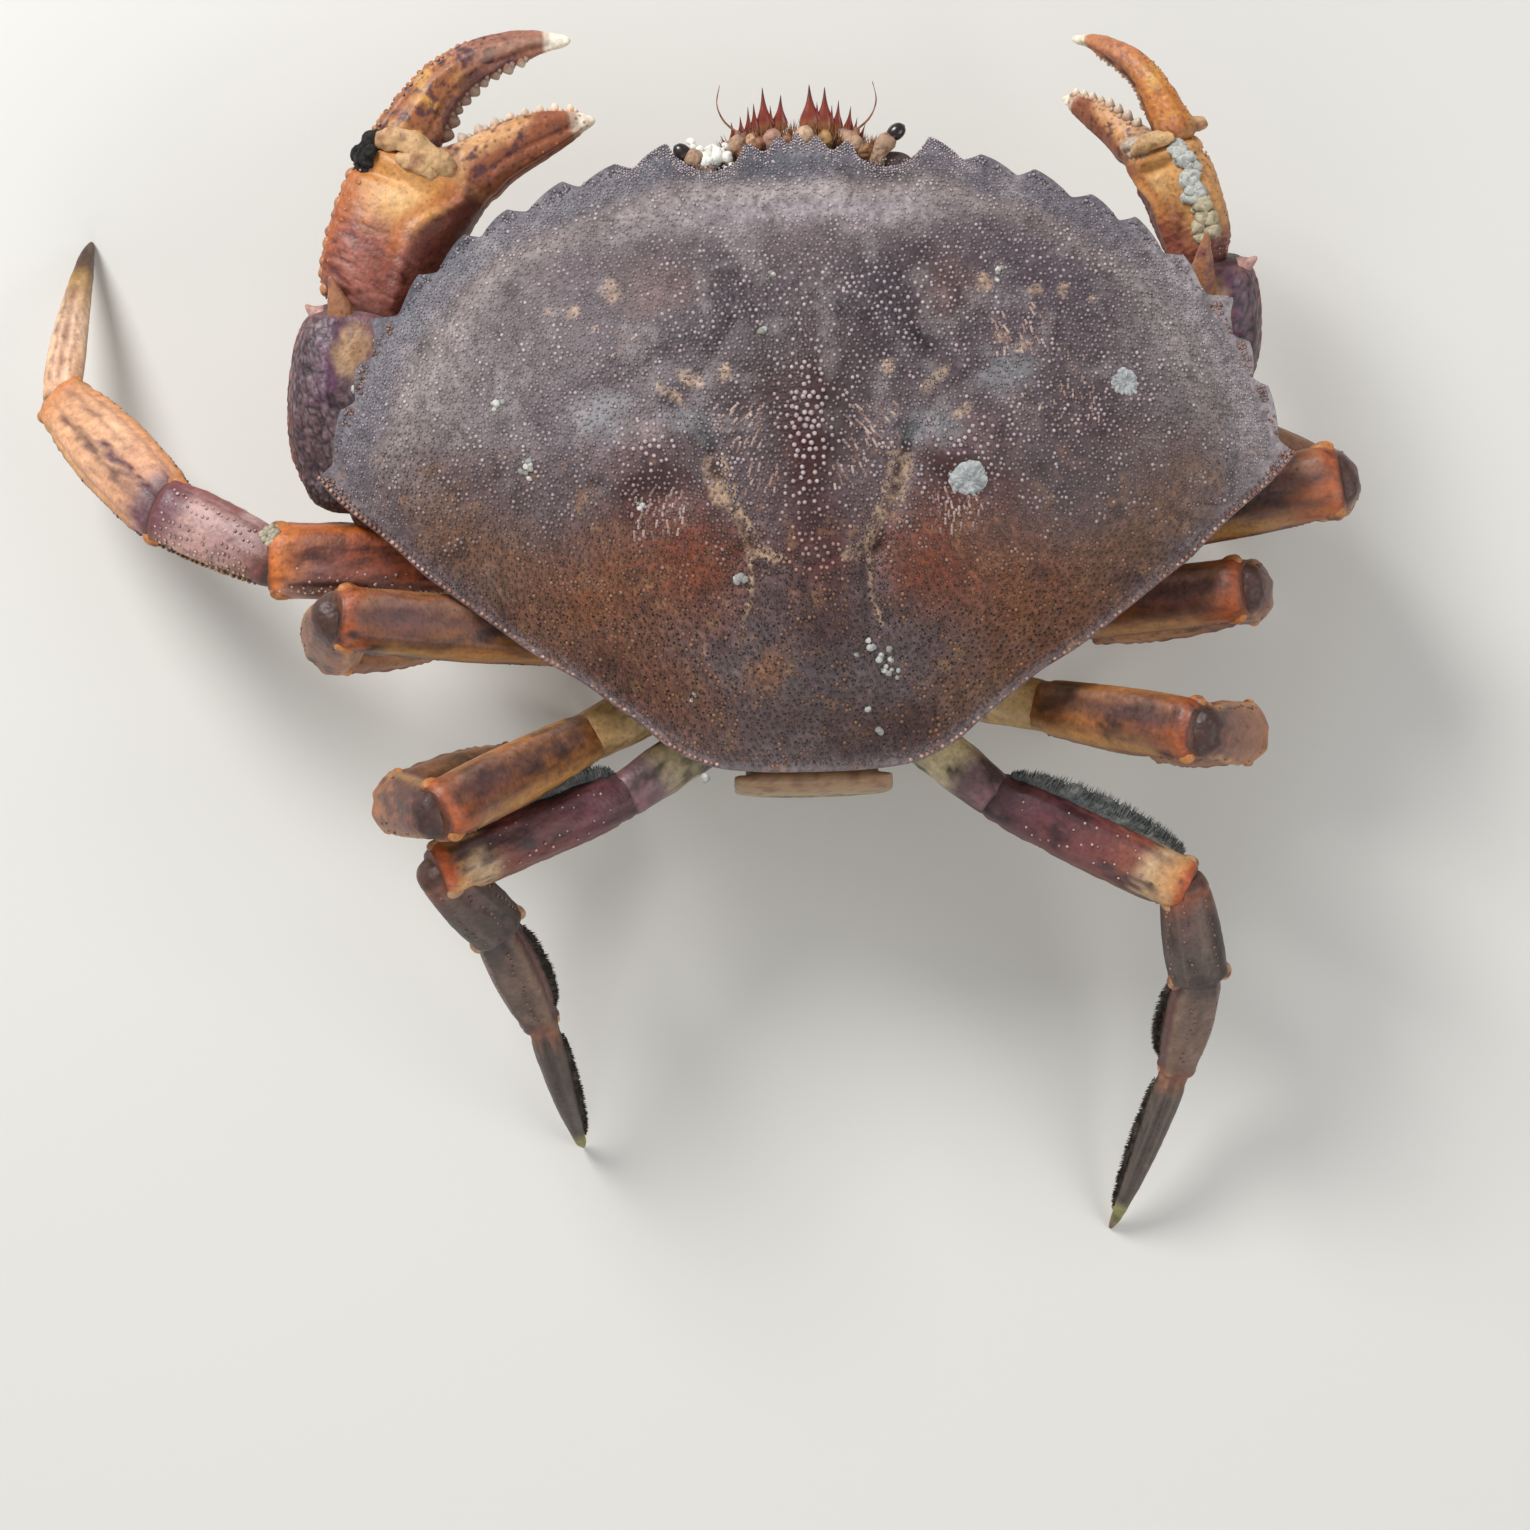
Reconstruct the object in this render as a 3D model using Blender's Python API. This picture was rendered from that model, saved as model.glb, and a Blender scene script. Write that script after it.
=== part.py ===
"""A dungeness crab at life size, standing still with its claws held out in front.

Lengths are in millimetres, and each finished mesh is scaled to metres. +Z is up, the crab faces -Y and
its left side is +X. Every limb is a chain of segments. Two segments meet on the plane that halves the bend
between them, half a gap to each side of it, so they face each other and never overlap.
"""
import math
import random

import bmesh
import bpy
from mathutils import Matrix, Vector

MM = 0.001
GAP = 0.3                    # between two pieces that touch
UP = Vector((0, 0, 1))

# The shell, measured from the point under its middle.
RIM_HEIGHT = 64.0            # underside of the shell's edge above the floor
DOME_HEIGHT = 20.6           # top of the shell above its edge, before its swellings
DOME_POWER = 2.35            # how flat the top of the dome is
DOME_SHOULDER = 1.12         # how soft its foot is
EDGE_THICKNESS = 1.3
TOOTH_DEPTH = 1.9            # how far the notches cut in behind the line of the teeth
TOOTH_REACH = 0.06           # part of the way in over which the notches fade
FRONT_OF_PLAIN_EDGE = -52.4
PLAIN_EDGE_SMOOTHING = 4     # how often the plain edge is averaged with its neighbours
FRONT_POINTS = ((0, -56.7), (1.7, -54.6), (3.3, -56.0), (5.8, -53.4), (8.8, -54.9), (10.8, -51.8),
                (14.1, -50.0), (18.0, -50.6), (21.2, -53.0))
MARGIN_TEETH = ((22.8, -55.3), (31.6, -52.0), (40.9, -49.2), (50.6, -44.6), (58.2, -40.5),
                (66.3, -33.7), (73.0, -25.4), (77.4, -18.3), (80.4, -10.6), (85.0, 1.2))
REAR_POINTS = ((80.4, 6.2), (73.0, 12.4), (66.2, 18.8), (56.5, 26.3), (47.0, 33.4), (40.0, 37.6),
               (34.5, 41.8), (29.5, 45.6), (24.5, 49.8), (17.5, 53.0), (9.0, 54.1), (0, 54.3))
SHELL_RINGS = (1.0, 0.975, 0.955, 0.93, 0.9, 0.86, 0.81, 0.75, 0.69, 0.62, 0.55, 0.48, 0.41, 0.34, 0.27, 0.2,
               0.13, 0.06)
# Swellings and hollows on both sides: height, middle x, middle y, half width, half length, turn in degrees.
SHELL_FORMS = ((1.9, 0, -21, 17, 15, 0), (1.3, 0, 22, 10, 13, 0), (1.6, 38, 2, 19, 22, 0),
               (1.1, 20, -28, 9, 10, 0), (0.9, 44, -24, 12, 9, -20), (0.8, 36, 27, 14, 10, 35),
               (1.2, 27.6, -2.2, 5.0, 3.4, 0), (-1.5, 25, 5.6, 5.5, 3.2, 20), (0.8, 0, -4, 3.2, 13, 0),
               (-0.7, 8.5, -6, 4, 9, 0), (0.9, 0, 33, 8.5, 7, 0), (-0.9, 31, -14, 10, 3, 25),
               (-0.8, 33, -38, 22, 3, 14), (-0.7, 0, -42, 16, 3.2, 0), (0.6, 10, -46, 6, 3, 0),
               (-0.8, 62, -19, 3.2, 14, 35), (-0.8, 0, 47, 15, 3.0, 0), (0.7, 57, 4, 9, 12, 0),
               (-0.6, 47, -5, 3, 12, 30))

# The body under the shell: depth below the edge, half width, front end, rear end, roundness.
BODY_LEVELS = ((0.3, 79.0, -49.8, 52.4, 0.0), (1.6, 78.0, -49.6, 52.2, 0.0),
               (4.4, 67.0, -49.2, 51.6, 0.25), (8.0, 52.0, -47.2, 51.0, 0.6),
               (12.0, 39.0, -44.0, 50.5, 1.0), (14.0, 32.0, -42.0, 50.2, 1.0),
               (21.0, 29.5, -36.0, 49.0, 1.0), (25.5, 25.0, -30.0, 45.0, 1.0),
               (27.2, 16.0, -24.0, 38.0, 1.0))
PLAIN_EDGE = (80.0, -52.4, 54.3)     # half width, front and rear of the outline that the levels follow

LIMB_SIDES = 10
LEG_SEGMENTS = ("hip", "merus", "carpus", "propodus", "dactyl")
# Walking legs, front to rear. Widths lie level, heights stand on end.
LEG_LENGTHS = {1: (17.0, 51.5, 24.5, 38.5, 40.0), 2: (15.0, 48.0, 23.0, 33.5, 33.0),
               3: (17.0, 40.0, 22.0, 34.0, 31.0), 4: (15.5, 37.5, 18.5, 28.0, 41.0)}
LEG_WIDTHS = {1: (12.0, 13.4, 12.8, 14.6, 7.4), 2: (11.5, 11.6, 11.6, 11.5, 6.6),
              3: (11.0, 11.2, 11.0, 10.6, 6.4), 4: (10.0, 10.2, 11.0, 9.2, 6.0)}
LEG_HEIGHTS = {1: (11.0, 10.0, 10.0, 8.0, 5.6), 2: (11.0, 10.6, 10.0, 8.0, 5.4),
               3: (10.5, 10.2, 9.6, 7.8, 5.2), 4: (9.5, 9.6, 9.4, 7.4, 5.0)}
# Where each leg leaves the body: x, y, height over the floor.
LEG_ROOTS = {1: (27.0, 14.0, 44.0), 2: (26.0, 26.5, 44.0), 3: (25.0, 39.5, 44.0), 4: (21.0, 49.5, 44.0)}
# Compass direction of each segment, seen from above with 0 straight out sideways and 90 to the rear,
# and its dip below level. The last segment's dip is worked out, so that its tip reaches the floor.
LEG_DIRECTIONS = {
    ("left", 1): (4, -1, -26, -45, -93), ("right", 1): (-3, -9, -18, -149, -155),
    ("left", 2): (11, -5, 40, -170, -167), ("right", 2): (3, -4, -5, 172, 176),
    ("left", 3): (27, 27, -12, -160, -152), ("right", 3): (14, 13, 2, 174, -171),
    ("left", 4): (33, 21, 129, 108, 101), ("right", 4): (41, 27, 79, 95, 108)}
LEG_DIPS = {
    ("left", 1): (0, -7, 20, 31), ("right", 1): (0, -13, 84, 37),
    ("left", 2): (-4, -32, 76, 58), ("right", 2): (52, -30, 80, 40),
    ("left", 3): (-8, -46, 66, 56), ("right", 3): (-5, -52, 62, 72),
    ("left", 4): (-14, -23, 43, 44), ("right", 4): (-9, -5, 25, 47)}

# Shape of a segment along its length: place, then width and height as parts of the largest.
SEGMENT_PROFILES = {
    "hip": ((0.0, 1.0, 1.0), (0.35, 0.96, 1.0), (0.7, 0.88, 0.9), (1.0, 0.8, 0.84)),
    "merus": ((0.0, 0.72, 0.74), (0.2, 0.88, 0.88), (0.55, 1.0, 1.0), (0.85, 0.98, 0.96), (1.0, 0.86, 0.84)),
    "carpus": ((0.0, 0.72, 0.72), (0.3, 0.88, 0.86), (0.65, 1.0, 1.0), (1.0, 0.88, 0.9)),
    "propodus": ((0.0, 0.8, 0.84), (0.25, 0.97, 1.0), (0.55, 1.0, 0.96), (0.8, 0.84, 0.86),
                 (1.0, 0.58, 0.68)),
    "dactyl": ((0.0, 0.96, 0.96), (0.15, 1.0, 1.0), (0.42, 0.84, 0.88), (0.7, 0.58, 0.64), (0.9, 0.3, 0.38))}
DACTYL_BOW = 2.2             # how far the middle of a leg's last segment arches up
DACTYL_TIP = 0.16            # width of its tip as part of its largest

# Claw limbs.
CLAW_ROOT = (25.0, -1.0, 45.0)
CLAW_LENGTHS = {"left": (18.5, 40.0, 30.0), "right": (16.0, 35.0, 23.0)}
CLAW_WIDTHS = {"left": (14.0, 16.5, 20.0), "right": (12.6, 14.4, 15.6)}
CLAW_HEIGHTS = {"left": (13.0, 13.4, 14.6), "right": (12.0, 12.6, 13.0)}
CLAW_DIRECTIONS = {"left": (-22, 14, -97), "right": (-27, -8, -93)}
CLAW_DIPS = {"left": (-4, -8, -2), "right": (-4, 10, -20)}
# Palm with its fixed finger: place along it, middle across, half width, half thickness.
PALM_SECTIONS = ((-2.2, 0.2, 4.6, 3.8), (0.0, 0.4, 7.4, 5.0), (4.0, 1.3, 9.8, 5.9), (10.0, 1.7, 10.9, 6.5),
                 (18.0, 2.0, 11.7, 6.8), (25.0, 1.5, 12.4, 6.6), (28.6, 0.9, 12.6, 6.3),
                 (30.4, -5.6, 6.7, 5.4), (34.5, -8.2, 5.2, 4.4), (38.5, -11.0, 4.8, 3.6),
                 (42.6, -14.7, 4.0, 2.9), (46.0, -18.4, 2.6, 2.1), (48.4, -22.0, 0.9, 0.8))
FINGER_SECTIONS = ((28.0, 7.0, 5.4, 4.4), (30.5, 6.8, 6.2, 4.6), (36.0, 6.2, 5.5, 4.0),
                   (42.0, 5.2, 4.7, 3.5), (47.5, 2.7, 4.0, 3.0), (52.6, -1.6, 3.4, 2.5),
                   (56.6, -6.6, 2.4, 1.8), (59.4, -12.0, 0.8, 0.7))
CLAW_SCALE = {"left": 1.0, "right": 0.78}    # the right claw is the smaller
CLAW_SIDES = 14
TOOTH_COUNT = 7
TOOTH_RADIUS = 1.5
TOOTH_SINK = 1.5             # how deep the foot of a tooth or a knob sits
CREST_KNOBS = 6
KNOB_RADIUS = 2.0
# The spine on top of the carpus: its root and its tip.
CARPUS_SPINE = {"left": ((80.4, -26.0, 55.0), (82.4, -34.6, 61.2)),
                "right": ((-71.0, -28.6, 50.0), (-71.6, -38.6, 58.8))}
CARPUS_SPINE_RADIUS = 3.4
# Palm directions: along it, and the side that the moving finger is on.
CLAW_ALONG = {"left": (-0.433, -0.902, 0.0), "right": (0.345, -0.935, 0.075)}
CLAW_ACROSS = {"left": (0.902, -0.433, 0.0), "right": (-0.565, -0.145, 0.81)}

# Tail flap folded under the body: y, depth below the shell's edge, half width.
FLAP_SECTIONS = ((54.8, 1.8, 14.6), (56.6, 5.0, 15.2), (57.6, 10.0, 15.0), (56.8, 16.0, 14.2),
                 (54.2, 22.0, 13.0), (49.0, 27.6, 11.6), (41.0, 30.2, 10.2), (30.0, 30.8, 8.4),
                 (18.0, 30.9, 6.6), (6.0, 30.6, 5.0), (-3.0, 30.2, 3.2))
FLAP_THICKNESS = 3.0

# Mouth plates: y, depth, middle x, half width, thickness.
MOUTH_SECTIONS = ((-25.6, 29.0, 4.2, 3.4, 2.0), (-31.0, 27.0, 5.5, 4.9, 3.0),
                  (-38.5, 22.2, 6.4, 5.8, 3.8), (-46.0, 15.2, 6.7, 6.1, 4.0),
                  (-51.4, 10.4, 6.7, 6.1, 4.0), (-56.2, 6.8, 6.5, 5.8, 3.6),
                  (-58.8, 5.4, 6.2, 5.0, 2.4))
# Bristles over the mouth: tip x and y, root x and y, radius.
BRISTLES = ((5.9, -65.4, 5.6, -58.4, 1.05), (2.7, -64.0, 3.0, -59.2, 0.95),
            (-2.3, -65.7, -2.4, -59.0, 1.25), (-5.0, -65.2, -4.8, -58.6, 1.1),
            (-7.4, -62.8, -7.2, -58.4, 0.8), (-9.5, -61.7, -9.0, -57.8, 0.8),
            (7.5, -62.6, 7.5, -57.9, 0.8), (9.9, -60.9, 9.6, -57.4, 0.85))
BRISTLE_DEPTHS = (5.4, 2.8)          # of root and tip below the shell's edge
BRISTLE_SINK = 1.4                   # how deep a bristle's root sits in its plate

EYE_STALK = ((15.4, -49.6, 0.2), (19.0, -54.4, 0.9))
EYE_RADIUS = 2.5
ANTENNA_BASE = ((9.0, -53.4, -2.8), (10.4, -59.0, -2.5))
ANTENNA_TIP = (13.2, -66.0, -0.4)


def colour(hex_code):
    """Linear RGBA of an sRGB hex code."""
    channels = []
    for start in (0, 2, 4):
        value = int(hex_code[start:start + 2], 16) / 255
        channels.append(value / 12.92 if value <= 0.04045 else ((value + 0.055) / 1.055) ** 2.4)
    return channels + [1.0]


FINISHES = {"shell": ("6f5c5a", 0.42), "underside": ("d8c4a0", 0.5), "claw": ("a8633a", 0.4),
            "arm": ("6a4a48", 0.45), "leg": ("a06a48", 0.45), "leg_tip": ("8a6a48", 0.5),
            "mouth": ("b98a5c", 0.5), "eye": ("1c1210", 0.15), "feeler": ("c9a06c", 0.5)}


def make_material(name):
    """The Principled material of one finish, made once."""
    material = bpy.data.materials.get(name)
    if material is None:
        hex_code, roughness = FINISHES[name]
        material = bpy.data.materials.new(name)
        material.use_nodes = True
        shader = material.node_tree.nodes["Principled BSDF"]
        shader.inputs["Base Color"].default_value = colour(hex_code)
        shader.inputs["Roughness"].default_value = roughness
        shader.inputs["Metallic"].default_value = 0.0
    return material


# ---------------------------------------------------------------- meshes in millimetres

def new_mesh(body):
    """A mesh from a bmesh, with its faces turned outward."""
    bmesh.ops.recalc_face_normals(body, faces=body.faces)
    mesh = bpy.data.meshes.new("piece")
    body.to_mesh(mesh)
    body.free()
    return mesh


def loft(rings):
    """A closed body through rings of equal point counts, with a flat face at each end."""
    body = bmesh.new()
    loops = [[body.verts.new(point) for point in ring] for ring in rings]
    count = len(rings[0])
    for lower, upper in zip(loops, loops[1:]):
        for i in range(count):
            j = (i + 1) % count
            body.faces.new((lower[i], lower[j], upper[j], upper[i]))
    body.faces.new(reversed(loops[0]))
    body.faces.new(loops[-1])
    return new_mesh(body)


def oval(middle, side, rise, half_width, half_height, count, power=2.4):
    """A ring of points on a superellipse that spans side and rise."""
    ring = []
    for i in range(count):
        angle = 2 * math.pi * (i + 0.5) / count
        across = math.copysign(abs(math.cos(angle)) ** (2 / power), math.cos(angle))
        along = math.copysign(abs(math.sin(angle)) ** (2 / power), math.sin(angle))
        ring.append(middle + side * (half_width * across) + rise * (half_height * along))
    return ring


def cut(mesh, point, normal):
    """Remove what lies on the side that normal points to, and close the cut."""
    body = bmesh.new()
    body.from_mesh(mesh)
    found = bmesh.ops.bisect_plane(body, geom=body.verts[:] + body.edges[:] + body.faces[:], dist=0.001,
                                   plane_co=point, plane_no=normal, clear_outer=True)
    rim = [item for item in found["geom_cut"] if isinstance(item, bmesh.types.BMEdge)]
    bmesh.ops.edgenet_fill(body, edges=rim)
    bpy.data.meshes.remove(mesh)
    return new_mesh(body)


def largest_island(mesh):
    """Keep only the closed surface with the most volume."""
    body = bmesh.new()
    body.from_mesh(mesh)
    islands, seen = [], set()
    for start in body.faces:
        if start in seen:
            continue
        island, queue = [], [start]
        seen.add(start)
        while queue:
            face = queue.pop()
            island.append(face)
            for edge in face.edges:
                for other in edge.link_faces:
                    if other not in seen:
                        seen.add(other)
                        queue.append(other)
        islands.append(island)
    islands.sort(key=lambda island: extent(island), reverse=True)
    for island in islands[1:]:
        bmesh.ops.delete(body, geom=island, context="FACES")
    bpy.data.meshes.remove(mesh)
    return new_mesh(body)


def extent(faces):
    """Diagonal of the box round some faces."""
    points = [vert.co for face in faces for vert in face.verts]
    spans = [max(point[k] for point in points) - min(point[k] for point in points) for k in range(3)]
    return Vector(spans).length


def is_closed(mesh):
    """Whether every edge of a mesh has two faces."""
    body = bmesh.new()
    body.from_mesh(mesh)
    closed = len(body.faces) > 0 and all(edge.is_manifold for edge in body.edges)
    body.free()
    return closed


def combine(mesh, others, operation):
    """One Boolean of a mesh with a collection of closed meshes, by MANIFOLD where EXACT leaves a hole."""
    target = bpy.data.objects.new("target", mesh)
    bpy.context.scene.collection.objects.link(target)
    group = bpy.data.collections.new("tools")
    tools = [bpy.data.objects.new("tool", other) for other in others]
    for tool in tools:
        group.objects.link(tool)
    bpy.context.scene.collection.children.link(group)
    modifier = target.modifiers.new("combine", "BOOLEAN")
    modifier.operation = operation
    modifier.operand_type = "COLLECTION"
    modifier.collection = group
    modifier.solver = "EXACT"
    depsgraph = bpy.context.evaluated_depsgraph_get()
    result = bpy.data.meshes.new_from_object(target.evaluated_get(depsgraph))
    if not is_closed(result):
        modifier.solver = "MANIFOLD"
        depsgraph = bpy.context.evaluated_depsgraph_get()
        result = bpy.data.meshes.new_from_object(target.evaluated_get(depsgraph))
    for item in [target] + tools:
        old = item.data
        bpy.data.objects.remove(item)
        bpy.data.meshes.remove(old)
    bpy.data.collections.remove(group)
    return largest_island(result)


def grown(mesh, distance):
    """A copy of a closed mesh with its surface moved outward."""
    body = bmesh.new()
    body.from_mesh(mesh)
    body.normal_update()
    moves = [vert.normal * (distance * min(1.6, vert.calc_shell_factor())) for vert in body.verts]
    for vert, move in zip(body.verts, moves):
        vert.co += move
    return new_mesh(body)


def clear_of(mesh, neighbours):
    """Cut a mesh back to a gap's width from its neighbours."""
    return combine(mesh, [grown(neighbour, GAP) for neighbour in neighbours], "DIFFERENCE")


def cone(base, tip, radius, sides=4, waist=0.55):
    """A tapered point with a soft shoulder half way along."""
    axis = (tip - base).normalized()
    side = axis.orthogonal().normalized()
    rise = axis.cross(side)
    rings = [oval(base.lerp(tip, part), side, rise, radius * size, radius * size, sides, 2.0)
             for part, size in ((0.0, 1.0), (waist, 0.72), (1.0, 0.22))]
    return loft(rings)


# ---------------------------------------------------------------- shell and body

def margin_with_teeth():
    """Half of the shell's edge, front middle to rear middle: its points, and the same without teeth."""
    toothed = [Vector(point) for point in FRONT_POINTS]
    plain = [Vector((x, FRONT_OF_PLAIN_EDGE)) for x, _ in FRONT_POINTS]
    for tip, following in zip(MARGIN_TEETH, MARGIN_TEETH[1:]):
        tip, following = Vector(tip), Vector(following)
        along = (following - tip).normalized()
        inward = Vector((-along.y, along.x))
        for part, depth in ((0.0, 0.0), (0.36, 0.42), (0.72, 1.0)):
            toothed.append(tip.lerp(following, part) + inward * TOOTH_DEPTH * depth)
            plain.append(tip.lerp(following, part) + inward * TOOTH_DEPTH * 0.9)
    spine = Vector(MARGIN_TEETH[-1])
    toothed.append(spine)
    plain.append(spine + Vector((-5.0, 0.4)))
    for point in REAR_POINTS:
        toothed.append(Vector(point))
        plain.append(Vector(point))
    plain[-len(REAR_POINTS)] += Vector((-1.6, -0.6))
    return toothed, plain


def both_sides(half):
    """A closed outline from its right-hand half, whose first and last points are on the middle line."""
    return list(half) + [Vector((-point.x, point.y)) for point in reversed(half[1:-1])]


def dome_height(x, y, part):
    """Height of the shell over its edge. part is 1 at the edge and 0 over the origin."""
    height = DOME_HEIGHT * (1 - part ** DOME_POWER) ** DOME_SHOULDER
    for swell, middle_x, middle_y, half_width, half_length, turn in SHELL_FORMS:
        across, along = abs(x) - middle_x, y - middle_y
        cosine, sine = math.cos(math.radians(turn)), math.sin(math.radians(turn))
        away = math.hypot((across * cosine + along * sine) / half_width,
                          (along * cosine - across * sine) / half_length)
        height += swell * (1 - part ** 5) * math.exp(-away * away)
    return height


def build_carapace():
    """The domed shell: rings that shrink from its toothed edge to its middle, over a flat base."""
    toothed, plain = (both_sides(half) for half in margin_with_teeth())
    for _ in range(PLAIN_EDGE_SMOOTHING):
        after = plain[1:] + plain[:1]
        plain = [(plain[i - 1] + point * 2 + after[i]) / 4 for i, point in enumerate(plain)]
    rings = [[Vector((point.x * 0.994, point.y * 0.994, RIM_HEIGHT)) for point in toothed]]
    for part in SHELL_RINGS:
        blend = min(1.0, (1 - part) / TOOTH_REACH)
        ring = []
        for edge, smooth in zip(toothed, plain):
            spot = edge.lerp(smooth, blend) * part
            lift = dome_height(spot.x, spot.y, part)
            ring.append(Vector((spot.x, spot.y, RIM_HEIGHT + EDGE_THICKNESS + lift)))
        rings.append(ring)
    return loft(rings)


def build_underbody():
    """The body below the shell: the turned-in sides, narrowing to the breastplate between the legs."""
    _, plain = margin_with_teeth()
    outline = both_sides(plain[::2] if len(plain) % 2 else plain[::2] + plain[-1:])
    wide, front, rear = PLAIN_EDGE
    rings = []
    for depth, half_width, level_front, level_rear, roundness in BODY_LEVELS:
        ring = []
        middle_y, half_length = (level_front + level_rear) / 2, (level_rear - level_front) / 2
        for point in outline:
            across = point.x / wide
            along = (point.y - front) / (rear - front)
            follow = Vector((across * half_width, level_front + along * (level_rear - level_front)))
            angle = math.atan2((along - 0.5) * 2, across)
            round_x = math.copysign(abs(math.cos(angle)) ** 0.66, math.cos(angle)) * half_width
            round_y = middle_y + math.copysign(abs(math.sin(angle)) ** 0.66, math.sin(angle)) * half_length
            spot = follow.lerp(Vector((round_x, round_y)), roundness)
            ring.append(Vector((spot.x, spot.y, RIM_HEIGHT - depth)))
        rings.append(ring)
    return loft(rings[::-1])


def build_abdomen(underbody):
    """The narrow tail flap, from under the shell's rear edge round below the body to its tip."""
    crosswise = Vector((1, 0, 0))
    middles = [Vector((0, y, RIM_HEIGHT - depth)) for y, depth, _ in FLAP_SECTIONS]
    rings = []
    for i, (_, _, half_width) in enumerate(FLAP_SECTIONS):
        before, after = middles[max(i - 1, 0)], middles[min(i + 1, len(middles) - 1)]
        outward = (after - before).normalized().cross(crosswise)
        rings.append(oval(middles[i], crosswise, outward, half_width, FLAP_THICKNESS / 2, 10, 3.0))
    return clear_of(loft(rings), [underbody])


# ---------------------------------------------------------------- head

def build_mouth_plate(side, underbody):
    """One outer jaw: a long plate up the front of the body, with a row of bristles at its top."""
    middles = [Vector((side * x, y, RIM_HEIGHT - depth)) for y, depth, x, _, _ in MOUTH_SECTIONS]
    rings = []
    for i, middle in enumerate(middles):
        before, after = middles[max(i - 1, 0)], middles[min(i + 1, len(middles) - 1)]
        along = (after - before).normalized()
        outward = along.cross(Vector((1, 0, 0))).normalized()
        _, _, _, half_width, thickness = MOUTH_SECTIONS[i]
        rings.append(oval(middle, Vector((1, 0, 0)), outward, half_width, thickness / 2, 12, 3.0))
    plate = loft(rings)
    spikes = []
    root_depth, tip_depth = BRISTLE_DEPTHS
    for tip_x, tip_y, root_x, root_y, radius in BRISTLES:
        if root_x * side > 0:
            root = Vector((root_x, root_y + BRISTLE_SINK, RIM_HEIGHT - root_depth))
            spikes.append(cone(root, Vector((tip_x, tip_y, RIM_HEIGHT - tip_depth)), radius, waist=0.45))
    return clear_of(combine(plate, spikes, "UNION"), [underbody])


def build_eye(side, neighbours):
    """A short stalk in its socket, swelling to the eye."""
    start, end = (Vector((side * x, y, RIM_HEIGHT + z)) for x, y, z in EYE_STALK)
    axis = (end - start).normalized()
    side_way = axis.cross(UP).normalized()
    rise = side_way.cross(axis)
    length = (end - start).length
    rings = []
    for along, radius in ((0.0, 1.5), (0.35, 1.7), (0.6, 2.0), (0.8, 2.4), (1.0, EYE_RADIUS),
                          (1.2, 2.1), (1.36, 1.1)):
        rings.append(oval(start + axis * (length * along), side_way, rise, radius, radius, 12, 2.0))
    return clear_of(loft(rings), neighbours)


def build_antenna(side, neighbours):
    """A feeler: a stout base beside the mouth and a thin lash that curves forward and out."""
    start, knuckle = (Vector((side * x, y, RIM_HEIGHT + z)) for x, y, z in ANTENNA_BASE)
    tip = Vector((side * ANTENNA_TIP[0], ANTENNA_TIP[1], RIM_HEIGHT + ANTENNA_TIP[2]))
    rings = []
    for part, width, height in ((0.0, 2.3, 1.5), (0.5, 2.5, 1.7), (0.85, 2.1, 1.5), (1.0, 1.2, 1.0)):
        rings.append(oval(start.lerp(knuckle, part), Vector((1, 0, 0)), UP, width, height, 10, 2.4))
    for part, radius in ((0.12, 0.6), (0.4, 0.5), (0.7, 0.42), (1.0, 0.3)):
        spot = knuckle.lerp(tip, part) + Vector((0, 0, 1.2 * math.sin(math.pi * part)))
        rings.append(oval(spot, Vector((1, 0, 0)), UP, radius, radius, 10, 2.0))
    return clear_of(loft(rings), neighbours)


# ---------------------------------------------------------------- limbs

def direction(side, compass, dip):
    """A unit vector from a compass angle and a dip. side is 1 on the left and -1 on the right."""
    turn, fall = math.radians(compass), math.radians(dip)
    return Vector((side * math.cos(turn) * math.cos(fall), math.sin(turn) * math.cos(fall), -math.sin(fall)))


def level_side(axis, side, compass):
    """The level direction square to a segment."""
    turn = math.radians(compass)
    return Vector((-side * math.sin(turn), math.cos(turn), 0))


def segment(start, axis, length, width, height, profile, compass, side, bow=0.0, tip=None):
    """One limb segment, round at the joint ends, or running to a tip."""
    across = level_side(axis, side, compass)
    rise = across.cross(axis)
    if rise.z < 0:
        rise = -rise
    stations = []
    first, last = profile[0], profile[-1]
    radius = width / 2
    stations.append((-0.62 * radius * first[1] / length, first[1] * 0.5, first[2] * 0.5))
    stations.append((-0.36 * radius * first[1] / length, first[1] * 0.85, first[2] * 0.85))
    stations.extend(profile)
    if tip is None:
        stations.append((1 + 0.36 * radius * last[1] / length, last[1] * 0.85, last[2] * 0.85))
        stations.append((1 + 0.62 * radius * last[1] / length, last[1] * 0.5, last[2] * 0.5))
    else:
        stations.append((1.0, tip, tip))
        stations.append((1.04, tip * 0.8, tip * 0.8))
    rings = []
    for part, wide, high in stations:
        lift = rise * (bow * 4 * max(part, 0) * (1 - min(part, 1)))
        middle = start + axis * (length * part) + lift
        rings.append(oval(middle, across, rise, width / 2 * wide, height / 2 * high, LIMB_SIDES))
    return loft(rings)


def meet(meshes, joints, axes):
    """Cut neighbouring segments on the planes that halve their bends."""
    for i in range(len(meshes) - 1):
        normal = (axes[i] + axes[i + 1]).normalized()
        joint = joints[i + 1]
        meshes[i] = cut(meshes[i], joint - normal * (GAP / 2), normal)
        meshes[i + 1] = cut(meshes[i + 1], joint + normal * (GAP / 2), -normal)
    return meshes


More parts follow.
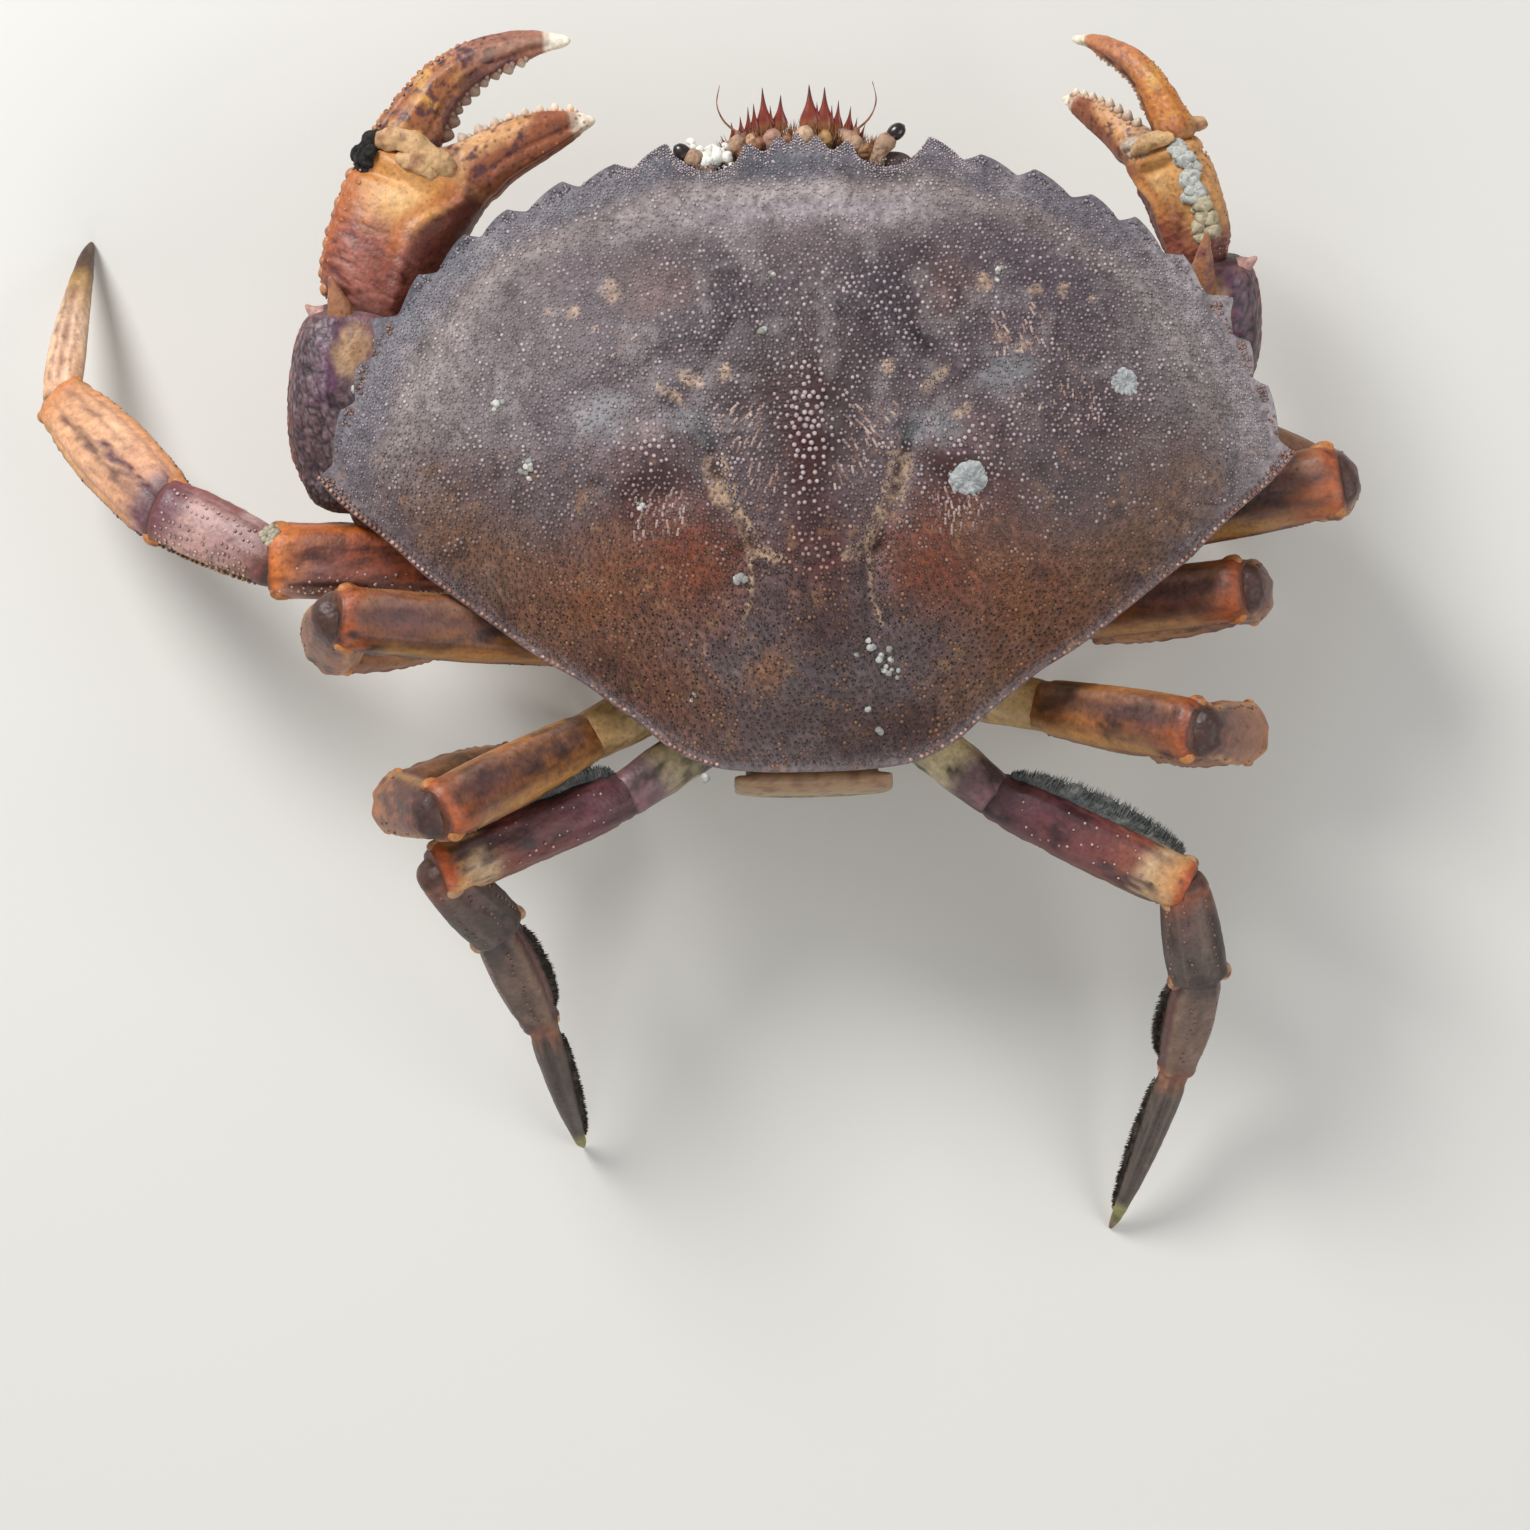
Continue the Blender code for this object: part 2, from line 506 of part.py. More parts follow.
def build_leg(side_name, number):
    """The five segments of one walking leg, from the body to the tip on the floor."""
    side = 1 if side_name == "left" else -1
    x, y, z = LEG_ROOTS[number]
    joints, axes = [Vector((side * x, y, z))], []
    compasses = LEG_DIRECTIONS[side_name, number]
    lengths = LEG_LENGTHS[number]
    for compass, dip, length in zip(compasses, LEG_DIPS[side_name, number], lengths):
        axes.append(direction(side, compass, dip))
        joints.append(joints[-1] + axes[-1] * length)
    last_dip = math.degrees(math.asin(min(0.98, joints[-1].z / lengths[-1])))
    axes.append(direction(side, compasses[-1], last_dip))
    joints.append(joints[-1] + axes[-1] * lengths[-1])
    meshes = []
    for i, name in enumerate(LEG_SEGMENTS):
        last = i == len(LEG_SEGMENTS) - 1
        meshes.append(segment(joints[i], axes[i], lengths[i], LEG_WIDTHS[number][i], LEG_HEIGHTS[number][i],
                              SEGMENT_PROFILES[name], compasses[i], side, DACTYL_BOW if last else 0.0,
                              DACTYL_TIP if last else None))
    meshes = meet(meshes, joints, axes)
    meshes[-1] = cut(meshes[-1], Vector((0, 0, 0)), Vector((0, 0, -1)))
    return dict(zip(LEG_SEGMENTS, meshes))


def claw_frame(side_name, origin):
    """The placement of a claw: along the palm, toward the moving finger, and through its thickness."""
    along = Vector(CLAW_ALONG[side_name]).normalized()
    across = Vector(CLAW_ACROSS[side_name])
    across = (across - along * across.dot(along)).normalized()
    through = along.cross(across)
    turn = Matrix((along, across, through)).transposed().to_4x4()
    return Matrix.Translation(origin) @ turn @ Matrix.Scale(CLAW_SCALE[side_name], 4)


def finger_loft(sections, frame, power=2.3):
    """A claw piece through its sections, each square to the line through their middles."""
    middles = [Vector((along, across, 0)) for along, across, _, _ in sections]
    rings = []
    for i, (_, _, half_width, half_thickness) in enumerate(sections):
        before, after = middles[max(i - 1, 0)], middles[min(i + 1, len(middles) - 1)]
        heading = (after - before).normalized()
        if heading.x > 0.86:
            heading = Vector((1, 0, 0))
        across = Vector((-heading.y, heading.x, 0))
        ring = oval(middles[i], across, UP, half_width, half_thickness, CLAW_SIDES, power)
        rings.append([frame @ point for point in ring])
    return loft(rings)


def edge_points(sections, first, last, count, edge):
    """Points along one edge of a claw piece: its place, and the way out of it."""
    points = []
    for k in range(count):
        place = first + (last - first) * (k + 0.5) / count
        i = min(int(place), len(sections) - 2)
        part = place - i
        low, high = sections[i], sections[i + 1]
        along, middle, half = (low[n] * (1 - part) + high[n] * part for n in range(3))
        heading = Vector((high[0] - low[0], high[1] - low[1], 0)).normalized()
        out = Vector((-heading.y, heading.x, 0)) * edge
        points.append((Vector((along, middle, 0)) + out * half, out))
    return points


def add_points(mesh, frame, points, sizes, radius, sink):
    """Fuse blunt cones to a mesh along an edge."""
    cones = []
    for (spot, out), size in zip(points, sizes):
        base, tip = frame @ (spot - out * sink), frame @ (spot + out * size)
        cones.append(cone(base, tip, radius * (0.7 + 0.3 * size / max(sizes)), 6, 0.7))
    return combine(mesh, cones, "UNION")


def build_claw_limb(side_name, rng):
    """Hip, merus, carpus, palm with its fixed finger, and the moving finger of one claw limb."""
    side = 1 if side_name == "left" else -1
    x, y, z = CLAW_ROOT
    joints, axes = [Vector((side * x, y, z))], []
    lengths, compasses = CLAW_LENGTHS[side_name], CLAW_DIRECTIONS[side_name]
    widths, heights = CLAW_WIDTHS[side_name], CLAW_HEIGHTS[side_name]
    for compass, dip, length in zip(compasses, CLAW_DIPS[side_name], lengths):
        axes.append(direction(side, compass, dip))
        joints.append(joints[-1] + axes[-1] * length)
    meshes = []
    for i, name in enumerate(LEG_SEGMENTS[:3]):
        meshes.append(segment(joints[i], axes[i], lengths[i], widths[i], heights[i],
                              SEGMENT_PROFILES[name], compasses[i], side))
    frame = claw_frame(side_name, joints[-1])
    axes.append(Vector(CLAW_ALONG[side_name]).normalized())
    palm = finger_loft(PALM_SECTIONS, frame)
    finger = finger_loft(FINGER_SECTIONS, frame)
    meshes.append(palm)
    meshes = meet(meshes, joints, axes)
    sizes = [1.5 * (1 - 0.4 * k / TOOTH_COUNT) * rng.uniform(0.85, 1.15) for k in range(TOOTH_COUNT)]
    palm = clear_of(meshes[3], [finger])
    root, tip = (Vector(point) for point in CARPUS_SPINE[side_name])
    meshes[2] = clear_of(combine(meshes[2], [cone(root, tip, CARPUS_SPINE_RADIUS, 8)], "UNION"), [palm])
    edge = edge_points(FINGER_SECTIONS, 2.4, 6.0, TOOTH_COUNT, -1)
    finger = add_points(finger, frame, edge, sizes, TOOTH_RADIUS, TOOTH_SINK)
    edge = edge_points(PALM_SECTIONS, 8.5, 11.2, TOOTH_COUNT, 1)
    palm = add_points(palm, frame, edge, sizes, TOOTH_RADIUS, TOOTH_SINK)
    knobs = [1.2 * rng.uniform(0.8, 1.2) for _ in range(CREST_KNOBS)]
    edge = edge_points(PALM_SECTIONS, 1.6, 4.9, CREST_KNOBS, 1)
    palm = add_points(palm, frame, edge, knobs, KNOB_RADIUS, TOOTH_SINK)
    return {"hip": meshes[0], "merus": meshes[1], "carpus": meshes[2], "palm": palm, "finger": finger}


# ---------------------------------------------------------------- the whole crab

def finish(name, mesh, material_name):
    """One named object in metres, with its material and smooth faces."""
    mesh.transform(Matrix.Scale(MM, 4))
    mesh.name = name
    mesh.materials.clear()
    mesh.materials.append(make_material(material_name))
    mesh.shade_smooth()
    mesh.set_sharp_from_angle(angle=math.radians(35))
    piece = bpy.data.objects.new(name, mesh)
    bpy.context.scene.collection.objects.link(piece)
    return piece


def centre_on_floor(pieces):
    """Move every mesh so that the middle of the crab's box stands over the origin."""
    lows, highs = [], []
    for axis in range(2):
        values = [vert.co[axis] for piece in pieces for vert in piece.data.vertices]
        lows.append(min(values))
        highs.append(max(values))
    shift = Matrix.Translation((-(lows[0] + highs[0]) / 2, -(lows[1] + highs[1]) / 2, 0))
    for piece in pieces:
        piece.data.transform(shift)


def build_crab():
    """Every node of the crab, by name: its mesh and its finish."""
    rng = random.Random(7)
    nodes = {}
    carapace, underbody = build_carapace(), build_underbody()
    legs = {(side_name, number): build_leg(side_name, number) for side_name, number in LEG_DIRECTIONS}
    claws = {side_name: build_claw_limb(side_name, rng) for side_name in ("left", "right")}
    for (side_name, number), leg in legs.items():
        leg["hip"] = clear_of(leg["hip"], [underbody])
        if number > 1:
            leg["hip"] = clear_of(leg["hip"], [legs[side_name, number - 1]["hip"]])
        for name, mesh in leg.items():
            nodes[f"{side_name}_leg_{number}_{name}"] = (mesh, "leg_tip" if name == "dactyl" else "leg")
    for side_name, claw in claws.items():
        claw["hip"] = clear_of(claw["hip"], [underbody, legs[side_name, 1]["hip"]])
        claw["carpus"] = clear_of(claw["carpus"], [underbody, carapace])
        claw["merus"] = clear_of(claw["merus"], [underbody, legs[side_name, 1]["merus"]])
        for name, mesh in claw.items():
            nodes[f"{side_name}_claw_{name}"] = (mesh, "claw" if name in ("palm", "finger") else "arm")
    for side_name, side in (("left", 1), ("right", -1)):
        mouth = build_mouth_plate(side, underbody)
        nodes[f"{side_name}_eye"] = (build_eye(side, [carapace, underbody]), "eye")
        nodes[f"{side_name}_antenna"] = (build_antenna(side, [carapace, underbody, mouth]), "feeler")
        nodes[f"{side_name}_mouth_plate"] = (mouth, "mouth")
    nodes["abdomen"] = (build_abdomen(underbody), "underside")
    nodes["carapace"] = (carapace, "shell")
    nodes["underbody"] = (underbody, "underside")
    return nodes


def main():
    """Clear the scene and place the crab."""
    for item in list(bpy.data.objects):
        bpy.data.objects.remove(item)
    pieces = [finish(name, mesh, material_name) for name, (mesh, material_name) in build_crab().items()]
    centre_on_floor(pieces)


main()
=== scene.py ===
"""The looks of a dungeness crab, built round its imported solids.

The crab is modelled in millimetres in its own frame: the origin is on the floor under the middle of the
shell, +Z is up, the crab faces -Y and its left side is +X. A Place carries each finished mesh to the frame
of the solids. Every limb is a chain of articles, the hard lengths between two joints, swept round a straight
line and then given their ridges, grooves and colours.
"""
import itertools
import logging
import math
import random
from dataclasses import dataclass, field
from enum import Enum
from typing import Any, Sequence

import bmesh
import bpy
import numpy as np
from mathutils import Matrix, Vector


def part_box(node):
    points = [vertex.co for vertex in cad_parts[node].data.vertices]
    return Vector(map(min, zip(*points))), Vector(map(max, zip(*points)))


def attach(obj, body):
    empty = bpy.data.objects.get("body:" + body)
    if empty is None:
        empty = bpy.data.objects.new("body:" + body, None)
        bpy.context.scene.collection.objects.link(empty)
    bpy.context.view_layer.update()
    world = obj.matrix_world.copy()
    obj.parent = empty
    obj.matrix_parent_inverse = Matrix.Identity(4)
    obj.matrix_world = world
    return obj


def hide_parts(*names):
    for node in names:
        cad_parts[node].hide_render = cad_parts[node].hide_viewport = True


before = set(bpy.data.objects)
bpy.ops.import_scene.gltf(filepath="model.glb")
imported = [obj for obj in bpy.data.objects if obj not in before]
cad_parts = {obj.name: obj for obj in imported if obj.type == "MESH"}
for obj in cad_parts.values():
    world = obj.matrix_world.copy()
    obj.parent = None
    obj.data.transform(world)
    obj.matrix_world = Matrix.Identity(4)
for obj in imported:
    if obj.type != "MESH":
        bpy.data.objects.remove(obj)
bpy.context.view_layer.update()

LOG = logging.getLogger("crab")
MM = 0.001
BODY = "root"


class Side(Enum):
    """A side of the crab, and the sign of its x."""
    LEFT = 1
    RIGHT = -1

    @property
    def word(self) -> str:
        """The side's name as the solids spell it."""
        return self.name.lower()


# ---------------------------------------------------------------- numbers, colours and noise

def linear(hex_code: str) -> np.ndarray:
    """Turn an sRGB hex colour to linear light.

    Args:
        hex_code: Six hex digits.

    Returns:
        Red, green and blue in linear light.
    """
    channels = np.array([int(hex_code[k:k + 2], 16) / 255 for k in (0, 2, 4)])
    return np.where(channels <= 0.04045, channels / 12.92, ((channels + 0.055) / 1.055) ** 2.4)


def mix(first: np.ndarray, second: np.ndarray, share: np.ndarray) -> np.ndarray:
    """Blend two rows of colours by a share for each row."""
    return first + (second - first) * np.clip(share, 0, 1)[:, None]


def tone(colours: np.ndarray, hex_code: str, share: np.ndarray) -> np.ndarray:
    """Lay a hex colour over rows of colours by a share for each row."""
    return mix(colours, linear(hex_code), share)


def flood(points: np.ndarray, hex_code: str) -> np.ndarray:
    """One hex colour for every row of points."""
    return np.tile(linear(hex_code), (len(points), 1))


def ease(value: np.ndarray, low: float, high: float) -> np.ndarray:
    """Go smoothly from 0 at low to 1 at high."""
    part = np.clip((value - low) / (high - low), 0, 1)
    return part * part * (3 - 2 * part)


def wander(points: np.ndarray, size: float, seed: int = 0) -> np.ndarray:
    """Smooth noise that needs no texture.

    Args:
        points: Rows of x, y and z in millimetres.
        size: Millimetres from one swell to the next.
        seed: Picks another pattern.

    Returns:
        A value from -1 to 1 for each row.
    """
    cell = points / size + seed * 17.31
    base = np.floor(cell).astype(np.int64)
    part = cell - base
    part = part * part * (3 - 2 * part)
    total = np.zeros(len(points))
    for corner in itertools.product((0, 1), repeat=3):
        node = (base + corner) @ np.array((73856093, 19349663, 83492791), np.int64) + seed * 7919
        node = (node ^ (node >> 13)) * 1274126177
        value = ((node ^ (node >> 16)) & 65535) / 32767.5 - 1
        total += value * np.prod(np.where(corner, part, 1 - part), axis=1)
    return total


def cloud(points: np.ndarray, size: float, low: float, high: float, seed: int) -> np.ndarray:
    """Patches with frayed edges, from 0 outside them to 1 inside."""
    return ease(wander(points, size, seed) + 0.5 * wander(points, size / 2.3, seed + 1), low, high)


def near_line(points: np.ndarray, path: Sequence[Sequence[float]]) -> np.ndarray:
    """Distance from each point to a line of straight lengths, in as many axes as the line has.

    Args:
        points: Places, one row each.
        path: The corners of the line.

    Returns:
        Each point's distance from the line.
    """
    spots = np.array(path, float)
    flat = points[:, :spots.shape[1]]
    best = np.full(len(points), 1e9)
    for start, end in zip(spots, spots[1:]):
        step = end - start
        part = np.clip(((flat - start) @ step) / max(step @ step, 1e-9), 0, 1)
        best = np.minimum(best, np.linalg.norm(flat - start - part[:, None] * step, axis=1))
    return best


def smooth_path(points: Sequence[Sequence[float]], count: int) -> np.ndarray:
    """Points at equal steps on a soft curve through given points.

    Args:
        points: What the curve passes through.
        count: How many points to return.

    Returns:
        Rows of coordinates.
    """
    given = np.array(points, float)
    padded = np.vstack((2 * given[0] - given[1], given, 2 * given[-1] - given[-2]))
    fine = []
    for k in range(1, len(padded) - 2):
        before, start, end, after = padded[k - 1:k + 3]
        for t in np.linspace(0, 1, 12, endpoint=False):
            fine.append(0.5 * (2 * start + (end - before) * t
                               + (2 * before - 5 * start + 4 * end - after) * t ** 2
                               + (3 * start - before - 3 * end + after) * t ** 3))
    fine.append(given[-1])
    return spaced(np.array(fine), count)


def spaced(points: np.ndarray, count: int) -> np.ndarray:
    """The given number of points at equal distances along a line.

    Args:
        points: The line, one corner a row.
        count: How many places are wanted.

    Returns:
        The places, one row each.
    """
    reach = np.concatenate(([0], np.cumsum(np.linalg.norm(np.diff(points, axis=0), axis=1))))
    wanted = np.linspace(0, reach[-1], count)
    return np.stack([np.interp(wanted, reach, points[:, k]) for k in range(points.shape[1])], axis=1)


def unit(vector: Sequence[float]) -> np.ndarray:
    """A vector of length one."""
    array = np.array(vector, float)
    return array / np.linalg.norm(array)


# ---------------------------------------------------------------- finishes

def add(tree: bpy.types.NodeTree, kind: str, settings: dict[Any, Any] | None = None,
        links: dict[Any, bpy.types.NodeSocket] | None = None) -> bpy.types.Node:
    """Add a node with its settings and links.

    Args:
        tree: The node tree that it goes into.
        kind: The node's type name.
        settings: A value for each of the node's own settings or, by name or number, its sockets.
        links: A source for each socket, by name or number.

    Returns:
        The new node.
    """
    node = tree.nodes.new(kind)
    for key, value in (settings or {}).items():
        if isinstance(key, str) and hasattr(node, key):
            setattr(node, key, value)
        else:
            node.inputs[key].default_value = value
    for key, source in (links or {}).items():
        tree.links.new(source, node.inputs[key])
    return node


@dataclass(frozen=True)
class Finish:
    """A material that reads its colour from the mesh's tint and adds what is finer than the mesh.

    Sizes are in millimetres. Mottle changes the colour's brightness, freckles are small dark spots, and
    grain and pores are the two scales of bump.
    """
    name: str
    roughness: float
    roughness_spread: float = 0.1
    mottle_size: float = 2.5
    mottle: float = 0.25
    freckle_colour: str = "2e2220"
    freckle_size: float = 1.1
    freckle_share: float = 0.0
    grain_size: float = 0.9
    grain_height: float = 0.05
    pore_size: float = 0.35
    pore_height: float = 0.02
    coat: float = 0.0
    coat_roughness: float = 0.2
    sheen: float = 0.0
    depth: float = 0.0
    specular: float = 0.5

    def make(self) -> bpy.types.Material:
        """Build the node material, once for each finish.

        Returns:
            The material.
        """
        found = bpy.data.materials.get(self.name)
        if found is not None:
            return found
        material = bpy.data.materials.new(self.name)
        material.use_nodes = True
        tree = material.node_tree
        tree.nodes.clear()
        place = add(tree, "ShaderNodeTexCoord").outputs["Object"]
        tint = add(tree, "ShaderNodeAttribute", {"attribute_name": "tint"}).outputs["Color"]
        spots = add(tree, "ShaderNodeAttribute", {"attribute_name": "spots"}).outputs["Fac"]
        mottle = add(tree, "ShaderNodeTexNoise", {"Scale": 1 / (self.mottle_size * MM), "Detail": 6.0,
                                                  "Roughness": 0.65}, {"Vector": place})
        lift = add(tree, "ShaderNodeMapRange", {"From Min": 0.25, "From Max": 0.75, "To Min": 1 - self.mottle,
                                                "To Max": 1 + self.mottle}, {"Value": mottle.outputs["Fac"]})
        shade = add(tree, "ShaderNodeMix", {"data_type": "RGBA", "blend_type": "MULTIPLY", 0: 1.0},
                    {6: tint, 7: lift.outputs["Result"]}).outputs[2]
        cells = add(tree, "ShaderNodeTexVoronoi", {"Scale": 1 / (self.freckle_size * MM), "Randomness": 0.9},
                    {"Vector": place}).outputs["Distance"]
        dot = add(tree, "ShaderNodeMapRange",
                  {"From Min": 0.16, "From Max": 0.34, "To Min": 1.0, "To Max": 0.0},
                  {"Value": cells}).outputs["Result"]
        sparse = add(tree, "ShaderNodeMapRange", {"From Min": 0.42, "From Max": 0.6, "To Min": 0.0,
                                                  "To Max": self.freckle_share},
                     {"Value": mottle.outputs["Fac"]}).outputs["Result"]
        where = add(tree, "ShaderNodeMath", {"operation": "ADD"}, {0: spots, 1: sparse}).outputs[0]
        freckle = add(tree, "ShaderNodeMath", {"operation": "MULTIPLY", "use_clamp": True},
                      {0: dot, 1: where}).outputs[0]
        colour = add(tree, "ShaderNodeMix", {"data_type": "RGBA", 7: (*linear(self.freckle_colour), 1.0)},
                     {0: freckle, 6: shade}).outputs[2]
        grain = add(tree, "ShaderNodeTexVoronoi",
                    {"feature": "SMOOTH_F1", "Scale": 1 / (self.grain_size * MM),
                     "Smoothness": 0.6}, {"Vector": place}).outputs["Distance"]
        pores = add(tree, "ShaderNodeTexNoise", {"Scale": 1 / (self.pore_size * MM), "Detail": 3.0},
                    {"Vector": place}).outputs["Fac"]
        rough = add(tree, "ShaderNodeMapRange", {"From Min": 0.3, "From Max": 0.7,
                                                 "To Min": self.roughness - self.roughness_spread,
                                                 "To Max": self.roughness + self.roughness_spread},
                    {"Value": mottle.outputs["Fac"]}).outputs["Result"]
        coarse = add(tree, "ShaderNodeBump",
                     {"Strength": 1.0, "Distance": self.grain_height * MM, "invert": True},
                     {"Height": grain}).outputs["Normal"]
        fine = add(tree, "ShaderNodeBump", {"Strength": 1.0, "Distance": self.pore_height * MM},
                   {"Height": pores, "Normal": coarse}).outputs["Normal"]
        shader = add(tree, "ShaderNodeBsdfPrincipled", {
            "Coat Weight": self.coat, "Coat Roughness": self.coat_roughness, "Sheen Weight": self.sheen,
            "Subsurface Weight": self.depth, "Subsurface Scale": MM, "Specular IOR Level": self.specular,
            "Subsurface Radius": (1.0, 0.5, 0.25)},
            {"Base Color": colour, "Roughness": rough, "Normal": fine})
        add(tree, "ShaderNodeOutputMaterial", {}, {"Surface": shader.outputs[0]})
        return material


# Weathered chitin, moulted and left to the sea: dull, finely pitted, each granule a shade apart.
SHELL = Finish("weathered_shell", 0.48, 0.1, 0.8, 0.5, "1e1413", 0.95, 0.4, 0.6, 0.12, 0.25, 0.05,
               specular=0.36)
# The same chitin on the claws, wet and worn smooth, so it takes a soft gloss.
CLAW = Finish("claw_chitin", 0.5, 0.12, 1.2, 0.3, "42201f", 1.3, 0.25, 0.7, 0.08, 0.3, 0.03, coat=0.08,
              coat_roughness=0.3, depth=0.04)
# Thinner chitin of the walking legs, with freckles and a low gloss.
LEG = Finish("leg_chitin", 0.5, 0.12, 1.2, 0.32, "2f1d1a", 1.2, 0.2, 0.8, 0.08, 0.3, 0.03, coat=0.06,
             coat_roughness=0.3, depth=0.03)
# Pale chitin of the underside, smooth and a little waxy.
BELLY = Finish("belly_chitin", 0.42, 0.08, 3.0, 0.12, "7a6a50", 1.4, 0.12, 1.2, 0.04, 0.3, 0.01, depth=0.1)
# Soft skin between two articles: matt and cream, with darker freckles.
SKIN = Finish("joint_skin", 0.6, 0.1, 1.5, 0.25, "54483a", 0.9, 0.2, 0.7, 0.1, 0.3, 0.03, depth=0.15)
# Stiff bristles and teeth of horn, clear enough for light to warm their edges.
HORN = Finish("chestnut_horn", 0.32, 0.06, 1.2, 0.15, "2a120c", 1.0, 0.0, 0.6, 0.02, 0.2, 0.01, coat=0.3,
              depth=0.1)
# Short dense hair that holds grey silt: no gloss, a soft edge.
FELT = Finish("silted_felt", 0.95, 0.05, 0.8, 0.4, "1c1c1a", 0.8, 0.7, 0.4, 0.12, 0.2, 0.08, sheen=0.05,
              specular=0.2)
# Barnacle plates, chalky lime.
LIME = Finish("barnacle_lime", 0.7, 0.1, 0.8, 0.18, "6f777a", 0.9, 0.15, 0.5, 0.1, 0.2, 0.05, specular=0.4)
# The eye's cornea: dark, under a thin clear coat.
CORNEA = Finish("cornea", 0.3, 0.06, 1.0, 0.2, "0a0605", 0.3, 0.0, 0.25, 0.01, 0.1, 0.002, coat=0.35,
                coat_roughness=0.05)


# ---------------------------------------------------------------- modelling by operators

def deselect() -> None:
    """Leave edit mode and select nothing."""
    if bpy.context.object and bpy.context.object.mode != "OBJECT":
        bpy.ops.object.mode_set(mode="OBJECT")
    bpy.ops.object.select_all(action="DESELECT")


def choose(piece: bpy.types.Object) -> None:
    """Make one object the selected and active one.

    Args:
        piece: The object to work on.
    """
    deselect()
    piece.select_set(True)
    bpy.context.view_layer.objects.active = piece


def modify(piece: bpy.types.Object, kind: str, **settings: Any) -> None:
    """Add a modifier to a piece and apply it.

    Args:
        piece: The object.
        kind: The modifier's type name.
        settings: Its values.
    """
    choose(piece)
    modifier = piece.modifiers.new("shape", kind)
    for key, value in settings.items():
        setattr(modifier, key, value)
    bpy.ops.object.modifier_apply(modifier=modifier.name)


def subdivide(piece: bpy.types.Object, levels: int) -> None:
    """Round a piece off by subdivision."""
    if levels:
        modify(piece, "SUBSURF", levels=levels, render_levels=levels)


def points_of(piece: bpy.types.Object) -> np.ndarray:
    """The places of a mesh's vertices, one row each.

    Args:
        piece: A mesh object.

    Returns:
        An array of places in millimetres.
    """
    flat = np.zeros(len(piece.data.vertices) * 3)
    piece.data.vertices.foreach_get("co", flat)
    return flat.reshape(-1, 3)


def normals_of(piece: bpy.types.Object) -> np.ndarray:
    """The outward direction at each vertex, one row each.

    Args:
        piece: A mesh object.

    Returns:
        An array of directions of length one.
    """
    flat = np.zeros(len(piece.data.vertices) * 3)
    piece.data.vertices.foreach_get("normal", flat)
    return flat.reshape(-1, 3)


def set_points(piece: bpy.types.Object, points: np.ndarray) -> None:
    """Move a mesh's vertices."""
    piece.data.vertices.foreach_set("co", points.astype(np.float32).ravel())
    piece.data.update()


def tube(name: str, rings: np.ndarray, levels: int = 2) -> bpy.types.Object:
    """Sweep a closed form through rings.

    The form is a cylinder whose sides are cut into stations, each moved to its place.

    Args:
        name: The object's name.
        rings: Stations by sides by coordinates, in millimetres. The number of sides is a multiple of four.
        levels: How often to subdivide.

    Returns:
        The object, with closed ends.
    """
    stations, sides = rings.shape[:2]
    deselect()
    bpy.ops.mesh.primitive_cylinder_add(vertices=sides, radius=1.0, depth=2.0, end_fill_type="NGON")
    piece = bpy.context.object
    piece.name = piece.data.name = name
    bpy.ops.object.mode_set(mode="EDIT")
    bpy.ops.mesh.select_all(action="DESELECT")
    body = bmesh.from_edit_mesh(piece.data)
    for edge in body.edges:
        edge.select_set(abs(edge.verts[0].co.z - edge.verts[1].co.z) > 1)
    bpy.ops.mesh.subdivide(number_cuts=stations - 2)
    bpy.ops.object.mode_set(mode="OBJECT")
    spots = points_of(piece)
    station = np.rint((spots[:, 2] + 1) / 2 * (stations - 1)).astype(int)
    turn = np.rint(np.arctan2(spots[:, 1], spots[:, 0]) / (2 * math.pi / sides)).astype(int) % sides
    set_points(piece, rings[station, turn])
    face_outward(piece)
    subdivide(piece, levels)
    return piece


def face_outward(piece: bpy.types.Object) -> None:
    """Merge doubled points and turn every face outward.

    Args:
        piece: A closed mesh object.
    """
    choose(piece)
    bpy.ops.object.mode_set(mode="EDIT")
    bpy.ops.mesh.select_all(action="SELECT")
    bpy.ops.mesh.remove_doubles(threshold=1e-5)
    bpy.ops.mesh.normals_make_consistent(inside=False)
    bpy.ops.object.mode_set(mode="OBJECT")


def oval_ring(middle: np.ndarray, across: np.ndarray, rise: np.ndarray, half_width: float, half_height: float,
              sides: int, power: float = 2.3) -> np.ndarray:
    """A ring of points on a rounded box.

    Args:
        middle: Its centre.
        across, rise: Unit vectors of its width and height.
        half_width, half_height: Its reach along them.
        sides: How many points.
        power: 2 is an ellipse, and more is boxier.

    Returns:
        One row for each point.
    """
    angle = 2 * math.pi * np.arange(sides) / sides
    cos, sin = np.cos(angle), np.sin(angle)
    over = np.sign(cos) * np.abs(cos) ** (2 / power) * half_width
    up = np.sign(sin) * np.abs(sin) ** (2 / power) * half_height
    return middle + over[:, None] * across + up[:, None] * rise


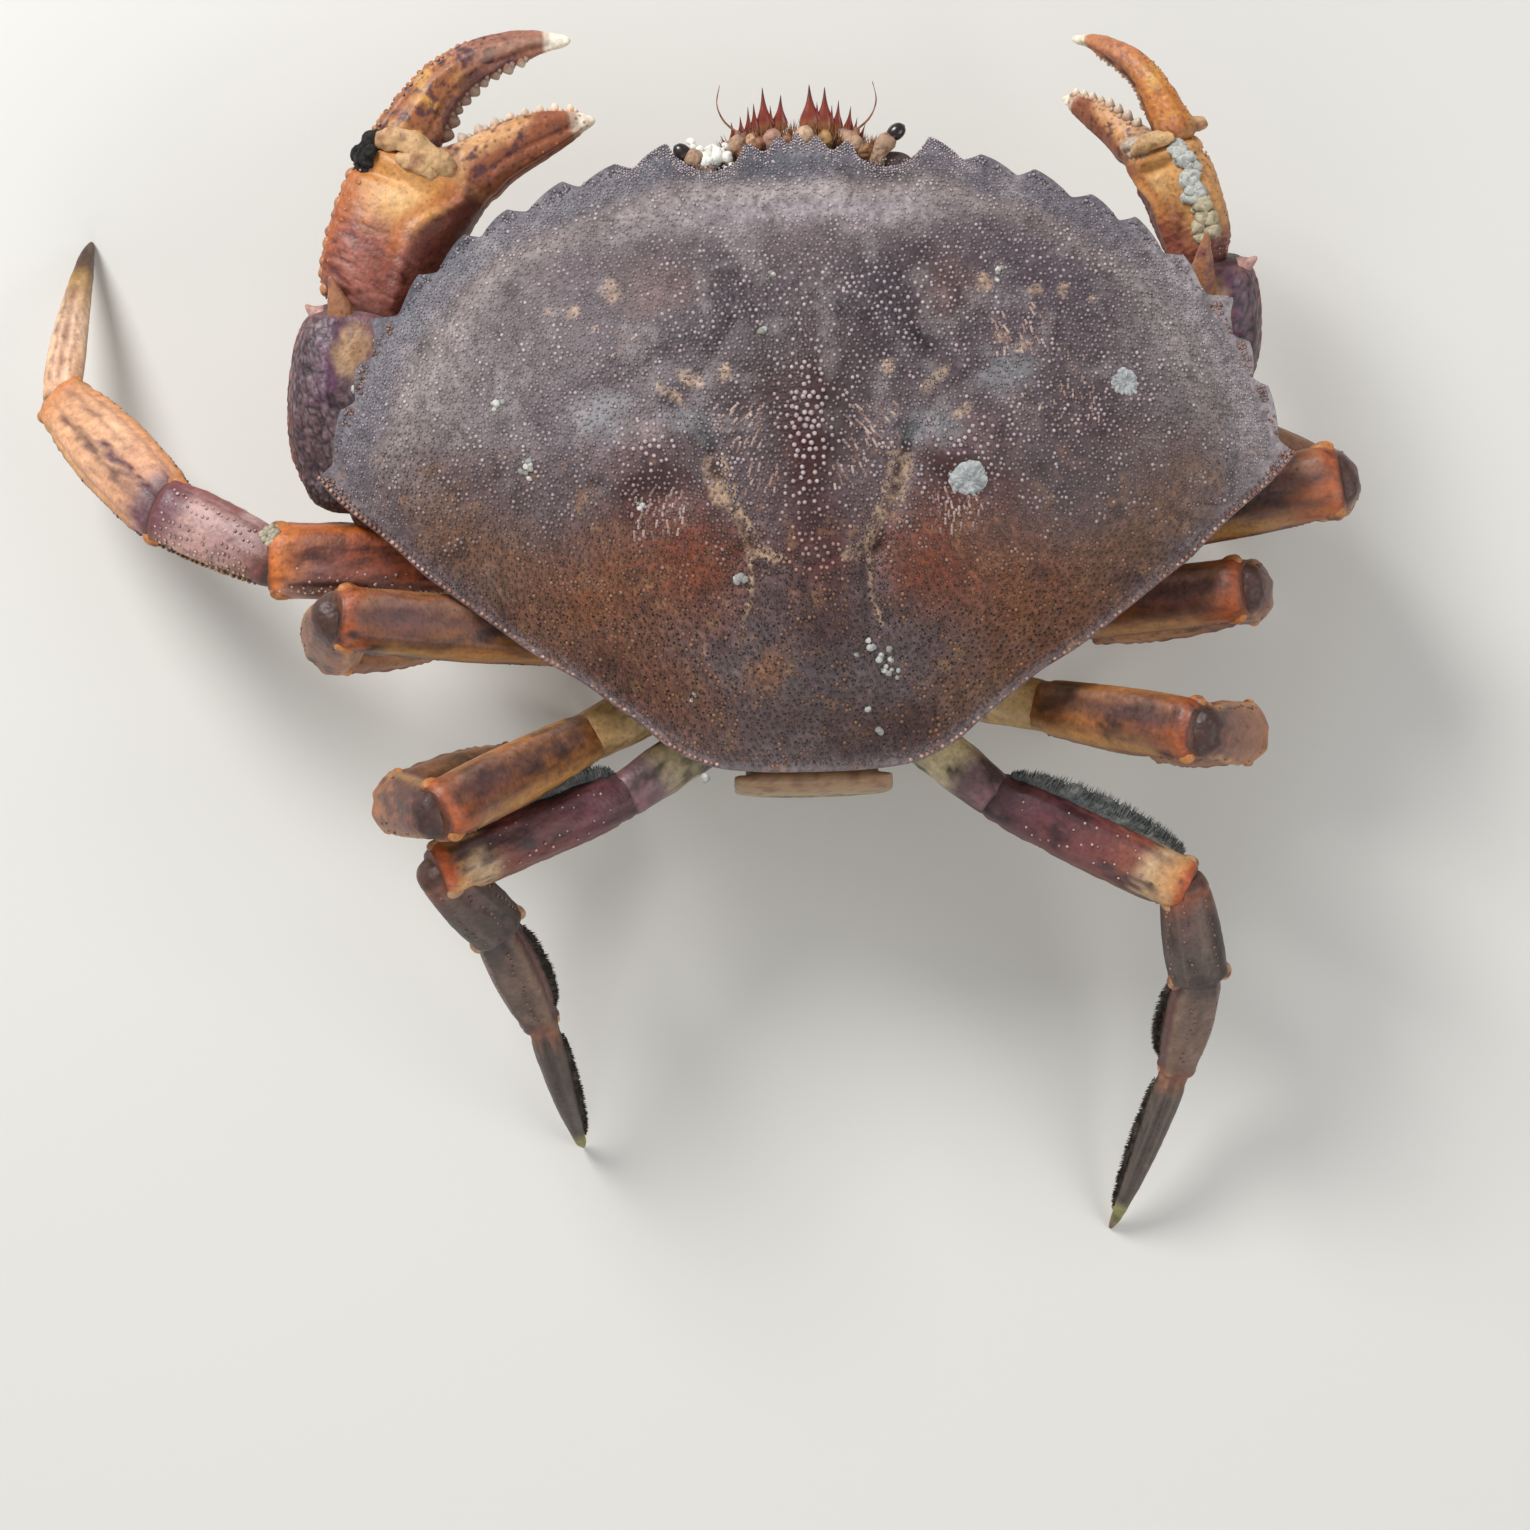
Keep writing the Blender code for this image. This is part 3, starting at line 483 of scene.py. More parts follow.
def sweep(path: Sequence[Sequence[float]], radii: Sequence[float], flat: float = 0.85, sides: int = 12,
          levels: int = 2, count: int = 14) -> bpy.types.Object:
    """Model a rounded form along a soft path.

    Args:
        path: What its middle line passes through, in millimetres.
        radii: Its half widths at equal steps along the path.
        flat: Its height for its width.
        sides, levels, count: Its fineness round it, by subdivision and along it.

    Returns:
        The object.
    """
    line = smooth_path(path, count)
    rows = []
    for k, (spot, way) in enumerate(zip(line, np.gradient(line, axis=0))):
        over = unit(np.cross(way, (0.02, 0.03, 1)))
        radius = float(np.interp(k / (count - 1), np.linspace(0, 1, len(radii)), radii))
        rows.append(oval_ring(spot, over, unit(np.cross(over, way)), radius, radius * flat, sides, 2.0))
    return tube("sweep", np.array(rows), levels)


def dapple(piece: bpy.types.Object, first: str, second: str, size: float, seed: int = 0, share: float = 0.7,
           rough: float = 0.1, spots: float = 0.2) -> bpy.types.Object:
    """Roughen a piece a little and colour it in two tones.

    Args:
        piece: The object.
        first, second: The hex colours of its ground and its patches.
        size: The patches' width in millimetres.
        seed: Picks another pattern.
        share: The patches' strength.
        rough: The height of its unevenness in millimetres.
        spots: How thickly dark dots lie on it.

    Returns:
        The piece.
    """
    points = points_of(piece)
    lift = rough * (wander(points, size, seed) + 0.6 * wander(points, size / 2.6, seed + 1))
    set_points(piece, points + normals_of(piece) * lift[:, None])
    paint(piece, tone(flood(points, first), second, cloud(points, size, 0.0, 0.8, seed + 2) * share), spots)
    return piece


def join(pieces: Sequence[bpy.types.Object], name: str) -> bpy.types.Object:
    """Join pieces into one mesh under a name.

    Args:
        pieces: Mesh objects, which are used up.
        name: The joined object's name.

    Returns:
        The joined object.
    """
    deselect()
    for piece in pieces:
        piece.select_set(True)
    bpy.context.view_layer.objects.active = pieces[0]
    if len(pieces) > 1:
        bpy.ops.object.join()
    pieces[0].name = pieces[0].data.name = name
    return pieces[0]


def paint(piece: bpy.types.Object, colours: np.ndarray, spots: np.ndarray | float = 0.0) -> None:
    """Store each vertex's own colour, and how thickly dark dots lie there.

    Args:
        piece: The object.
        colours: Linear red, green and blue, one row for each vertex or one for all.
        spots: 0 for none, 1 for all.
    """
    count = len(piece.data.vertices)
    mesh = piece.data
    rows = np.ones((count, 4), np.float32)
    rows[:, :3] = np.clip(colours, 0, 1)
    layer = mesh.attributes.get("tint") or mesh.attributes.new("tint", "FLOAT_COLOR", "POINT")
    layer.data.foreach_set("color", rows.ravel())
    layer = mesh.attributes.get("spots") or mesh.attributes.new("spots", "FLOAT", "POINT")
    layer.data.foreach_set("value", np.broadcast_to(np.float32(spots), count).astype(np.float32))


@dataclass(frozen=True)
class Place:
    """Where the crab's own frame lies in the frame of the solids, and what every finished piece needs."""
    x: float
    y: float
    built: list[str] = field(default_factory=list)

    @classmethod
    def from_shell(cls, front_reach: float) -> "Place":
        """Find the frame from the shell's solid.

        Args:
            front_reach: Millimetres from the shell's middle to its front edge.

        Returns:
            The place of the crab's origin, in metres.
        """
        low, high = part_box("carapace")
        return cls((low.x + high.x) / 2, low.y + front_reach * MM)

    def settle(self, piece: bpy.types.Object, finish: Finish, slot: str, replaces: Sequence[str] = (),
               smooth_angle: float = 60.0) -> bpy.types.Object:
        """Carry a finished mesh to the solids' frame and give it its finish and its body.

        Args:
            piece: A mesh in millimetres in the crab's frame.
            finish: Its material.
            slot: The record's slot for its finish. It is not used.
            replaces: The solids that it stands for.
            smooth_angle: Edges sharper than this stay sharp, in degrees.

        Returns:
            The piece.
        """
        choose(piece)
        bpy.ops.object.transform_apply(location=True, rotation=True, scale=True)
        piece.data.transform(Matrix.Translation((self.x, self.y, 0)) @ Matrix.Scale(MM, 4))
        bpy.ops.object.shade_smooth_by_angle(angle=math.radians(smooth_angle))
        if piece.data.attributes.get("tint") is None:
            paint(piece, linear("808080"))
        piece.data.materials.clear()
        piece.data.materials.append(finish.make())
        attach(piece, BODY)
        if replaces:
            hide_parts(*replaces)
        self.built.append(piece.name)
        LOG.info("%s: %d triangles", piece.name, sum(len(face.vertices) - 2 for face in piece.data.polygons))
        return piece


# ---------------------------------------------------------------- small things in great number

# Where each seed's dome is cut from its sphere, below which height its hem lies, and where a skirt's hem is
# set, all in radii.
DOME_CUT, DOME_HEM, SKIRT_LEVEL = -0.3, -0.25, -0.12
# How far apart the rows of a six-sided lattice lie, for each step between neighbours.
LATTICE_ROW = 0.866


@dataclass
class Seeds:
    """Places for many small copies.

    Each place has a way out, a size, a colour, and the colour of the painted shade round its foot.
    """
    rows: list[np.ndarray] = field(default_factory=list)

    def add(self, spots: np.ndarray, outs: np.ndarray, radii: np.ndarray | float, tints: np.ndarray | str,
            hem_shades: np.ndarray | str = "000000") -> None:
        """Add some places.

        Args:
            spots: Rows of coordinates in millimetres, or one place.
            outs: Rows of outward directions.
            radii: Millimetres, one or one for each.
            tints: A hex colour, or rows of linear colour.
            hem_shades: The colour of the painted shade that each skirt fades to.
        """
        spots = np.atleast_2d(spots)
        columns = [spots, outs, np.reshape(radii, (-1, 1))]
        columns += [linear(value) if isinstance(value, str) else value for value in (tints, hem_shades)]
        self.rows.append(np.hstack([np.broadcast_to(np.atleast_2d(column), (len(spots), width))
                                    for column, width in zip(columns, (3, 3, 1, 3, 3))]))

    def build(self, name: str, segments: int = 6, rings: int = 4, height: float = 0.8,
              foot_shade: str | None = None,
              skirt: float = 0.0, sharp: float = 0.0) -> bpy.types.Object:
        """Model one small dome and copy it to every place, in one mesh.

        Args:
            name: The object's name.
            segments, rings: The fineness of the sphere that each dome is cut from.
            height: How tall a dome stands for its radius.
            foot_shade: The colour of painted shade at the foot of each dome, fading out towards its top, or
                none for one colour all over.
            skirt: How far a flat skirt reaches for the radius, or 0 for none.
            sharp: 0 for a round dome, and more for a pointed one.

        Returns:
            The object.
        """
        deselect()
        bpy.ops.mesh.primitive_uv_sphere_add(segments=segments, ring_count=rings, radius=1.0)
        pattern = bpy.context.object
        bpy.ops.object.mode_set(mode="EDIT")
        bpy.ops.mesh.select_all(action="SELECT")
        bpy.ops.mesh.bisect(plane_co=(0, 0, DOME_CUT), plane_no=(0, 0, 1), clear_inner=True)
        bpy.ops.object.mode_set(mode="OBJECT")
        shape = points_of(pattern)
        faces = [tuple(face.vertices) for face in pattern.data.polygons]
        bpy.data.objects.remove(pattern)
        shape[:, :2] *= 1 - sharp * np.clip(shape[:, 2:], 0, 1)
        hem = shape[:, 2] < DOME_HEM
        if skirt:
            shape[hem, :2] *= skirt / np.linalg.norm(shape[hem, :2], axis=1)[:, None]
            shape[hem, 2] = SKIRT_LEVEL
        table = np.concatenate(self.rows)
        spots, outs, radii, tints, hem_shades = table[:, :3], table[:, 3:6], table[:, 6:7], table[:,
            7:10], table[:, 10:]
        outs = outs / np.linalg.norm(outs, axis=1)[:, None]
        guide = np.where(np.abs(outs[:, 2:]) < 0.9, (0, 0, 1), (1, 0, 0))
        side = np.cross(guide, outs)
        side /= np.linalg.norm(side, axis=1)[:, None]
        axes = np.stack((side, np.cross(outs, side), height * outs), axis=1)
        points = (spots[:, None] + radii[:, None] * (shape @ axes)).reshape(-1, 3)
        step = len(shape)
        mesh = bpy.data.meshes.new(name)
        mesh.from_pydata(points.tolist(), [], [tuple(k + number * step for k in face)
                                               for number in range(len(spots)) for face in faces])
        piece = bpy.data.objects.new(name, mesh)
        bpy.context.scene.collection.objects.link(piece)
        colours = np.repeat(tints, step, axis=0)
        # Painted shade: each dome is darkest at its foot and takes its own colour towards its top.
        if foot_shade is not None:
            up = np.tile(ease(shape[:, 2], -0.1, 0.75), len(spots))
            colours = mix(colours * linear(foot_shade) * 3, colours, up)
        # Painted shade: each skirt's hem takes its shade colour, a dark ring round the dome's foot.
        if skirt:
            colours = np.where(np.tile(hem, len(spots))[:, None], np.repeat(hem_shades, step, axis=0), colours)
        paint(piece, colours)
        return piece


def scatter(rng: random.Random, low: tuple[float, float], high: tuple[float, float],
            step: float) -> np.ndarray:
    """Evenly spread places on a plane, each a little off its six-sided lattice.

    Args:
        rng: The source of chance.
        low, high: Corners of the field, in millimetres.
        step: Distance between neighbours.

    Returns:
        Rows of x and y.
    """
    rows, places, y = 0, [], low[1]
    while y < high[1]:
        x = low[0] + (step / 2 if rows % 2 else 0)
        while x < high[0]:
            places.append((x + rng.uniform(-0.27, 0.27) * step, y + rng.uniform(-0.27, 0.27) * step))
            x += step
        y += step * LATTICE_ROW
        rows += 1
    return np.array(places)


# ---------------------------------------------------------------- the shell

# Places along the front of the shell's edge, and along each of its teeth.
FRONT_STEPS, TOOTH_STEPS = 45, 20
# The tooth that the grid's front corner lies on, counted from 0.
CORNER_TOOTH = 6


@dataclass(frozen=True)
class Patch:
    """A soft patch of colour or height on the shell.

    It has a middle, a reach and a strength, and it may lie on both sides of the shell.
    """
    value: str | float
    x: float
    y: float
    width: float
    length: float
    strength: float = 1.0
    turn: float = 0.0
    both: bool = True

    def share(self, points: np.ndarray, power: float = 2.0) -> np.ndarray:
        """How much of the patch lies at each point, from 0 to its strength.

        Args:
            points: Places on the shell, one row each.
            power: How steeply the patch fades at its edge.

        Returns:
            One share for each point.
        """
        angle = math.radians(self.turn)
        total = np.zeros(len(points))
        for mirror in ((1, -1) if self.both and self.x else (1,)):
            over, back = points[:, 0] * mirror - self.x, points[:, 1] - self.y
            along = (over * math.cos(angle) + back * math.sin(angle)) / self.width
            across = (back * math.cos(angle) - over * math.sin(angle)) / self.length
            total = np.maximum(total, np.exp(-np.hypot(along, across) ** power))
        return total * self.strength


@dataclass
class Shell:
    """The carapace: a low dome over a toothed edge, with its granules, bead row and the growths on it."""
    place: Place
    rng: random.Random
    rim_height: float = 64.0
    dome_height: float = 20.6
    edge: float = 1.3
    tooth_depth: float = 1.9
    across_cells: int = 430
    along_cells: int = 214
    front: tuple = ((0, -56.7), (1.7, -54.6), (3.3, -56.0), (5.8, -53.4), (8.8, -54.9), (10.8, -51.8),
                    (14.1, -50.0), (18.0, -50.6), (21.2, -53.0), (22.8, -55.3))
    teeth: tuple = ((22.8, -55.3), (31.6, -52.0), (40.9, -49.2), (50.6, -44.6), (58.2, -40.5),
                    (66.3, -33.7), (73.0, -25.4), (77.4, -18.3), (80.4, -10.6), (85.0, 1.2))
    rear: tuple = ((85.0, 1.2), (80.4, 6.2), (73.0, 12.4), (66.2, 18.8), (56.5, 26.3), (47.0, 33.4),
                   (40.0, 37.6),
                   (34.5, 41.8), (29.5, 45.6), (24.5, 49.8), (17.5, 53.0), (9.0, 54.1), (0, 54.3))
    # Swellings and hollows: height, then place and reach.
    forms: tuple = (
        Patch(1.9, 0, -18.1, 17, 15), Patch(1.3, 0, 23.1, 10, 13), Patch(1.6, 36.5, 3.8, 19, 22),
        Patch(1.1, 19.3, -25.4, 9, 10),
        Patch(0.9, 42.7, -22, 12, 9, turn=-20), Patch(0.8, 34.9, 27.7, 14, 10, turn=35),
        Patch(1.2, 26.4, 0, 5.0, 3.4),
        Patch(-1.5, 24, 7.5, 5.5, 3.2, turn=20), Patch(0.8, 0, -1.6, 3.2, 13), Patch(-0.7, 8.1, -3.5, 4, 9),
        Patch(0.9, 0, 33.5, 8.5, 7), Patch(-0.9, 29.8, -11.5, 10, 3, turn=25),
        Patch(-0.8, 32.3, -36.2, 22, 3, turn=14),
        Patch(-0.7, 0, -40, 16, 3.2), Patch(0.6, 9.8, -44.4, 6, 3),
        Patch(-0.8, 60.7, -17.7, 3.2, 14, turn=35),
        Patch(-0.8, 0, 47, 15, 3.0), Patch(0.7, 55.3, 5.3, 9, 12), Patch(-0.6, 45.4, -3.1, 3, 12, turn=30))
    # Sharp grooves: depth, half width, and the line that each follows.
    grooves: tuple = (
        (1.35, 1.7, ((17.8, -2.1), (16.5, 4.1), (13.4, 11.3), (11.1, 16.5))),
        (0.9, 1.5, ((11.1, 16.5), (9.4, 22.2), (10, 28.8), (8.5, 34.5))),
        (0.45, 1.2, ((11.5, 16.3), (5.8, 19.2), (0, 19.5))),
        (0.5, 1.6, ((17.8, -2.1), (21.1, -7.5), (28.8, -12))),
        (0.4, 1.4, ((21.1, -7.5), (15.8, -14.3), (11.5, -21.2))))
    # Colours, laid over each other in this order.
    colours: tuple = (
        Patch("675a5e", 44, -31.4, 22, 12, 0.8), Patch("50454d", -41.8, -29.9, 20, 13, 0.8, both=False),
        Patch("362c33", 16.4, -24.3, 15, 12, 0.9), Patch("988d90", 0, -43.2, 27, 4.6, 0.85),
        Patch("4d4850", 0, -51.6, 22, 2.6, 0.9), Patch("33211f", 0, -7.3, 12, 14, 0.9),
        Patch("7a6f6e", 62.5, -10.7, 10, 14, 0.7), Patch("5f5357", 43.4, -5, 16, 11, 0.7),
        Patch("4d3c3e", -44.3, -1.8, 16, 12, 0.8, both=False),
        Patch("7d7477", -65.8, -23.2, 9, 14, 0.7, both=False),
        Patch("684f50", 26.8, 0.2, 7, 4, 0.7), Patch("6c5650", 63.4, 5, 12, 7, 0.75),
        Patch("755440", 56.5, 14.9, 15, 6.5, 0.9, turn=-32),
        Patch("7c4c30", 35.8, 24.8, 20, 13, 0.95, turn=30),
        Patch("6a4836", 41, 32.4, 12, 5, 0.75, turn=-34), Patch("763c26", 20.2, 19.3, 8, 9, 0.95),
        Patch("5a322c", 24.9, 9.3, 8.5, 4.6, 0.9), Patch("4a201a", 0, 17.4, 10, 9, 0.9),
        Patch("4d2c28", 0, 27.0, 9, 9, 0.75),
        Patch("6c4029", 26.5, 40.2, 15, 7, 0.8, turn=-34),
        Patch("765a48", -28.3, 41.1, 8, 5, 0.55, both=False),
        Patch("33191a", -12.5, 48.5, 9, 5, 0.75, both=False), Patch("4e3329", 0, 46, 14, 6, 0.6),
        Patch("93613a", 8.9, 37.3, 4, 4, 0.6, both=False), Patch("8c6a5c", 25.2, -27.6, 6, 6, 0.3),
        Patch("44262a", 0, 2.3, 5, 16, 0.75))

    def half_outline(self) -> tuple[np.ndarray, np.ndarray]:
        """The shell's edge on its left, from the front middle to the rear middle.

        Returns:
            The toothed edge and the plain edge, point for point.
        """
        toothed = [smooth_path(self.front, FRONT_STEPS + 1)[:-1]]
        plain = [np.stack((toothed[0][:, 0], np.full(len(toothed[0]), -52.4)), axis=1)]
        for tip, following in zip(np.array(self.teeth[:-1]), np.array(self.teeth[1:])):
            inward = unit((-(following - tip)[1], (following - tip)[0]))
            part = np.linspace(0, 1, TOOTH_STEPS, endpoint=False)[:, None]
            line = tip + (following - tip) * part
            depth = np.minimum((part / 0.72) ** 1.9, ((1 - part) / 0.26) ** 0.8)
            toothed.append(line + inward * self.tooth_depth * depth)
            plain.append(line + inward * self.tooth_depth * 0.9)
        rear = smooth_path(self.rear, 120)
        toothed.append(rear)
        plain.append(rear - np.array((5.0, 0)) * np.exp(-np.arange(120) / 7)[:, None])
        rough, calm = np.concatenate(toothed), np.concatenate(plain)
        kernel = np.ones(15) / 15
        for axis in range(2):
            padded = np.concatenate((np.full(7, calm[0, axis]), calm[:, axis], np.full(7, calm[-1, axis])))
            calm[:, axis] = np.convolve(padded, kernel, "valid")
        calm[0, 0] = calm[-1, 0] = 0
        return rough, calm

    def inwardness(self, x: np.ndarray, y: np.ndarray) -> np.ndarray:
        """How far out each place lies: 0 at the shell's middle and 1 at its plain edge."""
        return np.hypot(x, y) / np.interp(np.arctan2(np.abs(x), -y), self.edge_angles, self.edge_reach)

    def heights(self, x: np.ndarray, y: np.ndarray) -> np.ndarray:
        """The shell's height over the floor at each place.

        Args:
            x: Places to the left, in millimetres.
            y: Places to the rear, in millimetres.

        Returns:
            One height for each place, in millimetres.
        """
        out = np.clip(self.inwardness(x, y), 0, 1)
        points = np.stack((x, y, np.zeros_like(x)), axis=1)
        lift = self.dome_height * (1 - out ** 2.35) ** 1.12
        fade = 1 - out ** 5
        for form in self.forms:
            lift += form.value * form.share(points) * fade
        mirrored = np.stack((np.abs(x), y), axis=1)
        for depth, half_width, path in self.grooves:
            lift -= depth * np.exp(-(near_line(mirrored, path) / half_width) ** 2)
        lift += (wander(points, 13.0, 1) * 0.3 + wander(points, 5.0, 2) * 0.12) * np.clip(1.2 - out, 0, 1)
        lift += wander(points, 1.7, 3) * 0.045
        lift -= 0.55 * np.exp(-((out - 0.93) / 0.03) ** 2) * (y < 10)
        return self.rim_height + self.edge + lift

    def outward(self, x: np.ndarray, y: np.ndarray) -> np.ndarray:
        """The direction out of the shell at each place.

        Args:
            x: Places to the left, in millimetres.
            y: Places to the rear, in millimetres.

        Returns:
            One direction of length one for each place.
        """
        step = 0.4
        slope_x = (self.heights(x + step, y) - self.heights(x - step, y)) / (2 * step)
        slope_y = (self.heights(x, y + step) - self.heights(x, y - step)) / (2 * step)
        outs = np.stack((-slope_x, -slope_y, np.ones_like(x)), axis=1)
        return outs / np.linalg.norm(outs, axis=1)[:, None]

    def tints(self, points: np.ndarray) -> np.ndarray:
        """The shell's colour at each point, before its granules.

        Args:
            points: Places on the shell, one row each.

        Returns:
            One linear colour for each point.
        """
        flat = points * (1, 1, 0)
        warp = np.stack([wander(flat, 9.0, 10 + k) * 2.6 + wander(flat, 3.0, 20 + k) * 1.3
                         for k in range(3)], axis=1)
        out = self.inwardness(points[:, 0], points[:, 1])
        colour = flood(points, "5f5255")
        for patch in self.colours:
            colour = tone(colour, patch.value, patch.share(flat + warp, 2.6))
        flange = ease(out + wander(flat, 6.0, 30) * 0.02, 0.87, 0.95)
        ahead = ease(-points[:, 1], -14, 6)
        colour = tone(colour, "6c676e", flange * ahead * 0.85)
        colour = tone(colour, "786c6e", flange * (1 - ahead) * ease(out, 0.95, 0.985) * 0.8)
        colour = tone(colour, "4a4f58", flange * ahead * ease(wander(flat, 11.0, 31), 0.0, 0.7) * 0.6)
        colour = tone(colour, "9a9090", flange * ahead * ease(-points[:, 0], 52, 66) * 0.6)
        colour = tone(colour, "a79b92", ease(out, 0.8, 0.88) * (1 - flange) * 0.3 * ahead)
        front = ease(-points[:, 1], -12, 12)
        colour = tone(colour, "2c2a30", Patch(0, 15.5, -50.0, 6.5, 2.6).share(flat + 0.5 * warp) * 0.75)
        colour = tone(colour, "a69c9c", cloud(flat, 4.2, 0.1, 0.9, 32) * (0.06 + 0.2 * front))
        colour = tone(colour, "2a1d20", cloud(flat, 3.4, 0.2, 1.0, 34) * 0.5)
        colour = tone(colour, "9c7450", cloud(flat, 2.2, 0.25, 1.0, 37) * (1 - front) * 0.45)
        return colour * (1 + 0.22 * wander(flat, 1.3, 36) + 0.2 * wander(flat, 0.75, 38))[:, None]

    def marks(self, points: np.ndarray, colour: np.ndarray) -> np.ndarray:
        """Lay the small marks over the shell's colour: muscle scars, pale ovals and dark pits.

        Args:
            points: Rows of coordinates.
            colour: The colour below.

        Returns:
            The colour with the marks on it.
        """
        flat = points * (1, 1, 0)
        x, y = points[:, 0], points[:, 1]
        fray = wander(flat, 1.0, 40) * 0.5 + wander(flat, 0.45, 41) * 0.5
        etched = ease(wander(flat, 1.3, 43) + 0.7 * fray, -0.35, 0.4)

        def oval(at: Sequence[float]) -> np.ndarray:
            """Distance from the middle of an oval, as a share of its reach: 1 lies on its border.

            Args:
                at: The oval's middle, half width, half length and turn in degrees.

            Returns:
                One distance for each point.
            """
            turn = math.radians(at[4])
            over, back = x - at[0], y - at[1]
            return np.hypot((over * math.cos(turn) + back * math.sin(turn)) / at[2],
                            (back * math.cos(turn) - over * math.sin(turn)) / at[3])

        for at in ((38.9, -24.5, 1.3, 1.2, 0), (43.6, -24.7, 0.7, 0.7, 0), (13.5, -12.6, 1.1, 1.5, 0),
                   (-13.9, -13.1, 1.2, 1.4, 0), (19.4, -11.9, 2.6, 1.2, -35), (-21.7, -10.8, 3.4, 1.1, 40),
                   (-39.4, -26.1, 1.3, 1.1, 0), (-44.2, -26.4, 1.1, 1.4, 0), (-33.1, -17.9, 1.3, 1.1, 0),
                   (-36.5, -16.1, 1.8, 0.8, 15), (-49.5, -25.1, 0.9, 0.8, 0), (-26.1, -5.3, 1.9, 0.9, 35),
                   (22.8, -9.5, 3.2, 0.9, -38), (32.5, -27.9, 1.5, 2.4, 20), (-30.7, -27.7, 1.6, 1.8, 0)):
            colour = tone(colour, "c0a185",
                          ease(1.3 - oval(at) + fray * 0.5, 0.1, 0.6) * (0.35 + 0.45 * etched))
        both = np.stack((np.abs(x), y), axis=1)
        for path, half_width in ((((15.6, 2.8), (14.4, 7.4)), 2.3),
                                 (((13.8, 8.0), (11.4, 12.0), (9.6, 16.5), (6.0, 18.4)), 1.2),
                                 (((9.9, 18.0), (10.1, 24.6), (11.8, 29.8)), 0.6)):
            away = near_line(both, path)
            colour = tone(colour, "b0937a",
                          ease(half_width * (1 + 0.7 * fray) - away, 0, 0.5) * (0.5 + 0.45 * etched))
            colour = tone(colour, "3a241e",
                          ease(half_width * 0.55 - away + 0.7 * fray, 0, 0.5) * (1 - etched) * 0.85)
        for at in ((16.6, -1.6, 1.5, 3.2, 12), (-16.9, -1.2, 1.7, 3.2, -12)):
            colour = tone(colour, "201617", ease(1.2 - oval(at) + fray * 0.6, 0.1, 0.5) * 0.9)
        for at in ((17.6, -18, 4.2, 3.0, 0), (-19, -17.6, 3.6, 2.6, 0), (-16.1, -3.4, 3.0, 2.2, 0),
                   (23.6, -8.3, 3.6, 1.8, -20)):
            colour = tone(colour, "221a1c", ease(1.0 - oval(at) + fray * 1.1, 0.3, 0.75) * 0.85)
        for at in ((20.3, -4.4, 8, 5, 0), (-20.9, -2.8, 8, 5, 0), (33.8, -6.4, 9, 6, 20),
                   (-33.9, -12.5, 8, 6, -10)):
            colour = tone(colour, "9aa0a3",
                          ease(1.0 - oval(at) + wander(flat, 2.4, 44) * 0.5, 0.1, 0.9) * 0.4)
        # Dark red: in the hollows behind the side bosses it is painted shade over the shell's own colour;
        # along the middle it is the shell's own colour.
        for at in ((25.0, 5.2, 8.0, 3.4, 12), (-25.6, 5.0, 8.0, 3.4, -12), (0.0, 1.0, 4.2, 10.0, 0)):
            colour = tone(colour, "3a1512",
                          ease(1.2 - oval(at) + wander(flat, 2.4, 45) * 0.35, 0.0, 0.9) * 0.85)
        return colour

    def build_plate(self) -> bpy.types.Object:
        """Model the shell: a grid laid inside its edge, raised to the dome, with a rim turned under.

        Returns:
            The carapace.
        """
        rough, calm = self.half_outline()
        self.edge_angles = np.arctan2(calm[:, 0], -calm[:, 1])
        self.edge_reach = np.hypot(calm[:, 0], calm[:, 1])
        self.half_edge = rough
        first = FRONT_STEPS + CORNER_TOOTH * TOOTH_STEPS
        second = first + int(np.argmin(np.hypot(*(rough[first:] - np.array(self.rear[3])).T)))
        mirror = np.array((-1, 1))

        def borders(half: np.ndarray) -> tuple[np.ndarray, np.ndarray, np.ndarray, np.ndarray]:
            """Front, rear, right and left borders of the grid, each cut into its cells.

            Args:
                half: The shell's edge on one side, from front to rear.

            Returns:
                The four borders, one place a row.
            """
            ahead = np.concatenate((half[1:first + 1][::-1] * mirror, half[:first + 1]))
            behind = np.concatenate((half[second:-1] * mirror, half[second:][::-1]))
            flank = spaced(half[first:second + 1], self.along_cells + 1)
            return (spaced(ahead, self.across_cells + 1), spaced(behind, self.across_cells + 1),
                    flank * mirror, flank)

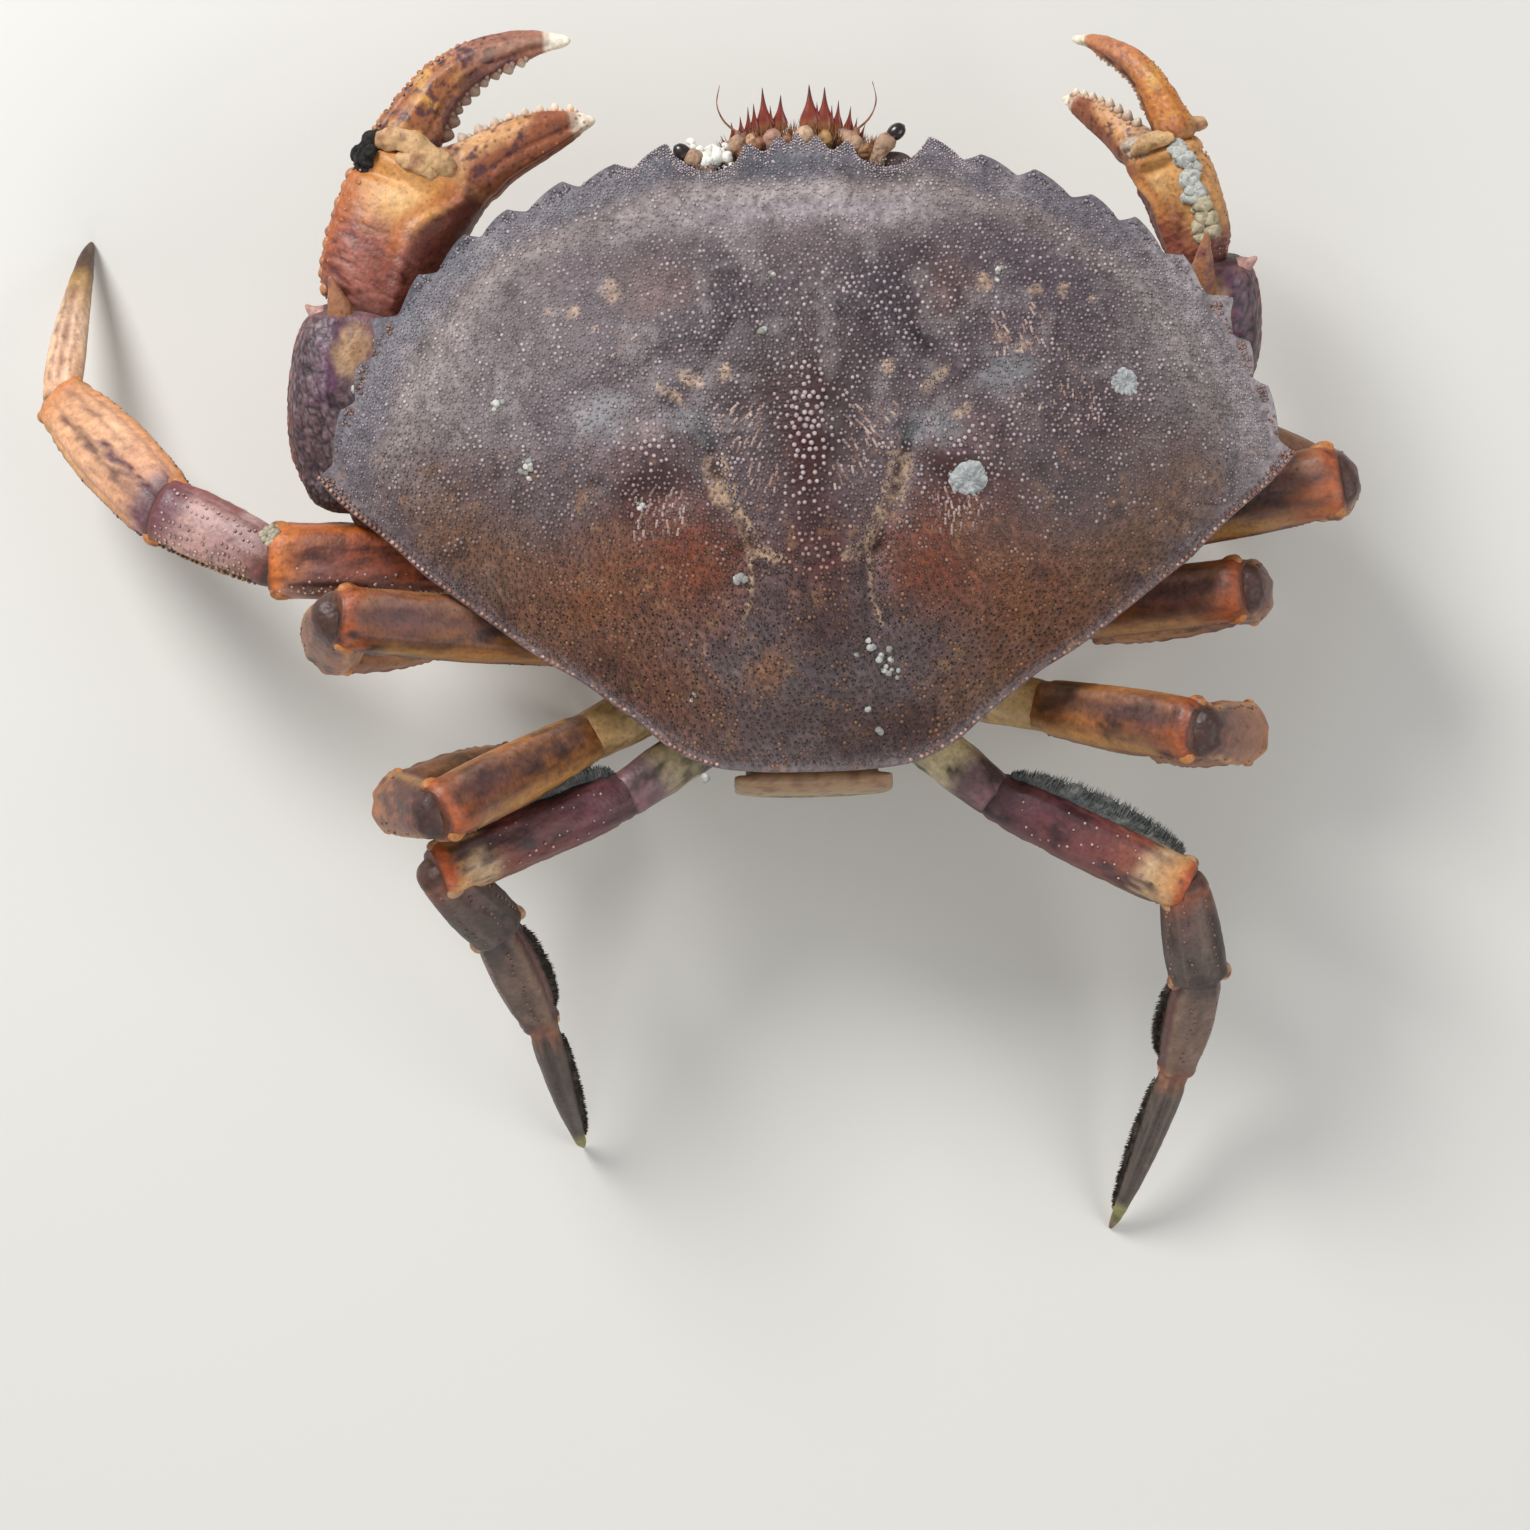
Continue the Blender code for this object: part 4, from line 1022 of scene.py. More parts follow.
        ahead, behind, right, left = borders(calm)
        deselect()
        bpy.ops.mesh.primitive_grid_add(x_subdivisions=self.across_cells, y_subdivisions=self.along_cells,
                                        size=2.0)
        piece = bpy.context.object
        spots = points_of(piece)
        column = np.rint((spots[:, 0] + 1) / 2 * self.across_cells).astype(int)
        row = np.rint((spots[:, 1] + 1) / 2 * self.along_cells).astype(int)
        s, t = (column / self.across_cells)[:, None], (row / self.along_cells)[:, None]
        flat = ((1 - t) * ahead[column] + t * behind[column] + (1 - s) * right[row] + s * left[row]
                - (1 - s) * (1 - t) * ahead[0] - s * (1 - t) * ahead[-1]
                - (1 - s) * t * behind[0] - s * t * behind[-1])
        for inner, outer, gap, at in zip((ahead, behind, right, left), borders(rough),
                                         (row, self.along_cells - row, column, self.across_cells - column),
                                         (column, column, row, row)):
            flat += (outer - inner)[at] * np.exp(-(gap / 7.0) ** 2)[:, None] * self.corner_share(s, t)
        heights = self.heights(flat[:, 0], flat[:, 1])
        set_points(piece, np.column_stack((flat, heights)))
        choose(piece)
        bpy.ops.object.mode_set(mode="EDIT")
        bpy.ops.mesh.select_all(action="SELECT")
        bpy.ops.mesh.normals_make_consistent(inside=False)
        bpy.ops.mesh.select_all(action="DESELECT")
        bpy.ops.mesh.select_mode(type="EDGE")
        bpy.ops.mesh.select_non_manifold(extend=False)
        for drop, shrink in ((0.45, 1.0025), (0.5, 1.0), (0.35, 0.988)):
            bpy.ops.mesh.extrude_region_move(TRANSFORM_OT_translate={"value": (0, 0, -drop)})
            bpy.ops.transform.resize(value=(shrink, shrink, 1), center_override=(0, 0, 64))
        bpy.ops.mesh.edge_face_add()
        bpy.ops.mesh.select_mode(type="VERT")
        bpy.ops.object.mode_set(mode="OBJECT")
        face_outward(piece)
        piece.name = piece.data.name = "shell_plate"
        points = points_of(piece)
        colour = self.marks(points, self.tints(points))
        under = ease(self.rim_height + 0.6 - points[:, 2], 0, 0.5)
        pits = ease(points[:, 1] - 14 + 3 * wander(points, 8, 50), 0, 16) * 0.85 + 0.22
        pits = pits * (1 - ease(self.inwardness(points[:, 0], points[:, 1]), 0.93, 0.97) * 0.7)
        paint(piece, mix(colour, linear("8a7f80"), under), pits * (1 - under))
        return self.place.settle(piece, SHELL, "shell", ("carapace",))

    @staticmethod
    def corner_share(s: np.ndarray, t: np.ndarray) -> np.ndarray:
        """Halve a border's pull where the grid's corners lie, because two borders meet there.

        Args:
            s: Places across the grid, 0 to 1.
            t: Places along the grid, 0 to 1.

        Returns:
            One share for each place.
        """
        corner = np.minimum(np.minimum(s, 1 - s), 0.02) + np.minimum(np.minimum(t, 1 - t), 0.02)
        return np.where(corner < 1e-9, 0.5, 1.0)

    def build_granules(self) -> None:
        """Throw the shell's granules: pearls on its bosses, small ones between, grains on its flange."""
        def field_at(step: float) -> tuple[np.ndarray, np.ndarray, np.ndarray]:
            """Places on the shell about one step apart, with their inwardness and a share of chance.

            Args:
                step: The distance between two places, in millimetres.

            Returns:
                The places, their inwardness, and a random number from 0 to 1 for each.
            """
            spread = scatter(self.rng, (-86, -57), (86, 55), step)
            out = self.inwardness(spread[:, 0], spread[:, 1])
            keep = out < 0.985
            return spread[keep], out[keep], np.array([self.rng.random() for _ in out])[keep]

        def lay(seeds: Seeds, flat: np.ndarray, radii: np.ndarray, shine: np.ndarray,
                dark: np.ndarray) -> None:
            """Set granules on the shell, each with a ring of painted shade round it that fades to the ground.

            Args:
                seeds: The granules so far, which grow.
                flat: Places on the shell, one row each.
                radii: Their radii in millimetres.
                shine: How pale each one is, from 0 to 1: partly its own paler colour, partly a painted
                    highlight.
                dark: How dark the ring of painted shade round each one is, from 0 to 1.
            """
            x, y = flat[:, 0], flat[:, 1]
            points = np.column_stack((x, y, self.heights(x, y)))
            below = self.tints(points)
            # Each top is the granule's own colour made paler by shine, partly a painted highlight; the last
            # colour handed on is the painted shade of its skirt, the ground darkened.
            pale = mix(flood(points, "cfbcbe"), flood(points, "c08a66"), ease(y, 6, 26))
            tips = mix(below * (1 - 0.55 * dark[:, None]), pale, shine)
            seeds.add(points, self.outward(x, y), radii, tips, below * (0.55 + 0.25 * dark[:, None]))

        pearls, grains = Seeds(), Seeds()
        flat, out, luck = field_at(1.42)
        share = np.zeros(len(flat))
        for patch in (Patch(0, 0, -3.5, 5.0, 17, 0.95), Patch(0, 26.5, -1.2, 6.6, 4.0, 0.8),
                      Patch(0, 18.3, -24.3, 8, 9, 0.5),
                      Patch(0, 0, -25.2, 7, 8, 0.5), Patch(0, 44, -31.4, 12, 5, 0.35),
                      Patch(0, 0, 18.4, 8, 5, 0.5)):
            share = np.maximum(share, patch.share(flat))
        big = share > 0.12 + 0.8 * luck
        flat, share, luck = flat[big], share[big], luck[big]
        lay(pearls, flat, 0.32 + 0.17 * share * (0.7 + 0.6 * luck), 0.5 + 0.35 * share - 0.2 * luck,
            np.zeros(len(flat)))
        taken = flat
        flat, out, luck = field_at(1.06)
        gap = np.array([np.min(np.hypot(*(taken - spot).T)) for spot in flat])
        bare = np.maximum(ease(out, 0.88, 0.94) * (flat[:, 1] < 12), Patch(0, 0, -43, 26, 3.2).share(flat))
        keep = (gap > 0.85) & (luck > bare * 0.9) & (luck < 0.92)
        flat, luck = flat[keep], luck[keep]
        back = ease(flat[:, 1] + 3 * wander(np.column_stack((flat, luck * 0)), 9.0, 70), -2, 20)
        side = ease(np.abs(flat[:, 0]), 52, 70) * ease(flat[:, 1], -14, 0)
        dark = np.maximum(back, side * 0.8)
        lift = ease(wander(np.column_stack((flat, luck * 0)), 1.9, 71), -0.2, 0.7)
        radii = 0.29 + 0.13 * lift * luck + 0.02 * dark
        shine = np.clip(0.26 + 0.5 * lift * luck - 0.2 * dark, 0.03, 1)
        for word, part in (("left", flat[:, 0] > 19), ("middle", np.abs(flat[:, 0]) <= 19),
                           ("right", flat[:, 0] < -19)):
            small = Seeds()
            lay(small, flat[part], radii[part], shine[part], 0.4 + 0.5 * dark[part])
            # The dark colour given to build() here and below is the painted shade at each dome's foot.
            self.place.settle(small.build(f"shell_granules_{word}", 6, 4, 0.95, "2e2628", 1.6), SHELL,
                              "shell", smooth_angle=80)
        flat, out, luck = field_at(0.74)
        edge = (ease(out, 0.885, 0.93) * (flat[:, 1] < 10) > luck * 0.9)
        flat, luck = flat[edge], luck[edge]
        lay(grains, flat, 0.17 + 0.1 * luck, 0.1 + 0.4 * luck ** 2, 0.5 * (1 - luck))
        self.place.settle(pearls.build("shell_pearls", 8, 6, 0.95, "3c3034", 1.5), SHELL, "shell",
                          smooth_angle=80)
        self.place.settle(grains.build("shell_grains", 5, 4, 0.9, "4a4446"), SHELL, "shell", smooth_angle=80)

    def build_edge_beads(self) -> None:
        """Set the beads on the rear edge, and fine grains on the teeth and round the eye sockets."""
        beads = Seeds()
        rear = spaced(smooth_path(self.rear, 200), 104)
        for sign in (1, -1):
            line = rear * (sign, 1)
            inward = -line / np.linalg.norm(line, axis=1)[:, None]
            for number, (x, y) in enumerate(line + inward * 0.55):
                if abs(x) < 16:
                    continue
                beads.add(np.array((x, y, self.rim_height + 1.35)), (*inward[number] * -0.5, 1),
                          self.rng.uniform(0.36, 0.5),
                          self.rng.choice(("b98a78", "a57462", "8d5e50", "c9a292")))
            inner = line + inward * 1.7
            beads.add(np.column_stack((inner, self.heights(inner[:, 0], inner[:, 1]))), (0, 0, 1), 0.26,
                      "6a4a42")
            for tip, following in zip(self.teeth[1:], self.teeth[2:] + (self.rear[1],)):
                for _ in range(34):
                    part = self.rng.random() ** 2.0 * 0.75
                    spot = np.array(tip) * (1 - part) + np.array(following) * part
                    inset = self.rng.uniform(0.2, 2.0) * (1 - 0.5 * part) + 0.3 + 1.5 * part
                    spot = spot - unit(spot) * inset
                    x, y = spot[0] * sign, spot[1]
                    high = float(self.heights(np.array([x]), np.array([y]))[0])
                    tints = (("8e6c62", "6e5048", "9c8078", "7d7074") if tip[1] > -30
                             else ("8c8288", "756d73", "a09494", "645d63"))
                    beads.add(np.array((x, y, high)), (0, 0, 1), self.rng.uniform(0.18, 0.36),
                              self.rng.choice(tints))
        rim = spaced(self.half_edge[:FRONT_STEPS + TOOTH_STEPS + 1], 84)
        for sign in (1, -1):
            for x, y in rim:
                for depth in (0.2, 0.7, 1.2, 1.75, 2.3):
                    if self.rng.random() > 1.05 - depth * 0.25:
                        continue
                    x_at = x * sign + self.rng.uniform(-0.1, 0.1)
                    y_at = y + depth + self.rng.uniform(-0.1, 0.1)
                    high = float(self.heights(np.array([x_at]), np.array([y_at]))[0])
                    beads.add(np.array((x_at, y_at, high)), (0, -0.4, 1), self.rng.uniform(0.16, 0.25),
                              self.rng.choice(("a89ba0", "b4a6a8", "978b91", "c2b4b4")), "1c191c")
        # The dark colour given to build() is the painted shade at each bead's foot.
        self.place.settle(beads.build("shell_edge_beads", 6, 4, 0.95, "3a2e30"), SHELL, "shell",
                          smooth_angle=80)

    def build_growths(self) -> None:
        """Grow barnacles, lime tubes and grit on the shell."""
        pieces = []
        for x, y, radius, height in ((-26.7, 6.0, 3.4, 0.75), (-54.4, -10.3, 2.7, 0.6)):
            pieces.append(self.barnacle(x, y, radius, height))
        streaks = Seeds()
        for x, y, reach, share, lean in ((11.2, -3.6, 5.0, 0.7, 0.9), (-10.8, -2.1, 5.5, 0.7, -0.9),
                                         (25.5, 10.3, 5.5, 0.85, 1.5),
                                         (-24.4, 12, 5.5, 0.85, -1.5), (7.6, 5.1, 3.5, 0.7, 1.3),
                                         (-6.7, 5.5, 3.5, 0.7, -1.3),
                                         (32.6, -18.2, 5, 0.35, 0.6), (-36.1, -18.5, 6, 0.4, -1.2),
                                         (-42.6, -8.6, 8, 0.3, -1.5)):
            near, far = (x - reach * 0.8, y - reach * 0.7), (x + reach * 0.8, y + reach * 0.7)
            for x_at, y_at in scatter(self.rng, near, far, 1.5):
                if self.rng.random() > share:
                    continue
                way = lean + self.rng.gauss(0, 0.13) + math.copysign(0.05, lean) * (y_at - y)
                tint = self.rng.choice(("a68b80", "94786e", "b09a8e", "84685e"))
                for k in range(self.rng.randint(3, 7)):
                    spot = np.array((x_at + math.cos(way) * k * 0.24, y_at + math.sin(way) * k * 0.24))
                    high = self.heights(spot[:1], spot[1:])
                    streaks.add(np.concatenate((spot, high - 0.02)), (0, 0, 1), 0.3, tint)
        self.place.settle(streaks.build("shell_streaks", 6, 3, 0.35), SHELL, "shell", smooth_angle=80)
        lumps = Seeds()
        for x, y, radius, count, spread in (
                (5.1, -29.5, 0.75, 3, 0.5), (6.8, -19.2, 0.85, 4, 0.6), (52.5, -9.1, 0.85, 4, 0.7),
                (47.3, 2.3, 0.8, 7, 1.5),
                (11.9, 21.5, 0.9, 5, 0.9), (-10.8, 33.5, 0.8, 9, 2.2), (-12.9, 38.1, 0.7, 7, 1.6),
                (-11.4, 47.5, 0.85, 3, 0.5),
                (-9.4, 43.6, 0.6, 3, 0.7), (20.4, 41, 0.5, 4, 0.9), (28, 9.2, 0.6, 3, 0.6),
                (-33.1, -28.7, 0.65, 6, 1.8),
                (-42.9, -15.6, 0.7, 1, 0.1), (19.0, 55.2, 0.7, 2, 0.5)):
            for _ in range(count):
                lump_x, lump_y = x + self.rng.gauss(0, spread) * 0.6, y + self.rng.gauss(0, spread) * 0.6
                high = float(self.heights(np.array([lump_x]), np.array([lump_y]))[0])
                lumps.add(np.array((lump_x, lump_y, high)),
                          (self.rng.uniform(-0.4, 0.4), self.rng.uniform(-0.4, 0.4), 1),
                          radius * self.rng.uniform(0.55, 1.0),
                          self.rng.choice(("b3b4ae", "9a9b95", "c6c4bb", "8c8a80")))
        for x, y, radius in ((14.6, -53.4, 2.0), (17.0, -53.6, 1.7), (12.6, -52.4, 1.5), (15.8, -51.8, 1.9),
                             (13.2, -54.2, 1.1),
                             (18.4, -54.8, 1.1), (11.6, -51.0, 1.0)):
            for _ in range(3):
                lumps.add(np.array((x + self.rng.gauss(0, 0.4), y + self.rng.gauss(0, 0.4),
                                    self.rim_height + self.rng.uniform(0, 0.9))),
                          (self.rng.uniform(-0.5, 0.5), self.rng.uniform(-0.5, 0.5), 1),
                          radius * self.rng.uniform(0.6, 1.0),
                          self.rng.choice(("e6e4da", "d8d5c8", "f0eee6")))
        pieces.append(lumps.build("growth_lumps", 10, 7, 0.9))
        piece = join(pieces, "shell_growths")
        modify(piece, "SUBSURF", levels=1, render_levels=1)
        points = points_of(piece)
        shift = wander(points, 1.3, 59) * 0.34 * (points[:, 1] < -50) + wander(points, 0.7,
            60) * 0.2 + wander(points, 0.35, 61) * 0.08
        set_points(piece, points + normals_of(piece) * shift[:, None])
        self.place.settle(piece, LIME, "shell")

    def barnacle(self, x: float, y: float, radius: float, height: float) -> bpy.types.Object:
        """Model one flat barnacle: a ribbed cone with a sunken mouth.

        Args:
            x, y: Its middle.
            radius, height: Its size.

        Returns:
            The object, leaned to lie on the shell.
        """
        sides = 36
        at = np.array([x]), np.array([y])
        high, out = float(self.heights(*at)[0]), Vector(self.outward(*at)[0])
        turn = Vector((0, 0, 1)).rotation_difference(out).to_matrix()
        angle = 2 * math.pi * np.arange(sides) / sides
        rings = []
        ragged = np.array([self.rng.uniform(-1, 1) for _ in range(sides)])
        for reach, rise, ribs in ((1.04, -0.5, 0.05), (1.0, 0.0, 0.06), (0.92, 0.45, 0.06),
                                  (0.7, 0.85, 0.05), (0.42, 1.0, 0.04),
                                  (0.3, 0.95, 0.03), (0.22, 0.5, 0.02), (0.08, 0.45, 0.0)):
            round_it = radius * (reach + ribs * np.sin(angle * 11)
                                 + 0.06 * reach * np.sin(angle * 3 + 1) + 0.025 * ragged)
            rows = np.stack((round_it * np.cos(angle), round_it * np.sin(angle),
                             np.full(sides, rise * height)), axis=1)
            rings.append(rows @ np.array(turn).T + (x, y, high - 0.1))
        piece = tube("barnacle", np.array(rings), 1)
        points = points_of(piece)
        away = np.linalg.norm((points - (x, y, high))[:, :2], axis=1) / radius
        turn = np.arctan2(points[:, 1] - y, points[:, 0] - x)
        colour = tone(flood(points, "a6a9a8"), "6c7274", cloud(points, 1.3, -0.1, 0.7, 5) * 0.7)
        colour = tone(colour, "c6c9c8",
                      ease(np.sin(turn * 17 + 3 * wander(points, 1.0, 7)), 0.2, 0.9)
                      * ease(away, 0.25, 0.6) * 0.6)
        paint(piece, tone(colour, "dfe2e2", ease(away, 0.86, 1.0) * 0.4), 0.3)
        return piece

    def build(self) -> None:
        """Build the shell and all that is on it."""
        self.build_plate()
        self.build_granules()
        self.build_edge_beads()
        self.build_growths()


# ---------------------------------------------------------------- limbs

@dataclass(frozen=True)
class Line:
    """A raised or sunken line along an article, or a line of colour on it.

    Angles run round the article in degrees: 0 is its rear edge, 90 its top, 180 its front edge.
    """
    angle: float
    width: float
    height: float = 0.0
    hex_code: str = ""
    strength: float = 0.8
    start: float = 0.0
    end: float = 1.0
    beads: float = 0.0

    def share(self, along: np.ndarray, angle: np.ndarray, reach: np.ndarray, length: float) -> np.ndarray:
        """How much of the line lies at each point.

        Args:
            along: Place along the article, 0 to 1.
            angle: Degrees round it.
            reach: Distance from its middle line, in millimetres.
            length: The article's length.

        Returns:
            A value from 0 to 1 for each point.
        """
        turn = (angle - self.angle + 180) % 360 - 180
        away = np.radians(turn) * reach / self.width
        share = np.exp(-away ** 2) * ease(along, self.start - 0.03, self.start + 0.05)
        share *= 1 - ease(along, self.end - 0.05, self.end + 0.03)
        if self.beads:
            share *= 0.45 + 0.55 * np.cos(2 * math.pi * along * length / self.beads) ** 2
        return share


@dataclass(frozen=True)
class Skin:
    """The look of one article: colours along it, what its underside turns to, its blotches and its lines."""
    along: tuple[tuple[float, str], ...]
    under: str = "cbb083"
    under_share: float = 0.6
    blotch: str = "5a2c20"
    blotch_size: float = 5.0
    blotch_share: float = 0.5
    lines: tuple[Line, ...] = ()
    spots: float = 0.15
    wrinkle: float = 0.05
    crease: str = "38231c"

    def colours(self, local: np.ndarray, along: np.ndarray, angle: np.ndarray, reach: np.ndarray,
                length: float, seed: int) -> np.ndarray:
        """The colour at each point of an article.

        Args:
            local: Coordinates along, across and up the article, in millimetres.
            along, angle, reach: As a Line takes them.
            length: The article's length.
            seed: Varies the blotches.

        Returns:
            Rows of linear colour.
        """
        stops = np.array([part for part, _ in self.along])
        shades = np.array([linear(code) for _, code in self.along])
        drift = along + 0.05 * wander(local, 4.0, seed)
        colour = np.stack([np.interp(drift, stops, shades[:, k]) for k in range(3)], axis=1)
        stretched = local * (0.6, 1, 1)
        below = ease(-np.sin(np.radians(angle)) + 0.25 * wander(local, 5.0, seed + 1), 0.0, 0.7)
        colour = tone(colour, self.under, below * self.under_share)
        patches = wander(stretched, self.blotch_size, seed + 2) + 0.6 * wander(stretched,
            self.blotch_size / 2.6, seed + 3)
        patches += 0.4 * wander(stretched, self.blotch_size / 6, seed + 4)
        colour = tone(colour, self.blotch, ease(patches, 0.1, 0.8) * self.blotch_share)
        colour = mix(colour, colour * 1.5 + 0.02, ease(-patches, 0.2, 1.0) * 0.5)
        colour = tone(colour, self.blotch,
                      cloud(stretched, 1.5, 0.5, 1.0, seed + 7) * self.blotch_share * 0.8)
        for line in self.lines:
            if line.hex_code:
                frayed = angle + 9 * wander(local, 1.6, seed + 5)
                colour = tone(colour, line.hex_code,
                              line.share(along, frayed, reach, length) ** 0.7 * line.strength)
        ends = np.maximum(ease(along, 1.0, 1.03), 1 - ease(along, -0.05, 0.02))
        return tone(colour, self.crease, ends * 0.8) * (1 + 0.2 * wander(local, 1.0, seed + 6))[:, None]


@dataclass
class Article:
    """One hard length of a limb: where it lies, how thick it is along its length, and its look."""
    name: str
    start: np.ndarray
    axis: np.ndarray
    across: np.ndarray
    length: float
    width: float
    height: float
    profile: tuple[tuple[float, float, float], ...]
    skin: Skin
    bow: float = 0.0
    tip: float | None = None
    power: float = 2.4
    collar: float = 0.35
    sides: int = 24
    levels: int = 2
    seed: int = 0

    @property
    def rise(self) -> np.ndarray:
        """The upward side of the article."""
        up = np.cross(self.across, self.axis)
        return up if up[2] > 0 else -up

    def rings(self) -> np.ndarray:
        """The rings that the article is swept through, round at its joint ends or running to a tip.

        Returns:
            One ring of places for each station.
        """
        radius = self.width / 2
        first, last = self.profile[0], self.profile[-1]
        near, far = radius * first[1] / self.length, radius * last[1] / self.length
        stops = [(-0.62 * near, 0.3 * first[1], 0.3 * first[2]),
                 (-0.4 * near, 0.78 * first[1], 0.78 * first[2]), *self.profile]
        if self.tip is None:
            stops += [(1 + 0.16 * far, 0.93 * last[1], 0.93 * last[2]),
                      (1 + 0.24 * far, 0.66 * last[1], 0.66 * last[2]),
                      (1 + 0.26 * far, 0.3 * last[1], 0.3 * last[2])]
        else:
            stops += [(0.985, self.tip, self.tip), (1.0, self.tip * 0.35, self.tip * 0.35)]
        table = smooth_path(stops, 18)
        rows = []
        for part, wide, high in table:
            lift = self.bow * 4 * max(part, 0.0) * (1 - min(part, 1.0))
            middle = self.start + self.axis * (self.length * part) + self.rise * lift
            rows.append(oval_ring(middle, self.across, self.rise, self.width / 2 * wide,
                                  self.height / 2 * high,
                                  self.sides, self.power))
        return np.array(rows)

    def measure(self, points: np.ndarray) -> tuple[np.ndarray, np.ndarray, np.ndarray, np.ndarray]:
        """Where points lie on the article.

        Args:
            points: Rows of coordinates.

        Returns:
            Local coordinates, place along, angle round in degrees, and reach from the middle line.
        """
        offset = points - self.start
        along = offset @ self.axis
        part = along / self.length
        lift = self.bow * 4 * np.clip(part, 0, None) * (1 - np.clip(part, None, 1))
        over, up = offset @ self.across, offset @ self.rise - lift
        angle = np.degrees(np.arctan2(up / self.height, over / self.width))
        return np.column_stack((along, over, up)), part, angle, np.hypot(over, up)

    def shape(self, piece: bpy.types.Object) -> None:
        """Raise the article's lines, its collar and its wrinkles, and colour it.

        Args:
            piece: The plain swept form.
        """
        points, outs = points_of(piece), normals_of(piece)
        local, along, angle, reach = self.measure(points)
        lift = self.skin.wrinkle * (wander(local, 1.3, self.seed) + 0.6 * wander(local, 0.6, self.seed + 1)
                                    + 1.6 * wander(local, 3.6, self.seed + 2))
        for line in self.skin.lines:
            lift += line.height * line.share(along, angle, reach, self.length)
        if self.tip is None:
            lift += self.collar * (ease(along, 0.9, 0.96) - 1.3 * ease(along, 0.985, 1.01))
        lift -= 0.25 * np.exp(-((along - 0.06) / 0.02) ** 2)
        set_points(piece, points + outs * lift[:, None])
        paint(piece, self.skin.colours(local, along, angle, reach, self.length, self.seed), self.skin.spots)

    def build(self) -> bpy.types.Object:
        """Model the article.

        Returns:
            The object, in millimetres.
        """
        piece = tube(self.name, self.rings(), self.levels)
        self.shape(piece)
        return piece

    def edge(self, part: float, angle: float, out: float = 1.0) -> tuple[np.ndarray, np.ndarray]:
        """A place on the article's surface, and the way out of it.

        Args:
            part: Place along it.
            angle: Degrees round it.
            out: Share of the way from the middle line to the surface.

        Returns:
            The place and the outward direction.
        """
        stops = np.array(self.profile)
        wide, high = (np.interp(part, stops[:, 0], stops[:, k]) for k in (1, 2))
        cos, sin = math.cos(math.radians(angle)), math.sin(math.radians(angle))
        over = math.copysign(abs(cos) ** (2 / self.power), cos) * self.width / 2 * wide
        up = math.copysign(abs(sin) ** (2 / self.power), sin) * self.height / 2 * high
        lift = self.bow * 4 * part * (1 - part)
        middle = self.start + self.axis * (self.length * part)
        spot = middle + self.across * over * out + self.rise * (up * out + lift)
        return spot, unit(self.across * over + self.rise * up)


def hairs(name: str, roots: np.ndarray, tips: np.ndarray, radius: float,
          bend: np.ndarray | None = None) -> bpy.types.Object:
    """Make many thin tapering hairs in one mesh.

    Args:
        name: The object's name.
        roots, tips: One row for each hair, in millimetres.
        radius: At the root.
        bend: How far the middle of each hair is pushed aside.

    Returns:
        The object.
    """
    count, sides = len(roots), 3
    way = tips - roots
    way = way / np.linalg.norm(way, axis=1)[:, None]
    side = np.cross(way, (0.31, 0.17, 0.94))
    side /= np.linalg.norm(side, axis=1)[:, None]
    rise = np.cross(way, side)
    middles = (roots + tips) / 2 + (bend if bend is not None else 0)
    rows = []
    for spot, size in ((roots, 1.0), (middles, 0.7)):
        for k in range(sides):
            turn = 2 * math.pi * k / sides
            rows.append(spot + radius * size * (math.cos(turn) * side + math.sin(turn) * rise))
    rows.append(tips)
    points = np.stack(rows, axis=1).reshape(-1, 3)
    faces = [(2, 1, 0)]
    for k in range(sides):
        j = (k + 1) % sides
        faces += [(k, j, sides + j, sides + k), (sides + k, sides + j, 2 * sides)]
    table = [tuple(index + number * (2 * sides + 1) for index in face) for number in range(count)
             for face in faces]
    mesh = bpy.data.meshes.new(name)
    mesh.from_pydata(points.tolist(), [], table)
    piece = bpy.data.objects.new(name, mesh)
    bpy.context.scene.collection.objects.link(piece)
    return piece


# How thick each kind of article is at places along it: the place, and shares of its full width and height.
MERUS = ((0.0, 0.82, 0.82), (0.12, 0.9, 0.9), (0.35, 0.97, 0.97), (0.6, 1.0, 1.0), (0.85, 0.99, 0.97),
         (1.0, 0.92, 0.9))
CARPUS = ((0.0, 0.8, 0.82), (0.25, 0.9, 0.88), (0.6, 1.0, 1.0), (0.85, 0.99, 0.98), (1.0, 0.93, 0.92))
PROPODUS = ((0.0, 0.86, 0.9), (0.2, 0.97, 1.0), (0.5, 1.0, 0.97), (0.75, 0.9, 0.88), (1.0, 0.64, 0.72))
DACTYL = ((0.0, 0.92, 0.95), (0.15, 1.0, 1.0), (0.42, 0.84, 0.88), (0.7, 0.58, 0.64), (0.9, 0.3, 0.38))
HIP = ((0.0, 1.0, 1.0), (0.3, 0.9, 0.96), (0.45, 0.98, 1.0), (0.7, 0.88, 0.9), (1.0, 0.86, 0.88))

# Lines that several articles share.
EDGES = (Line(180, 0.9, 0.5, "6a3038", 0.75, 0.05, 0.98, 1.5),
         Line(0, 0.9, 0.5, "6a3440", 0.75, 0.05, 0.98, 1.5))
RIDGED = (Line(60, 0.7, 0.3, "", 0, 0.05, 0.95), Line(120, 0.7, 0.3, "", 0, 0.05, 0.95),
          Line(90, 0.9, -0.35, "6b4636", 0.5, 0.05, 0.9))
